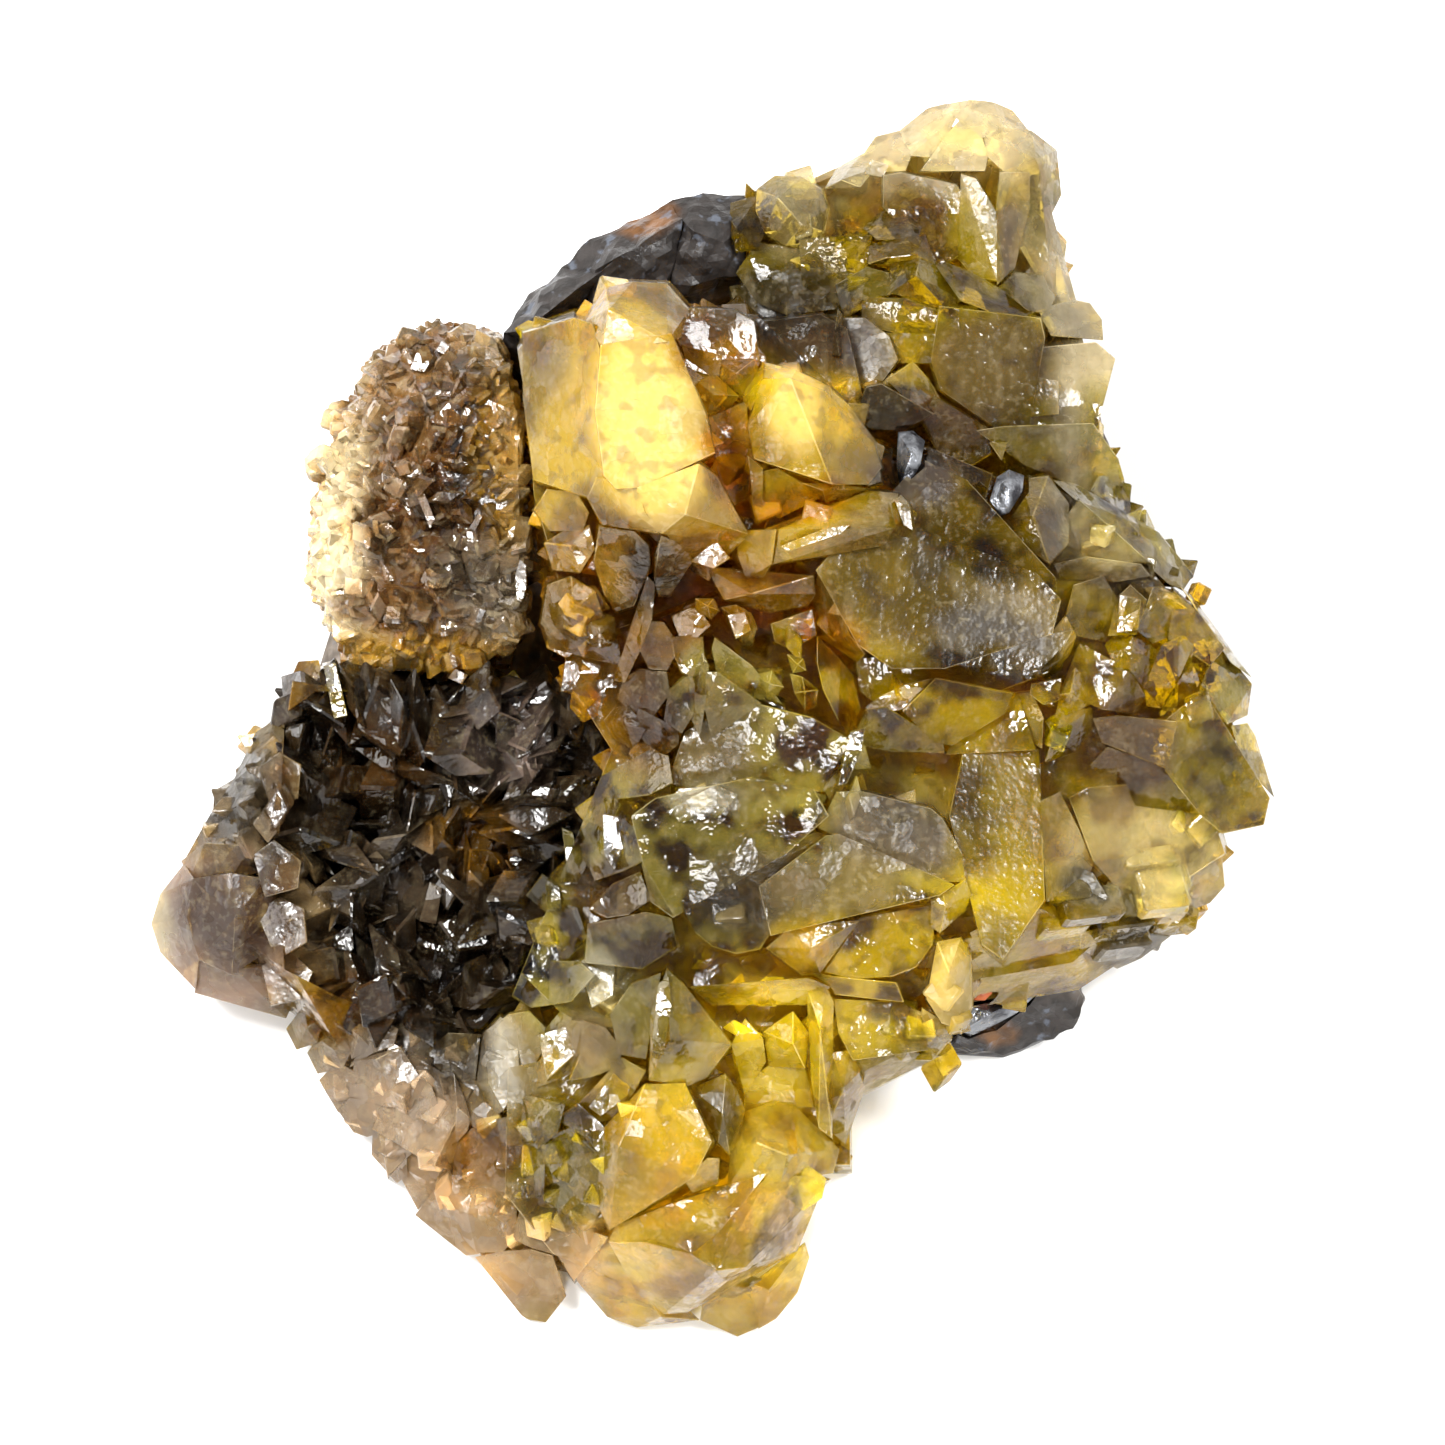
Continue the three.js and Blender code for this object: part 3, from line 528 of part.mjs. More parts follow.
// Smooth crystals along the left rim of the hollow and the dark ones inside it.
const leftRim = {
  domeMain: gem([-35.2, -13.6, -10.4, -34.6, -11.0, -9.8, -32.0, -10.6, -8.8, -29.8, -11.0, -9.2,
    -28.6, -13.0, -10.4, -29.6, -15.8, -11.2, -32.0, -17.4, -10.6, -34.2, -16.4, -10.4,
    -31.8, -13.6, -8.0], -18, 1.15),
  domeRim: gem([-37.4, -14.0, -13.2, -36.8, -12.0, -12.6, -35.2, -10.0, -12.4, -34.5, -11.0, -10.0,
    -35.0, -13.6, -10.0, -34.2, -16.2, -10.6, -34.4, -18.4, -12.8, -35.4, -17.7, -13.4,
    -36.8, -15.9, -13.6], -19, 0.85),
  domeFoot: gem([-34.5, -18.6, -13.4, -34.2, -16.4, -11.0, -31.8, -17.0, -10.6, -28.2, -16.8, -11.8,
    -27.4, -18.2, -12.8, -28.4, -20.3, -14.0, -30.0, -20.2, -14.4, -31.8, -19.5, -14.2], -17.5, 0.85),
  ridge: gem([-35.4, -9.8, -12.6, -33.8, -8.6, -10.8, -30.8, -8.8, -9.0, -27.2, -7.2, -9.6,
    -26.2, -6.4, -11.0, -27.0, -8.6, -11.4, -29.0, -10.4, -10.4, -32.0, -10.9, -10.0,
    -34.8, -11.0, -11.4], -17, 0.9),
  edgeLow: gem([-35.1, -9.6, -13.2, -34.4, -8.2, -13.0, -33.4, -6.6, -12.8, -31.4, -7.0, -10.4,
    -30.4, -8.6, -9.8, -32.2, -9.4, -10.0], -18, 0.85),
  edgeMiddle: gem([-33.5, -6.8, -12.8, -32.6, -5.4, -12.6, -31.9, -4.4, -12.6, -29.8, -4.4, -10.6,
    -29.2, -6.4, -10.4, -30.6, -8.4, -10.2, -31.2, -6.0, -9.4], -18, 0.85),
  edgeHigh: gem([-32.0, -4.6, -12.6, -31.2, -2.6, -12.4, -30.4, -1.2, -12.4, -29.2, -0.4, -12.4,
    -28.2, -1.4, -11.2, -28.4, -4.0, -10.8, -29.6, -5.4, -10.6, -29.8, -2.8, -10.0], -18, 0.85),
  amberRim: gem([-29.3, -0.4, -12.4, -28.6, 0.8, -12.8, -27.9, 2.4, -13.0, -27.6, 3.5, -13.2,
    -26.2, 3.6, -12.4, -25.8, 1.6, -11.8, -26.6, -0.8, -11.6, -28.2, -1.2, -11.2], -18, 0.88),
  whiteGlint: gem([-26.2, 2.9, -12.2, -25.0, 3.5, -11.8, -24.1, 2.0, -11.8, -24.3, 0.7, -12.0,
    -25.2, -0.4, -12.4, -26.2, 0.0, -12.0, -25.6, 1.4, -10.6], -18),
  beigeInner: gem([-28.5, -1.2, -11.2, -27.0, -1.4, -11.4, -26.0, -4.4, -12.2, -25.9, -6.2, -12.6,
    -26.8, -7.6, -11.8, -28.8, -5.6, -11.4, -27.4, -4.0, -10.6], -18),
};

// Convex beds under the crystals, which fill the ground between them down to the rock.
const BED_ROOT = -42;
const BED_FLARE = 0.86;
const beds = {
  centre: tile([-9.0, -4.0, -8.0, 15.0, 2.0, 17.0, 14.0, 18.0, 23.4, 14.0, 27.0, 6.0, 27.0, -10.0,
    18.0, -17.5, 6.0, -24.0, -6.0, -24.0, -13.0, -17.0], -5.4, [0.02, 0.0], BED_ROOT, BED_FLARE),
  goldenRoot: standing(flatFace([-12.0, 15.0, -12.4, 25.0, -6.0, 28.0, 3.0, 26.6, 10.0, 20.0, 10.0, 12.0,
    -9.0, 4.6], -4.6, [0.05, 0.0]), 0, 1),
  upperRight: standing(flatFace([1.0, 29.0, 2.0, 33.6, 8.0, 35.0, 15.0, 39.4, 20.6, 38.0, 22.0, 34.0,
    22.6, 29.0, 25.0, 24.0, 26.0, 15.0, 14.0, 12.0, 4.0, 19.0], -14.2, [0.05, -0.28]), 0, 0.95),
  right: tile([21.0, 16.0, 26.0, 13.4, 30.0, 9.6, 34.0, 4.0, 35.0, -2.0, 35.6, -6.4, 31.0, -10.6,
    28.0, -14.0, 24.0, -16.6, 16.0, -18.0, 16.0, -4.0], -7.6, [-0.12, 0.05], BED_ROOT, BED_FLARE),
  lowerRight: gem([16.8, -15.0, -3.4, 22.0, -14.6, -4.6, 27.0, -11.6, -6.6, 30.2, -11.8, -8.8,
    31.2, -11.6, -9.6, 32.0, -13.4, -11.6, 30.6, -14.8, -12.6, 28.6, -16.2, -13.4, 27.0, -16.8, -13.4,
    25.6, -17.4, -13.2, 24.4, -18.4, -12.8, 21.6, -18.6, -12.4, 17.2, -19.6, -11.0,
    17.0, -17.2, -5.0], -18, 0.9),
  hollowFloor: tile([-35.6, -14.0, -33.0, -8.0, -30.0, -2.0, -27.4, 1.6, -14.0, 4.0, -8.0, -4.0,
    -13.0, -14.0, -16.0, -22.0, -26.0, -20.4, -33.0, -17.6], -13.0, [0.02, 0.0], BED_ROOT, BED_FLARE),
  bottom: tile([-14.6, -26.0, -13.6, -23.6, -6.0, -22.0, 8.0, -22.0, 8.0, -29.0, 6.0, -34.0,
    0.0, -38.0, -6.0, -38.0, -10.6, -36.0, -13.8, -32.0], -6.4, [-0.02, 0.1], BED_ROOT, BED_FLARE),
  lowerLeft: tile([-28.0, -19.4, -22.0, -18.6, -16.0, -19.0, -12.0, -25.0, -11.0, -36.0, -13.0, -38.8,
    -17.0, -34.0, -21.0, -29.8, -25.0, -25.0], -11.5, [0.2, -0.05], BED_ROOT, BED_FLARE),
};

// Clear and pale crystals at the right-hand lower edge.
const lowerRightEdge = {
  clearPair: gem([31.4, -10.6, -8.4, 32.4, -9.8, -8.6, 34.0, -9.4, -10.0, 33.8, -10.4, -10.8,
    34.2, -11.5, -11.4, 33.2, -12.6, -11.8, 32.2, -13.0, -11.6, 31.6, -12.2, -9.4], -16, 0.88),
  clearRound: gem([29.3, -12.8, -8.6, 30.2, -11.8, -7.8, 31.2, -11.6, -8.2, 31.9, -12.4, -9.6,
    32.2, -13.6, -11.4, 31.0, -14.4, -11.8, 29.6, -14.4, -10.4, 30.6, -12.8, -7.8], -16, 0.9),
  greyFacet: gem([26.4, -11.2, -5.2, 27.8, -11.6, -6.2, 28.9, -12.6, -7.4, 28.2, -14.2, -8.2,
    26.2, -14.4, -7.2, 25.4, -13.2, -5.8], -14),
  oliveLower: gem([17.2, -14.6, -2.8, 19.4, -13.4, -2.2, 22.0, -13.0, -2.6, 24.6, -14.4, -5.0,
    24.6, -15.6, -6.8, 22.2, -16.0, -6.6, 19.8, -16.6, -6.6, 17.8, -15.8, -4.6], -14),
  striatedEdge: gem([24.6, -14.6, -5.8, 26.2, -14.2, -7.0, 28.8, -14.6, -9.8, 30.6, -14.8, -12.0,
    28.6, -16.3, -13.2, 27.0, -17.0, -13.4, 25.4, -16.2, -9.6, 24.4, -15.6, -7.4], -16, 0.92),
  lowStrip: gem([17.4, -16.4, -6.4, 20.2, -16.6, -7.2, 24.4, -15.6, -7.6, 25.6, -17.4, -12.6,
    24.6, -18.2, -12.8, 21.6, -18.4, -11.8, 17.6, -17.6, -9.0], -15, 0.95),
};

// Outer edge of the whole face, x and y pairs, clockwise from the top.
const faceOutline = inGroups([17.6, 41.4, 20.4, 39.9, 23.0, 37.6, 23.2, 34.7, 24.0, 28.6, 26.0, 26.0,
    26.6, 22.0, 27.2, 16.0, 28.0, 13.0, 32.0, 9.4, 35.8, 2.4, 36.2, -3.0, 37.4, -6.2, 35.6, -8.4,
    33.8, -12.0, 30.0, -15.0, 25.0, -18.0, 9.6, -26.6, 8.4, -29.6, 6.4, -36.0, 2.0, -41.2, -6.0, -40.6,
    -12.0, -40.6, -15.6, -36.6, -21.0, -31.4, -25.0, -26.4, -28.2, -21.2, -34.0, -18.8, -37.2, -14.0,
    -35.0, -9.6, -30.6, -1.4, -27.6, 3.4], 2);

// Rock: foot on the resting plane, and the part of it that shows along the upper-left edge.
const rockFoot = inGroups([-13.4, 25.0, -19.5, 22.0, -22.6, 12.0, -24.0, 0.0, -32.0, -13.0, -27.0, -18.0,
  -12.0, -26.0, 5.0, -27.0, 22.0, -19.0, 30.0, -12.0, 33.0, -4.0, 32.0, 3.0, 27.0, 9.0, 24.0, 20.0,
  20.0, 35.0, 13.0, 37.0, 3.0, 33.4], 2);

const rockCrest = {
  left: [-14.0, 25.4, -14.6, -12.2, 28.0, -15.0, -10.0, 29.8, -15.2, -8.4, 30.4, -15.0, -12.4, 25.6, -12.2,
    -9.2, 28.2, -12.2, -7.2, 29.6, -12.8, -11.4, 27.2, -12.6],
  middle: [-9.6, 29.9, -15.2, -8.0, 31.5, -15.6, -6.6, 32.2, -15.8, -4.8, 33.1, -16.0, -3.0, 34.0, -16.2,
    -2.0, 33.0, -13.6, -5.8, 30.8, -12.4, -7.8, 29.6, -12.8, -3.0, 28.4, -14.4, -8.0, 27.4, -14.2],
  right: [-3.4, 33.8, -16.0, -1.8, 34.5, -16.2, -0.6, 34.6, -16.2, 0.6, 34.2, -16.2, 2.2, 34.6, -16.6,
    2.4, 33.0, -15.0, 0.8, 31.4, -13.8, -1.2, 32.2, -13.0, -2.6, 28.6, -14.4, 2.0, 29.2, -15.0],
};

const rockLedge = [15.4, -22.2, -15.6, 16.4, -21.4, -14.4, 18.8, -20.2, -13.6, 21.6, -18.9, -13.6,
  24.4, -18.2, -14.2, 24.6, -19.0, -14.8, 24.0, -20.9, -15.6, 22.3, -21.5, -16.0, 20.6, -22.5, -16.6,
  19.4, -22.9, -16.8, 17.6, -22.8, -16.8, 16.0, -22.7, -16.6];
const ledgeRoot = -19;

// Cells that part the two crusts from the fluorite. The brown cushion fills the left one.
const druseCell = {
  rim: inGroups([-27.7, 8.6, -27.2, 14.6, -25.0, 19.6, -23.6, 24.0, -18.6, 26.6, -13.4, 25.6, -12.6, 20.0,
    -12.2, 14.0, -12.0, 10.6, -12.6, 4.0, -15.0, 1.9, -24.4, 1.9, -26.6, 4.6], 2),
  top: -2.0,
  root: -33.0,
};
const hollowCell = {
  rim: inGroups([-28.2, -0.2, -26.2, 1.2, -14.0, 1.2, -9.4, 1.2, -7.0, -2.6, -8.2, -5.4, -13.4, -14.2,
    -13.8, -19.2, -15.4, -21.0, -19.0, -20.8, -24.6, -18.6, -28.2, -16.8, -28.6, -10.6, -26.4, -6.4], 2),
  top: -3.0,
  root: -16.6,
};

// A straight-sided cell, widened by a margin where a neighbour is to keep clear of it.
function cell({ rim, top, root }, margin) {
  const middleX = average(rim.map(([x]) => x));
  const middleY = average(rim.map(([, y]) => y));
  const wider = rim.map(([x, y]) => {
    const reach = Math.hypot(x - middleX, y - middleY);
    const scale = (reach + margin * CELL_WIDENING) / reach;
    return [middleX + (x - middleX) * scale, middleY + (y - middleY) * scale];
  });
  return hull([
    ...wider.map(([x, y]) => onFace(x, y, top + margin)),
    ...wider.map(([x, y]) => onFace(x, y, root - margin)),
  ]);
}

// A short crystal with a slanting ridge on a four-sided foot, standing along an outward direction.
function smallCrystal(foot, outward, size, random) {
  const side = new THREE.Vector3(random() - 0.5, random() - 0.5, random() - 0.5).cross(outward).normalize();
  const across = new THREE.Vector3().crossVectors(outward, side);
  const tilt = side.clone().multiplyScalar(within(SMALL_TILT, random));
  const axis = outward.clone().add(tilt).normalize();
  const length = size * within(SMALL_LENGTH, random);
  const width = size * within(SMALL_WIDTH, random);
  const depth = size * within(SMALL_DEPTH, random);
  const corner = (alongSide, alongAcross, alongAxis) => foot.clone()
    .addScaledVector(side, alongSide * width)
    .addScaledVector(across, alongAcross * depth)
    .addScaledVector(axis, alongAxis * length);
  return hull([
    corner(-1, -1, SMALL_FOOT),
    corner(1, -1, SMALL_FOOT),
    corner(1, 1, SMALL_FOOT),
    corner(-1, 1, SMALL_FOOT),
    corner(-SMALL_OVERHANG, 0, SMALL_SHOULDERS[0]),
    corner(SMALL_OVERHANG, 0, SMALL_SHOULDERS[1]),
    corner(SMALL_RIDGE, 0, 1),
  ]);
}

// Brown cushion: a domed body, its small crystals pointing away from a centre deep inside.
function brownDruse() {
  const body = gem([-26.4, 8.8, -14.0, -26.0, 14.4, -14.0, -23.8, 19.4, -14.0, -22.4, 23.4, -14.4,
    -18.4, 25.6, -14.4, -14.4, 24.8, -12.0, -13.0, 20.0, -8.0, -12.8, 12.0, -7.0, -13.2, 5.0, -9.0,
    -15.6, 3.0, -11.0, -23.8, 3.0, -14.0, -24.0, 10.0, -10.0, -22.0, 18.0, -9.6, -17.0, 22.0, -8.4,
    -16.0, 13.0, -6.4, -18.0, 6.0, -8.6], -33, 1.02);
  const random = seededRandom(DRUSE_SEED);
  const inner = onFace(DRUSE_CENTRE.x, DRUSE_CENTRE.y, DRUSE_CENTRE.w);
  const crystals = [];
  for (let made = 0; made < DRUSE_CRYSTALS; made += 1) {
    // Even steps round a half sphere over the cushion, a little disturbed and squared off.
    const up = 1 - (made + 0.5) / DRUSE_CRYSTALS * DRUSE_COVER;
    const turn = made * SPREAD_TURN + random() * DRUSE_TURN;
    const flat = Math.sqrt(Math.max(0, 1 - up * up));
    const square = 1 + DRUSE_SQUARENESS * Math.abs(Math.sin(2 * turn));
    const x = DRUSE_CENTRE.x + DRUSE_REACH.x * flat * Math.cos(turn) * square;
    const y = DRUSE_CENTRE.y + DRUSE_REACH.y * flat * Math.sin(turn);
    const w = DRUSE_CENTRE.w + DRUSE_REACH.w * up + DRUSE_LIFT;
    const foot = onFace(x, y, w);
    const outward = foot.clone().sub(inner).normalize();
    const size = DRUSE_CRYSTAL_SIZE * within(DRUSE_SIZES, random);
    crystals.push(smallCrystal(foot, outward, size, random));
  }
  return unite([body, ...crystals]).intersect(cell(druseCell, 0));
}

// Smoky crust: the hollow's cell, scooped out to a bowl, with small crystals standing on the bowl.
function smokyCrust() {
  const whole = cell({ ...hollowCell, top: CRUST_TOP }, 0);
  const lowest = hollowCell.root + CRUST_THICKNESS;
  const ring = (share, level) => hollowCell.rim.map(([x, y]) => onFace(
    BOWL_MIDDLE.x + (x - BOWL_MIDDLE.x) * share,
    BOWL_MIDDLE.y + (y - BOWL_MIDDLE.y) * share,
    level,
  ));
  const scoop = hull([
    ...ring(BOWL_MOUTH.share, BOWL_MOUTH.level),
    ...ring(BOWL_FLOOR_SHARE, lowest),
    ...ring(BOWL_SIDE.share, lowest + BOWL_SIDE.rise),
  ]);
  const random = seededRandom(CRUST_SEED);
  const focus = onFace(BOWL_MIDDLE.x, BOWL_MIDDLE.y, BOWL_FOCUS);
  const crystals = [];
  for (let made = 0; made < CRUST_CRYSTALS; made += 1) {
    const reach = Math.sqrt((made + 0.5) / CRUST_CRYSTALS);
    const turn = made * SPREAD_TURN + random() * CRUST_TURN;
    const x = BOWL_MIDDLE.x + BOWL_REACH.x * reach * Math.cos(turn);
    const y = BOWL_MIDDLE.y + BOWL_REACH.y * reach * Math.sin(turn);
    const upSide = Math.max(0, reach - BOWL_FLAT_SHARE) / (1 - BOWL_FLAT_SHARE);
    const foot = onFace(x, y, lowest - BOWL_SINK + BOWL_RISE * upSide);
    const outward = focus.clone().sub(foot).normalize();
    outward.x += within(CRUST_SCATTER, random);
    outward.y += within(CRUST_SCATTER, random);
    outward.normalize();
    const size = CRUST_CRYSTAL_SIZE * within(CRUST_SIZES, random);
    crystals.push(smallCrystal(foot, outward, size, random));
  }
  const prism = gem([-18.5, 0.3, -10.4, -15.5, 0.9, -9.8, -15.0, 0.3, -9.2, -18.0, -0.3, -9.6], -16);
  const smoothDark = gem([-16.0, 0.6, -12.4, -13.0, 1.0, -11.6, -11.2, -1.0, -10.6, -11.0, -2.6, -10.8,
    -12.6, -4.2, -11.2, -14.6, -4.9, -12.2, -16.2, -4.0, -13.0, -15.6, -2.0, -12.2], -18, 1.35);
  return unite([whole.subtract(scoop), ...crystals, prism, smoothDark]).intersect(cell(hollowCell, 0));
}

// Cubes turned every way that cover the flanks, below the face and above the rock's foot.
function flankCrystals() {
  const random = seededRandom(FLANK_SEED);
  const crystals = [];
  for (let made = 0; made < FLANK_CRYSTALS; made += 1) {
    const along = (made / FLANK_CRYSTALS) * faceOutline.length;
    const from = faceOutline[Math.floor(along)];
    const to = faceOutline[(Math.floor(along) + 1) % faceOutline.length];
    const share = along - Math.floor(along);
    const edgeX = from[0] + (to[0] - from[0]) * share;
    const edgeY = from[1] + (to[1] - from[1]) * share;
    const size = FLANK_CRYSTAL_SIZE * within(FLANK_SIZES, random);
    const reach = Math.hypot(edgeX, edgeY);
    const inset = (reach - size * FLANK_INSET) / reach;
    const floor = levelAbove(CRYSTAL_CLEARANCE, edgeY);
    const room = Math.max(0, FLANK_ROOM_TOP - floor);
    const level = floor + size * FLANK_LIFT + room * FLANK_SCATTER * random();
    const turn = new THREE.Quaternion(random() - 0.5, random() - 0.5, random() - 0.5, random() - 0.5);
    const cube = new THREE.BoxGeometry(size, size, size);
    cube.applyQuaternion(turn.normalize());
    cube.translate(...onFace(edgeX * inset, edgeY * inset, Math.min(level, FLANK_TOP)).toArray());
    crystals.push(solidOf(cube));
  }
  return crystals;
}

// Everything above a level over the resting plane.
function above(level) {
  const block = new THREE.BoxGeometry(ENDLESS, ENDLESS, ENDLESS);
  block.translate(0, 0, level + ENDLESS / 2);
  return solidOf(block);
}

// Everything in front of the plane that the back leans against.
function beforeBack() {
  const lean = Math.atan2(BACK_AT_TOP - BACK_AT_FOOT, FACE_HEIGHT);
  const block = new THREE.BoxGeometry(ENDLESS, ENDLESS, ENDLESS);
  block.translate(0, -ENDLESS / 2, ENDLESS / 4);
  block.rotateX(-lean);
  block.translate(0, BACK_AT_FOOT, 0);
  return solidOf(block);
}

// The rock's low slab, widened by a margin.
function rockSlab(margin) {
  const ring = (height, scale) => rockFoot.map(([x, y]) => {
    const point = onFace(x * scale, y * scale, levelAbove(height, y * scale));
    const reach = Math.hypot(point.x, point.y);
    const wider = 1 + margin / reach;
    return new THREE.Vector3(point.x * wider, point.y * wider, point.z + margin);
  });
  return hull([
    ...ring(ROCK_FOOT.height, ROCK_FOOT.share),
    ...ring(ROCK_THICKNESS / 2, 1),
    ...ring(ROCK_THICKNESS, ROCK_TOP_SHARE),
  ]);
}

const silverGrainUpper = [12.4, 18.8, -3.4, 13.4, 18.9, -3.2, 14.2, 18.2, -3.0, 13.9, 16.6, -2.0,
  13.2, 15.3, -1.8, 12.5, 15.2, -2.0, 12.3, 16.6, -2.6, 13.3, 17.4, -1.6];
const silverGrainRight = [19.0, 15.8, -3.6, 19.8, 16.3, -3.6, 20.8, 15.9, -3.6, 20.7, 14.8, -3.0,
  19.8, 13.4, -2.2, 19.2, 13.2, -2.4, 18.5, 14.2, -2.8, 19.8, 15.0, -2.0];
const silverSeam = [16.6, -21.2, -13.0, 17.2, -19.5, -12.2, 19.0, -19.3, -12.2, 21.7, -18.6, -12.4,
  20.4, -19.9, -12.8, 18.9, -20.7, -13.4, 17.4, -21.4, -13.8, 18.8, -19.9, -11.8];
const rustGrain = [17.2, -18.2, -10.4, 17.9, -17.7, -10.2, 18.5, -18.0, -10.2, 18.7, -18.6, -10.4,
  18.2, -19.1, -10.8, 17.5, -19.1, -10.8, 17.9, -18.4, -9.7];

// The corners of a lump, moved outwards by a gap.
function widened(corners, gap) {
  const triples = inGroups(corners, 3);
  const middleX = average(triples.map(([x]) => x));
  const middleY = average(triples.map(([, y]) => y));
  return triples.map(([x, y, w]) => {
    const reach = Math.max(LEAST_REACH, Math.hypot(x - middleX, y - middleY));
    const scale = (reach + gap * POCKET_WIDENING) / reach;
    return [middleX + (x - middleX) * scale, middleY + (y - middleY) * scale, w + gap];
  });
}

// A grain, or the pocket that holds it, which is wider by the gap.
function grain(corners, root, gap = 0) {
  return hull(rooted(widened(corners, gap), root - gap, 1));
}

const silverRoot = -6;
const seamRoot = -15;
const rustRoot = -12.5;

const pockets = unite([
  grain(silverGrainUpper, silverRoot, PIECE_GAP),
  grain(silverGrainRight, silverRoot, PIECE_GAP),
  grain(silverSeam, seamRoot, PIECE_GAP),
  grain(rustGrain, rustRoot, PIECE_GAP),
]);

// The whole rock, widened by a margin where the crystals are to keep clear of it.
function wholeRock(margin) {
  return unite([
    rockSlab(margin),
    ...Object.values(rockCrest).map((corners) => standing(widened(corners, margin), 0, 1)),
    grain(rockLedge, ledgeRoot, margin),
  ]);
}

const matrixSolid = wholeRock(0).intersect(above(0)).intersect(beforeBack()).subtract(pockets);
const clearOfRock = wholeRock(PIECE_GAP);

const crystalGroups = [goldenGroup, plateGroup, rightMass, upperRight, middle, striatedSlope, lowerMass,
  lowerLeft, leftRim, beds, lowerRightEdge];
const fluoriteSolid = unite([...crystalGroups.flatMap((group) => Object.values(group)), ...flankCrystals()])
  .intersect(above(CRYSTAL_CLEARANCE))
  .intersect(beforeBack())
  .subtract(clearOfRock)
  .subtract(cell(druseCell, PIECE_GAP))
  .subtract(cell(hollowCell, PIECE_GAP))
  .subtract(pockets);

const druseSolid = brownDruse().intersect(above(CRYSTAL_CLEARANCE)).subtract(clearOfRock);
const crustSolid = smokyCrust().subtract(clearOfRock);

const finishes = {
  rock: { color: 0x3b3a40, roughness: 0.75, metalness: 0.05 },
  fluorite: { color: 0xc9ae46, roughness: 0.12, metalness: 0.0 },
  brownDruse: { color: 0x6e5138, roughness: 0.3, metalness: 0.0 },
  smokyCrust: { color: 0x2c2620, roughness: 0.3, metalness: 0.0 },
  silver: { color: 0x8d99a8, roughness: 0.35, metalness: 0.8 },
  rust: { color: 0x8e2f0a, roughness: 0.7, metalness: 0.0 },
};

const pieces = [
  ['matrix', matrixSolid, finishes.rock],
  ['fluorite', fluoriteSolid, finishes.fluorite],
  ['brown_druse', druseSolid, finishes.brownDruse],
  ['smoky_crust', crustSolid, finishes.smokyCrust],
  ['silver_grain_upper', grain(silverGrainUpper, silverRoot), finishes.silver],
  ['silver_grain_right', grain(silverGrainRight, silverRoot), finishes.silver],
  ['silver_seam', grain(silverSeam, seamRoot), finishes.silver],
  ['rust_grain', grain(rustGrain, rustRoot), finishes.rust],
];

function geometryOf(solid) {
  const mesh = solid.getMesh();
  const geometry = new THREE.BufferGeometry();
  geometry.setAttribute('position', new THREE.BufferAttribute(mesh.vertProperties, 3));
  geometry.setIndex(new THREE.BufferAttribute(mesh.triVerts, 1));
  return geometry;
}

const cluster = new THREE.Group();
for (const [name, solid, finish] of pieces) {
  const mesh = new THREE.Mesh(geometryOf(solid), new THREE.MeshStandardMaterial(finish));
  mesh.name = name;
  cluster.add(mesh);
}

// The origin goes to the middle of the box's underside.
const box = new THREE.Box3().setFromObject(cluster);
const middleOfBox = box.getCenter(new THREE.Vector3());
cluster.position.set(-middleOfBox.x, -middleOfBox.y, -box.min.z);

export default cluster;
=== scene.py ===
"""Looks of the fluorite crystal cluster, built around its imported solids.

Sizes are millimetres unless a name says otherwise, and meshes are made in metres. A place on the cluster is
given as x, y on the crystal face and w, the height above that face towards the eye, 300 mm away.
"""
import json
import logging
import math
import random
from dataclasses import dataclass, field
from enum import Enum
from typing import Iterable, Mapping, Sequence

import bmesh
import bpy
import numpy as np
from mathutils import Euler, Matrix, Vector, noise

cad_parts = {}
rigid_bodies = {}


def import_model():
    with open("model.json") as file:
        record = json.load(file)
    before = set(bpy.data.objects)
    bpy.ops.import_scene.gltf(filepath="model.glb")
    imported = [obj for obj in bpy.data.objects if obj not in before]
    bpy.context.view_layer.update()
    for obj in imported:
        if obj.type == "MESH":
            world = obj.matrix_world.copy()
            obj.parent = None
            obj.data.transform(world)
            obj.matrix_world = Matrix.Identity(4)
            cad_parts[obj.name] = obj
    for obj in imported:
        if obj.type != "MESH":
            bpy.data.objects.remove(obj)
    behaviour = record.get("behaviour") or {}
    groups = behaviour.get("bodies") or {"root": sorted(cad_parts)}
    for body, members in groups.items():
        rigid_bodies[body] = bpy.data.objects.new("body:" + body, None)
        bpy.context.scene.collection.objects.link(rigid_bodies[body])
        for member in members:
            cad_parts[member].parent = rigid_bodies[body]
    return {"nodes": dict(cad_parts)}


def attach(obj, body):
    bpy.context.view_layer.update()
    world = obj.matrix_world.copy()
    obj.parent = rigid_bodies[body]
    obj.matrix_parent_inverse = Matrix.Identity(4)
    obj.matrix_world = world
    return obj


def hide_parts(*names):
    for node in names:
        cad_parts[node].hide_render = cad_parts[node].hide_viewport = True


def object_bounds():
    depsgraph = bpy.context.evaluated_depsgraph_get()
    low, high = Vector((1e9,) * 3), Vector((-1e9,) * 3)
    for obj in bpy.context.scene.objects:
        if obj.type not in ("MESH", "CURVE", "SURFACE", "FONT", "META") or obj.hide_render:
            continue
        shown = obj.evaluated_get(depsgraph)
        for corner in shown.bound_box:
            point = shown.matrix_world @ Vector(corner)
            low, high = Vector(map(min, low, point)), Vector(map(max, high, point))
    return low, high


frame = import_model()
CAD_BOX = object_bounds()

log = logging.getLogger("fluorite")

# Frame of the crystal face

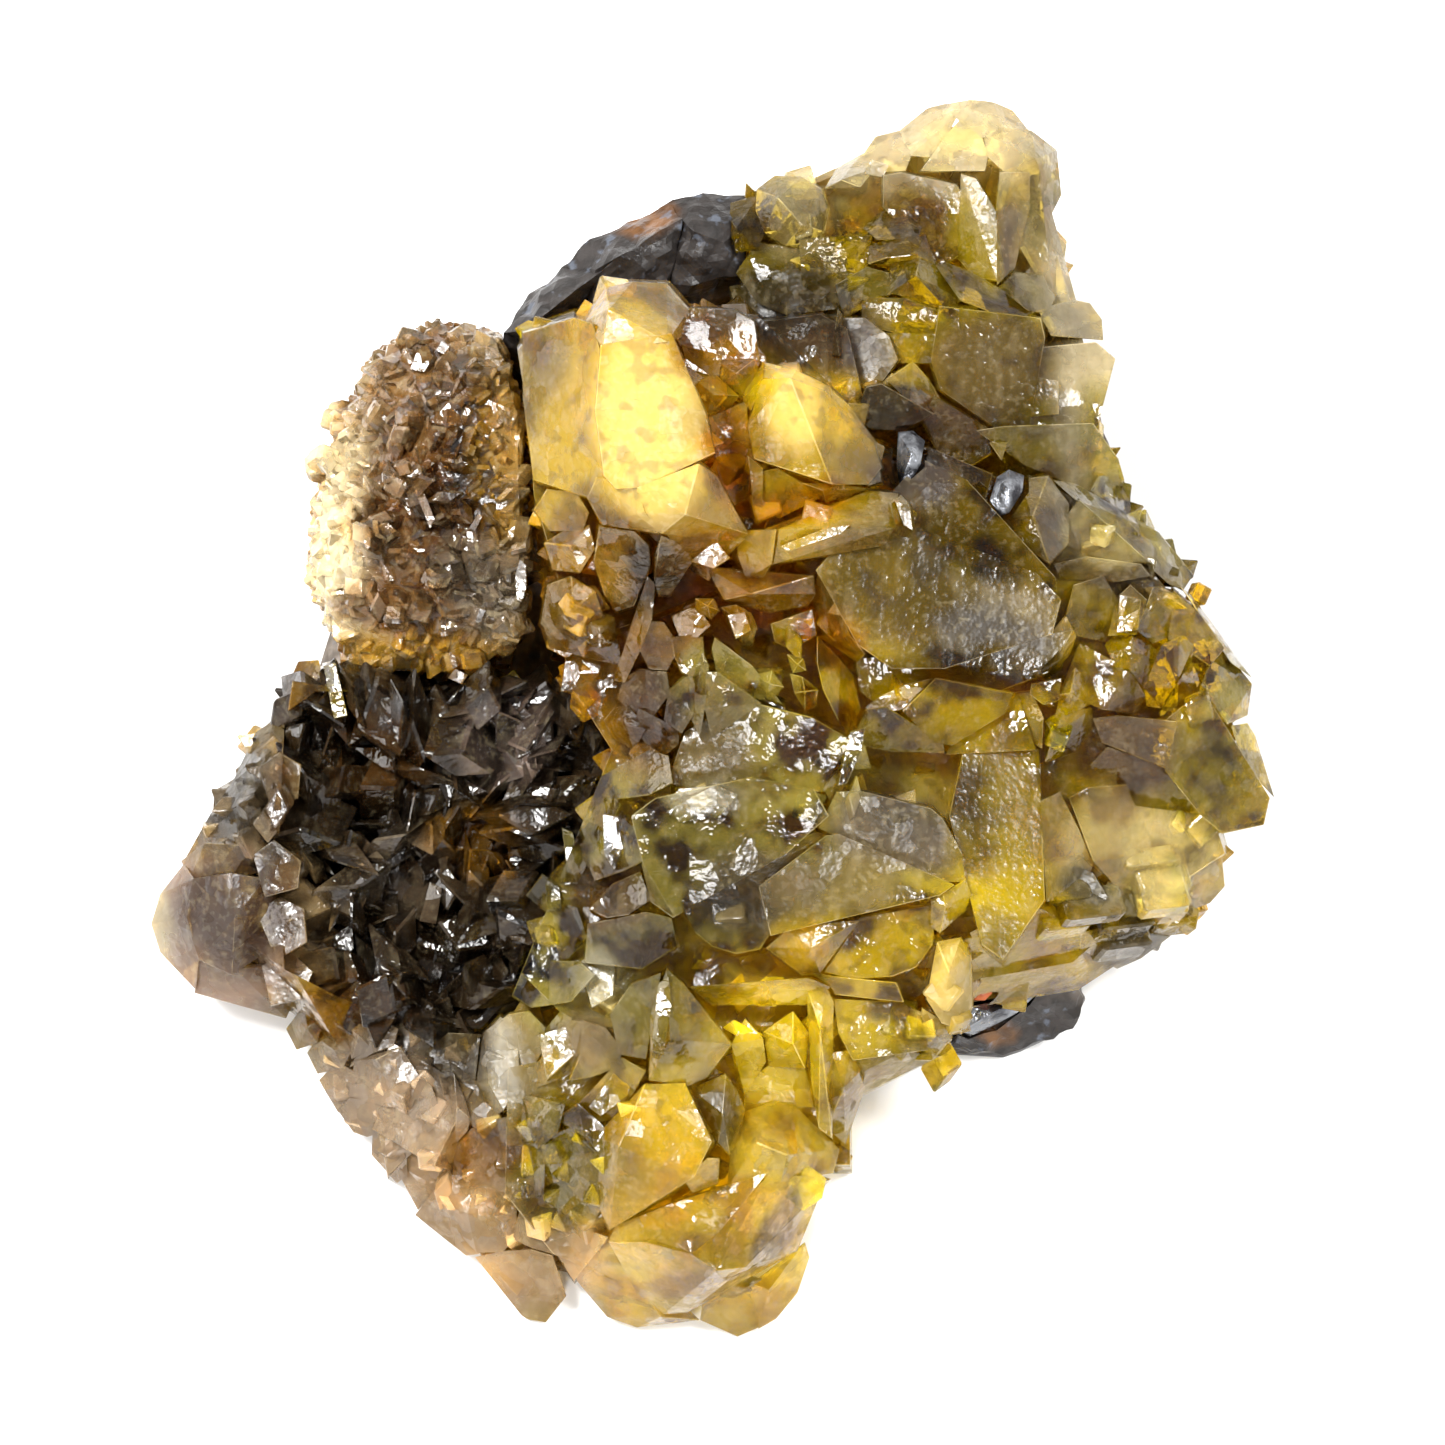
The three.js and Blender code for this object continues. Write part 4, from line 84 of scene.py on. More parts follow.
MM = 0.001
SIGHT_DISTANCE = 300.0
FACE_LEAN = math.radians(70)
FACE_CENTRE = Vector((0.12, -4.58, 25.0))
FACE_RIGHT = Vector((1.0, 0.0, 0.0))
FACE_UP = Vector((0.0, math.sin(FACE_LEAN), math.cos(FACE_LEAN)))
FACE_OUT = Vector((0.0, -math.cos(FACE_LEAN), math.sin(FACE_LEAN)))
ROOT_FLARE = 1.12


def on_face(x: float, y: float, w: float) -> Vector:
    """Gives the point, in mm of the shared frame, of a place on the crystal face.

    Args:
        x: place to the right.
        y: place up the face.
        w: height towards the eye.

    Returns:
        The point in the shared frame.
    """
    near = 1 - w / SIGHT_DISTANCE
    return FACE_CENTRE + FACE_RIGHT * (x * near) + FACE_UP * (y * near) + FACE_OUT * w


def face_places(points: np.ndarray) -> np.ndarray:
    """Gives the places x, y, w on the crystal face of points in metres.

    Args:
        points: rows of x, y, z in metres.

    Returns:
        Rows of x, y, w in mm.
    """
    offset = points / MM - np.array(FACE_CENTRE)
    height = offset @ np.array(FACE_OUT)
    near = 1 - height / SIGHT_DISTANCE
    return np.stack([offset @ np.array(FACE_RIGHT) / near, offset @ np.array(FACE_UP) / near, height], axis=1)


# Small crystals that stand on the large ones

def rooted(corners: Sequence[Sequence[float]], root: float, flare: float) -> list[Vector]:
    """Gives the corners of a crystal and the same corners carried down to its root.

    Args:
        corners: places x, y, w of the crystal's corners.
        root: height on the face of its root.
        flare: how much wider it is at the root.

    Returns:
        The points of the crystal, in mm.
    """
    mid_x, mid_y, top = (sum(axis) / len(corners) for axis in zip(*corners))
    widening = flare * (SIGHT_DISTANCE - root) / (SIGHT_DISTANCE - top)
    meeting = on_face(mid_x, mid_y, top + (top - root) / (widening - 1))
    points = [on_face(*corner) for corner in corners]
    summit = (meeting - FACE_CENTRE).dot(FACE_OUT)
    for point in list(points):
        share = (summit - root) / (summit - (point - FACE_CENTRE).dot(FACE_OUT))
        points.append(meeting + (point - meeting) * share)
    return points


@dataclass(frozen=True)
class Tile:
    """A crystal with one flat sloping face."""

    outline: tuple[float, ...]
    height: float
    slope: tuple[float, float]
    root: float
    flare: float = ROOT_FLARE

    def points(self) -> list[Vector]:
        """Gives the points of the crystal, in mm."""
        pairs = list(zip(self.outline[::2], self.outline[1::2]))
        near = 1 - self.height / SIGHT_DISTANCE
        mid_x, mid_y = (sum(axis) / len(pairs) * near for axis in zip(*pairs))
        across, up = self.slope
        corners = []
        for x, y in pairs:
            rise = self.height + across * (x - mid_x) + up * (y - mid_y)
            corners.append((x, y, rise / (1 + (across * x + up * y) / SIGHT_DISTANCE)))
        return rooted(corners, self.root, self.flare)


@dataclass(frozen=True)
class Gem:
    """A crystal given by its corners."""

    corners: tuple[float, ...]
    root: float
    flare: float = ROOT_FLARE

    def points(self) -> list[Vector]:
        """Gives the points of the crystal, in mm."""
        return rooted(list(zip(self.corners[::3], self.corners[1::3], self.corners[2::3])), self.root, self.flare)


SMALL_CRYSTALS: tuple[Tile | Gem, ...] = (
    Tile((-2, 24.6, 0.7, 23.9, 0.4, 22.2, -0.8, 21.4, -1.5, 22.4), 2.4, (0.1, 0.45), -10),
    Gem((-1.3, 22.4, 2.2, 0.3, 22.6, 2.4, 1.8, 21.2, 2, 0.9, 20, 0.9, -0.5, 19.4, 0.8, 0.1, 21.3, 3.2),
         -10),
    Gem((2.1, 20.8, 1.8, 2.1, 21.6, 1.6, 3.5, 23.5, 1.8, 3.4, 22.2, 3.5, 2.6, 20.2, 3.5), -10),
    Gem((6, 15.4, 2.6, 8.6, 15.3, 2.8, 10.6, 15, 1.4, 7.6, 14.1, 1.2, 7.4, 14.9, 3), -10),
    Gem((2.4, 17.2, 3.2, 3.4, 16.4, 3, 3.4, 13.8, 1.8, 2.8, 13.5, 1.6, 2.6, 15.4, 2.8), -8),
    Gem((11.8, 14.1, 3.7, 12.6, 14.6, 1.8, 13.3, 13.9, 1.4, 13.6, 12.3, 1.2, 13.2, 11.8, 1.4, 12.2, 11.9,
         3.2, 12.2, 12.6, 4, 12.9, 13, 3), -8),
    Tile((10.2, 0.4, 11.2, 1.2, 13, 2, 14.8, 2.4, 12.7, 0.3, 11.6, 0.1), -1.6, (0.34, -0.25), -10),
    Tile((20.2, 1.4, 21.3, 1.5, 22.1, -0.2, 22, -2.3, 21.1, -1.8), -1.9, (0.5, 0), -10),
    Tile((21.3, 2, 23.3, 2.4, 23.1, 0.9, 22.1, 0.6, 21.2, 1.3), -1.5, (-0.2, -0.3), -10),
    Gem((26.2, 4.6, -4, 26.9, 5.4, -4.4, 28.1, 5.2, -4, 29.3, 4.5, -4.6, 29.9, 4.1, -5.2, 28.9, 1.6, -4.8,
         27.8, 3, -3.2, 26.9, 3.1, -3), -12),
    Gem((30, 0.3, -5.4, 31.1, 2.2, -4.8, 32, 3.5, -6, 32.6, 2, -6.6, 32.1, 0.7, -6.6, 31, 0.1, -5.8), -13),
    Tile((26.4, 5.2, 27, 7.8, 27.9, 8.6, 29, 7.6, 28.3, 5.3), -4.2, (-0.1, -0.55), -12),
    Tile((28.3, 5.6, 29.4, 8.4, 31, 8, 30.6, 5.2, 29.4, 4.7), -5, (-0.6, 0.1), -12),
    Tile((22.8, 10, 25, 10.5, 28.6, 10, 29.2, 9.2, 27, 8.8, 24.4, 9.1, 23.2, 9), -4.6, (0, 0.5), -12),
    Gem((19.1, 28.4, -11.6, 20.2, 29.5, -12.6, 22.1, 29.2, -12.8, 22.9, 27.8, -12.8, 22.4, 26.7, -11.8, 21,
         26.9, -10.6, 20.2, 27.6, -10.4), -18),
    Gem((10.1, 32.4, -12.6, 11.3, 33.5, -13, 12.9, 33.4, -12.6, 14, 32.5, -12, 13.7, 31.7, -11, 11, 31.6,
         -11.2), -20),
    Gem((10.4, 30, -11.6, 10.5, 31.3, -11.6, 13, 31.8, -11, 14.2, 32, -11.2, 14.9, 30, -10.8, 13.6, 30.6,
         -10.2, 11.6, 30.4, -10.6), -20),
    Gem((8.2, 28.6, -12, 10.3, 29.8, -11.4, 11.8, 29.4, -11.2, 12, 28, -10.6, 10, 27.6, -10.4, 8.8, 26.4,
         -11.4), -18),
    Tile((21.4, 22.5, 23.1, 22.2, 23.1, 20, 21.3, 19.8), -9.4, (-0.1, 0), -14),
    Gem((8, 23.9, -7, 8.4, 27, -8.8, 8.7, 26.6, -8.6, 8.5, 23.9, -6.8, 8.2, 25.6, -6.4), -14),
    Tile((11.6, 25.4, 15.2, 25.3, 14.7, 23.4, 13.3, 23.5, 12.2, 23.4), -9.2, (0.3, 0.3), -16),
    Tile((18.5, 18.1, 19.7, 18.1, 19.3, 16.9), -5.4, (-0.5, -0.4), -12),
    Gem((-11.2, 11.4, -1.6, -9.6, 12.4, -0.6, -8.2, 12.6, 0.8, -7.8, 11, 1.2, -8.8, 9.4, 0, -10.6, 9.6,
         -1.6, -9.4, 11.2, 0.6), -12),
    Gem((-11.9, 13.6, -2.2, -11, 15, -1, -9, 14.8, 0.6, -8.2, 13.4, 1.2, -8.6, 12.2, 0.6, -10.8, 12.2,
         -1.6), -12),
    Gem((-8.4, 5.9, -0.2, -6.9, 5.9, 0.2, -6.8, 5, 0.2, -7.5, 4.5, -0.4, -8, 5, 0.2), -10),
    Tile((-4.9, 4.4, -4.2, 6.2, -3.2, 6.1, -2.6, 5.2, -2.5, 3.8, -3, 2.9, -4.2, 3), 0.8, (0.2, 0.5), -8),
    Tile((-2.7, 5.1, -1.5, 5.3, -0.6, 5.1, -0.5, 3.6, -1.2, 2.5, -2, 2.7, -2.5, 3.8), 1.4, (-0.3, 0.2),
         -8),
    Tile((-4.9, 0.4, -3.2, -0.5, -2.2, -1, -2.2, -2, -3, -2.7, -4, -2.3, -5.2, -1.2), -1, (0.5, 0.5), -10),
    Gem((-7.2, -0.4, -3.8, -6.5, 0.4, -2.8, -5.6, 0.6, -1.8, -4.4, -1, -1, -5.2, -2.4, -2.4, -6.8, -1.5,
         -4, -5.8, -0.6, -1.2), -12),
    Gem((-3.2, -0.4, -0.2, -2.9, 1.6, 0.2, -2, 2.5, 0.4, -1.4, 2.7, 1, -1, 1.6, 1.2, -1.2, 0, 1.2, -2,
         -1.3, 0.6, -2.7, -0.8, 0), -8),
    Gem((-1.6, 2.8, 0.6, -0.7, 4.3, 1, -0.2, 3.2, 2, -0.4, 0.8, 1.8, -0.8, -1.5, 0.8, -1.6, 0, 0.8), -8),
    Tile((0, 4.3, 0.2, 5.1, 1.4, 3.9, 2.7, 3.2, 3.6, 2.1, 4.8, 0.5, 3, 1, 1.2, 2, 0.3, 2.8), 0.9, (0.1,
         0.6), -8),
    Gem((0.6, 7.1, 1, 1.6, 7.3, 1.6, 2.6, 6.7, 1.6, 3, 5.8, 1.2, 2.7, 4.6, 0.6, 2, 4.6, 0.4, 1.3, 5.6, 0.6,
         1.9, 6.2, 2.6), -8),
    Gem((-1.1, 7.7, 1.4, 0.1, 7.7, 1.8, 0.5, 6.9, 1.6, -0.1, 6.3, 1.2, -1.1, 6.9, 1.4, -0.3, 7.2, 2.4),
         -8),
    Tile((-2.7, 6.5, -1.4, 7.1, -0.8, 6.9, -0.1, 5.9, -1, 5.1, -2.2, 5.2), 1.2, (0.2, -0.4), -8),
    Tile((3.9, 6, 5.8, 6.4, 6.7, 7, 7, 5.3, 5.4, 4.3, 4.2, 4.8), -1.2, (0.1, 0.4), -8),
    Gem((5.2, 2.7, 0, 6, 2.5, 0.6, 7.1, 1.6, 0.2, 6.9, 0.5, -0.2, 6.2, 0.2, 0, 5.5, 1.4, 0.4, 6.2, 1.5,
         1.2), -8),
    Gem((2.9, 2.6, 0.6, 4, 2.9, 0.8, 4.8, 1.8, 0.4, 3.8, 0.9, 0.4, 3.8, 2, 1.4), -8),
    Gem((5, 4, 0, 6.1, 3.7, 0.2, 6.3, 2.9, 0, 5.4, 2.7, 0, 5.7, 3.3, 0.8), -8),
    Gem((9, -2.1, 1, 10, -2.3, 0.6, 9.4, -3.7, 0.2, 8.7, -5.2, -0.2, 7.9, -5.8, 0, 7.4, -5, 0.8, 8.6, -3.4,
         1.6), -8),
    Gem((14.6, -12.4, 0.4, 15.4, -12, 0.6, 16.9, -11, -0.4, 17.3, -12, -1, 16.9, -13.1, -1.2, 15.2, -14.6,
         -0.8, 14.6, -14.2, -0.4, 15.6, -12.8, 0.8), -8),
    Tile((-11.3, -10.7, -10.2, -11.4, -9.9, -12.4, -10.7, -13.5, -12.4, -12.1), -6.2, (0.7, 0.5), -15),
    Tile((-8.2, -13, -6.6, -11.3, -4.8, -10.5, -4.1, -12.4, -5.6, -13.4, -7, -13.6), -1.4, (0.5, -0.2),
         -12),
    Gem((-15.8, -24.6, -8.6, -14.4, -24.2, -7.6, -12.4, -24.6, -6.2, -13, -25.8, -6.6, -14.3, -26.7, -7.8),
         -14),
    Gem((-11.6, -21.6, -6.2, -10.1, -19.8, -4.8, -9.3, -20.3, -4, -10.3, -22.7, -4.8, -11.1, -23.1, -5.6),
         -13),
    Gem((1.3, -22, -2.4, 2.2, -20.3, -2.6, 3.4, -21.6, -2.2, 3.6, -23.2, -3.2, 2.2, -25.4, -4.4, 1.6,
         -24.4, -4.4), -10),
    Gem((7.5, -17.4, -0.8, 9.8, -17.7, -1, 12.3, -17.9, -1.4, 12.8, -19.2, -2, 10.6, -19, -1.8, 8.2, -18.7,
         -1.4), -9),
    Gem((14, -19.6, -2.6, 15.9, -20.8, -4, 15.9, -21.7, -4.6, 15, -22.8, -5.2, 13.4, -23, -5, 14, -21.4,
         -2.8), -12),
    Gem((-0.3, -29.6, 0.4, 0.5, -29.6, 0, 0.4, -31.3, -1.2, -1.3, -31.9, -1.2, -1.9, -31, 0), -9),
    Gem((-10.4, -27, -4.2, -8.9, -26, -3.4, -7.4, -27.3, -2.6, -6.3, -28.6, -2, -7.2, -29.6, -2.4, -8.5,
         -28.2, -2.6), -9),
    Gem((-13.3, -35, -8.6, -12.7, -32.7, -7.8, -11.6, -33, -7.2, -10.9, -34.5, -7.2, -10.6, -36, -8, -12,
         -35.6, -8), -12),
    Gem((-25, -20.3, -12, -23.4, -20.1, -11.6, -22.4, -21, -11.4, -22.6, -22.4, -11.2, -24, -23, -11.6,
         -23.6, -21.4, -10.6), -15),
    Gem((-24.2, -23.6, -12.2, -22.6, -22.6, -11, -21.2, -22.1, -10.8, -20.9, -21, -11.2, -22.2, -20.2,
         -11.8, -22.8, -21.4, -10.8), -15),
    Gem((-26.4, -20.9, -12.2, -25.5, -19.7, -12, -24.7, -19.9, -11.8, -24.1, -21.3, -11.6, -25.2, -21.6,
         -11.8, -25.1, -20.6, -10.4), -15),
    Gem((-27.1, -18.7, -13, -25.8, -18.2, -12.6, -25, -19.2, -12, -25.8, -20.1, -12, -26.7, -19.7, -12.6,
         -26, -19.1, -11.2), -15),
    Gem((-26.2, -24.4, -13.8, -25, -23.2, -12.4, -23.7, -23.9, -11.8, -23.9, -25.4, -12.2, -24.9, -26.6,
         -13.4, -25.7, -25.3, -13.8), -15.4, 0.92),
    Gem((-17.6, -23, -10.2, -16.6, -24.6, -9, -15.3, -24.8, -8.8, -14.1, -26.8, -7.8, -13.9, -28.2, -7.8,
         -15.6, -28, -8.8, -16.3, -27, -8.8), -13),
    Tile((22.6, -10.8, 24.4, -10.2, 25.4, -10.6, 26.4, -12.2, 25.8, -13.2, 24, -12.6, 22.8, -11.8), -3.6,
         (-0.1, -0.1), -12),
    Gem((-8.3, 14.4, 4.6, -7.7, 15.8, 5.6, -5, 15.3, 7.6, -4.5, 13.5, 7.6, -3.5, 12, 6.4, -5.2, 12.3, 5.8,
         -7.3, 12.6, 4.8), -8),
    Gem((-3.3, 12.3, 6, -0.6, 12.6, 5.6, 1.6, 12.4, 4.8, 2.2, 11.7, 3.8, 1, 10.5, 2.4, -0.5, 9.7, 2, -1.5,
         10, 2.2, -1.7, 11.2, 4), -8),
    Gem((22.2, -0.4, -2.6, 23.4, 0.2, -2.2, 25.4, 0.4, -3.4, 25.4, -1, -4.2, 24.2, -2.6, -4.2, 22.2, -3.2,
         -3, 22.8, -1.4, -1.8), -11),
    Gem((28.8, 1.8, -5, 30, 4.6, -4.2, 31.2, 5.2, -4.6, 32.1, 4.6, -5.6, 32, 3.4, -6.2, 31, 2, -5, 29.9,
         0.4, -5.6, 29, 0.5, -5.8), -13),
    Tile((24.1, 8.6, 26.1, 9.2, 27.2, 7.4, 26.2, 4.8, 24.3, 5.2, 23.6, 6.6), -3.8, (-0.3, 0.2), -12),
    Tile((30.4, 5, 30.8, 8.2, 32.6, 6.6, 34.2, 4.4, 33.2, 3.2, 31.8, 4.8), -6.2, (-0.5, -0.1), -14),
    Tile((24.5, 14.3, 26, 12.9, 28.1, 11, 29.2, 10.1, 27.4, 10.1, 25, 10.6, 23.8, 11.2, 23.6, 13.2), -4.9,
         (-0.12, 0.35), -12),
    Tile((13.9, 36.2, 15, 37.4, 15.7, 38.7, 16.6, 39.7, 18, 38.5, 18.4, 37.2, 18.2, 36.2), -13, (0.1,
         -0.3), -22),
    Tile((-5.9, 2.4, -4.8, 3, -3, 2.8, -2.8, 1.4, -3.6, 0.4, -4.3, -0.8, -5, 0, -6.3, 1), -1, (0.6, 0.2),
         -10),
    Gem((7, 5.2, -1, 8.6, 3.6, -1.4, 9.4, 2.6, -2.4, 9.9, 0.4, -3.2, 9.4, -1.6, -2.8, 8.4, -0.4, -1.2, 7.4,
         1.6, -0.6, 7, 3.4, -0.4), -10),
    Gem((-8.5, -9.6, -3.6, -7, -8.1, -2, -6, -6.5, -0.8, -5, -7.6, 0.6, -4.5, -9.8, 0.6, -6, -10.5, -0.8,
         -7.8, -11.1, -2.8), -12),
    Gem((-8.7, -20.4, -3.6, -7.1, -20.9, -2.4, -5.9, -22.5, -1.4, -6.4, -23.6, -1.8, -8, -24.2, -2.8, -9.5,
         -24.4, -4, -8.8, -22.8, -3), -12),
    Gem((-8.9, -26, -4, -7.4, -24.8, -2.6, -6, -22.9, -1.4, -4.4, -23.8, -0.6, -5.2, -25.2, -1.4, -6.8,
         -27.1, -3, -8.1, -27.3, -4), -12),
    Gem((3.4, -21.2, -2.6, 5.4, -19.8, -2, 6.5, -21.3, -2, 6.2, -23.6, -2.8, 3.8, -23.5, -3.6, 5.4, -22,
         -1.2), -10),
    Tile((2.2, -24.6, 3.8, -23.4, 6.2, -23.6, 6.8, -26.2, 4.6, -26.2, 2.2, -26.4), -4.2, (0.1, 0.4), -10),
    Gem((9.4, -22.6, -3, 12.8, -22.5, -3.4, 15.2, -22.8, -5.4, 13.4, -23.3, -6.4, 11.4, -24.2, -6.4, 10,
         -25.4, -6, 10.2, -23.8, -3.6), -11),
    Gem((0.2, -24.3, -2.6, 0.9, -24, -1.2, 1.7, -25.2, -2.4, 2.2, -26.4, -3.4, 1.9, -28.2, -3.4, 1.2,
         -29.4, -3, 0.4, -28.6, -2.2, -0.3, -27.3, -2.2, -1.1, -26, -2.4, -1.4, -25, -2.2, 0.7, -26.6,
         -0.8), -9),
    Gem((-13.2, -26.8, -6.6, -12.6, -25.4, -5.8, -11.4, -25.6, -5, -9.8, -26, -4, -10.3, -28, -3.6, -11.6,
         -29, -4.4, -12.8, -28.4, -6), -11),
    Gem((-19.8, -33.4, -12, -18.8, -32.1, -11, -16.6, -32.9, -9, -15.6, -34.4, -9, -15.5, -36, -9.8, -16.4,
         -36.1, -11, -17.8, -35, -12, -19, -34, -12.4), -13.4, 0.9),
    Gem((-20.9, -26.4, -10.6, -20.2, -25.8, -9.8, -19.4, -24.2, -9.4, -18.7, -24.8, -9, -17.9, -27, -9.2,
         -17.9, -28.2, -9.8, -19.6, -29.6, -11, -20.7, -28.4, -10.8), -14),
)

LAMP_LEFT = Vector((-150.0, 130.0, 300.0))


def glint(outline: tuple[float, ...], height: float, depth: float) -> Tile:
    """Gives a crystal whose face sends the light of the left window to the eye.

    Args:
        outline: places x, y of the face's corners in turn.
        height: height of the face's middle.
        depth: how far down it is rooted.

    Returns:
        The crystal.
    """
    middle = Vector((sum(outline[::2]), sum(outline[1::2]), 0.0)) * (2 / len(outline))
    middle.z = height
    eye = Vector((0.0, 0.0, SIGHT_DISTANCE))
    normal = (LAMP_LEFT - middle).normalized() + (eye - middle).normalized()
    return Tile(outline, height, (-normal.x / normal.z, -normal.y / normal.z), height - depth)


GLINTS = (
    glint((-25.9, 3.2, -25.1, 3.4, -24.3, -0.1, -25.2, -0.3), -10.2, 5),
    glint((-1.4, 10.2, 0.2, 11.6, 1.2, 10.4, 0.1, 9.7), 4.0, 8),
    glint((4.6, 11.2, 7.6, 12.4, 9.2, 12.6, 8.6, 12, 5, 10.8), 4.8, 8),
    glint((12.2, 14.2, 13.2, 13.8, 13.4, 12.2, 12.8, 12.6), 3.6, 6),
    glint((27, 5.4, 27.2, 8, 28.6, 7.6, 28.4, 5.6), -3.2, 6),
    glint((10.2, 36, 10.6, 37, 11.8, 36.6, 11.4, 35.8), -13.2, 6),
    glint((-11.1, -11, -10.2, -11.6, -10, -13.2, -11, -13), -5.2, 6),
    glint((-11.6, -21.4, -9.4, -20.8, -9, -22.6, -11, -24.4), -4.0, 6),
    glint((-8.2, -26.2, -6.6, -24, -5.2, -23.6, -5.6, -25.4, -7.4, -26.8), -1.6, 6),
    glint((9.2, -1.2, 10.2, -0.9, 10, -2.4, 9, -4.6, 8.4, -4.8), 1.7, 8),
    glint((-22.3, -27.6, -21.2, -27.2, -20.4, -29.6, -21.6, -30.8), -10.9, 4),
    glint((1, 6.6, 2.2, 6.8, 2.6, 5.6, 1.6, 5), 2.8, 6),
    glint((-10, -7.6, -9.3, -7.9, -8.9, -9.6, -9.7, -9.9), -7.7, 5),
    glint((-7.3, -6.7, -6.1, -6.9, -5.7, -8.2, -6.5, -10.4, -7.2, -9.4), -0.8, 5),
    glint((-8.8, -16.6, -7.4, -15.2, -6.4, -16, -6.6, -18.8, -8, -19.6), -4.7, 5),
    glint((-15.2, -21.4, -14.1, -20.2, -13, -20.9, -12.8, -24.8, -13.9, -26.4, -14.9, -24.6), -6.7, 5),
    glint((-4.1, -22.4, -3.6, -18, -2.9, -17.5, -2.7, -19.4, -3.2, -22.7), 1.7, 5),
    glint((-3.2, -6.4, -2.2, -5, 0.4, -4.8, 1.7, -5.4, 0.4, -6.9, -2.1, -7.2), 2.0, 6),
)
RIM_CRYSTALS = (
    Tile((-30.6, -9.4, -29.2, -8.4, -27.4, -9.8, -27.6, -11.6, -29.8, -12.2), -8.3, (0.2, -0.1), -14),
    Tile((-30.4, -13.2, -28.8, -12.2, -27.2, -13, -27, -15.2, -29, -16.4), -9, (0.3, -0.25), -15),
    Tile((-30, -16.8, -28.2, -15.8, -26.6, -17.2, -27.4, -19, -29.4, -19.4), -9.9, (0.1, -0.4), -15),
    Tile((-30.2, -3.6, -28.8, -2.6, -27.4, -3.4, -27.6, -5.6, -29.4, -6.2), -7.6, (0.2, 0.2), -13),
)
HOLLOW_GLINTS = (
    glint((-26.8, -17.2, -26.2, -15.4, -24, -14, -23.9, -15.6, -25.6, -17.4), -11.6, 5),
    glint((-19.5, -13.8, -18.8, -11.2, -18, -11.6, -18.4, -14), -12.2, 4),
    glint((-22.5, -7.4, -21.4, -6.2, -20.6, -8, -21.8, -8.8), -12.6, 4),
)
DRUSE_GLINTS = (
    glint((-19.9, 15.2, -19.5, 15.3, -19.0, 14.3, -18.5, 13.0, -18.8, 12.4, -19.3, 13.6), -6.2, 4),
    glint((-20.1, 23.0, -19.6, 24.3, -19.0, 24.6, -18.6, 23.8, -19.2, 22.8), -10.6, 4),
    glint((-18.4, 24.2, -18.0, 24.9, -17.5, 24.6, -17.6, 23.9), -11.0, 4),
    glint((-13.0, 7.6, -13.1, 9.3, -12.8, 10.3, -12.4, 9.9, -12.4, 8.4, -12.7, 7.5), -6.6, 5),
    glint((-16.5, 17.4, -16.1, 18.0, -15.7, 17.8, -15.9, 17.2), -6.4, 4),
    glint((-22.3, 11.2, -22.1, 12.0, -21.8, 11.4, -22.0, 10.4), -8.4, 4),
    glint((-16.2, 12.4, -15.6, 13.3, -15.3, 13.2, -15.8, 12.2), -6.0, 4),
    glint((-17.6, 2.4, -17.1, 3.0, -16.3, 2.6, -16.7, 2.0), -8.4, 4),
)

# Colour zones


class Tint(Enum):
    """Colours of the crystal, as red, green and blue of the screen, and how clear it is there."""

    GOLD = (0.98, 0.80, 0.16, 0.80)
    PALE_GOLD = (0.93, 0.79, 0.38, 0.50)
    BRIGHT = (1.00, 0.86, 0.08, 0.75)
    AMBER = (0.78, 0.54, 0.12, 0.88)
    ORANGE = (0.92, 0.63, 0.03, 0.88)
    OLIVE = (0.78, 0.68, 0.12, 0.92)
    DEEP_OLIVE = (0.58, 0.46, 0.04, 0.92)
    DARK_OLIVE = (0.28, 0.23, 0.08, 0.70)
    OLIVE_GOLD = (0.95, 0.79, 0.06, 0.92)
    LEMON = (1.00, 0.86, 0.26, 0.88)
    PALE_LEMON = (1.00, 0.90, 0.56, 0.84)
    CLEAR = (0.90, 0.82, 0.36, 0.95)
    CREAM = (0.97, 0.89, 0.70, 0.70)
    VEIL = (0.66, 0.56, 0.30, 0.74)
    PURPLE = (0.42, 0.36, 0.32, 0.66)
    GREY = (0.46, 0.40, 0.32, 0.82)
    SMOKE = (0.29, 0.23, 0.16, 0.88)
    BROWN = (0.58, 0.43, 0.25, 0.88)
    TAN = (0.72, 0.60, 0.40, 0.80)
    DARK_BROWN = (0.40, 0.27, 0.13, 0.88)
    PEACH = (0.92, 0.74, 0.50, 0.72)
    LILAC = (0.70, 0.60, 0.52, 0.72)
    ROSE = (0.78, 0.61, 0.48, 0.72)
    MAUVE = (0.42, 0.32, 0.27, 0.74)
    # Painted reflection: white that stands in for the window's glint on striated faces.
    WHITE = (0.97, 0.96, 0.92, 0.60)
    RUST = (0.50, 0.31, 0.04, 0.20)
    HONEY = (0.84, 0.64, 0.20, 0.87)
    SLATE = (0.25, 0.215, 0.20, 0.60)
    STONE = (0.50, 0.46, 0.42, 0.20)
    BLACK = (0.10, 0.09, 0.10, 0.20)

    def linear(self) -> np.ndarray:
        """Gives the colour in linear light, and its clearness."""
        *colour, clearness = self.value
        return np.array([channel ** 2.2 for channel in colour] + [clearness])


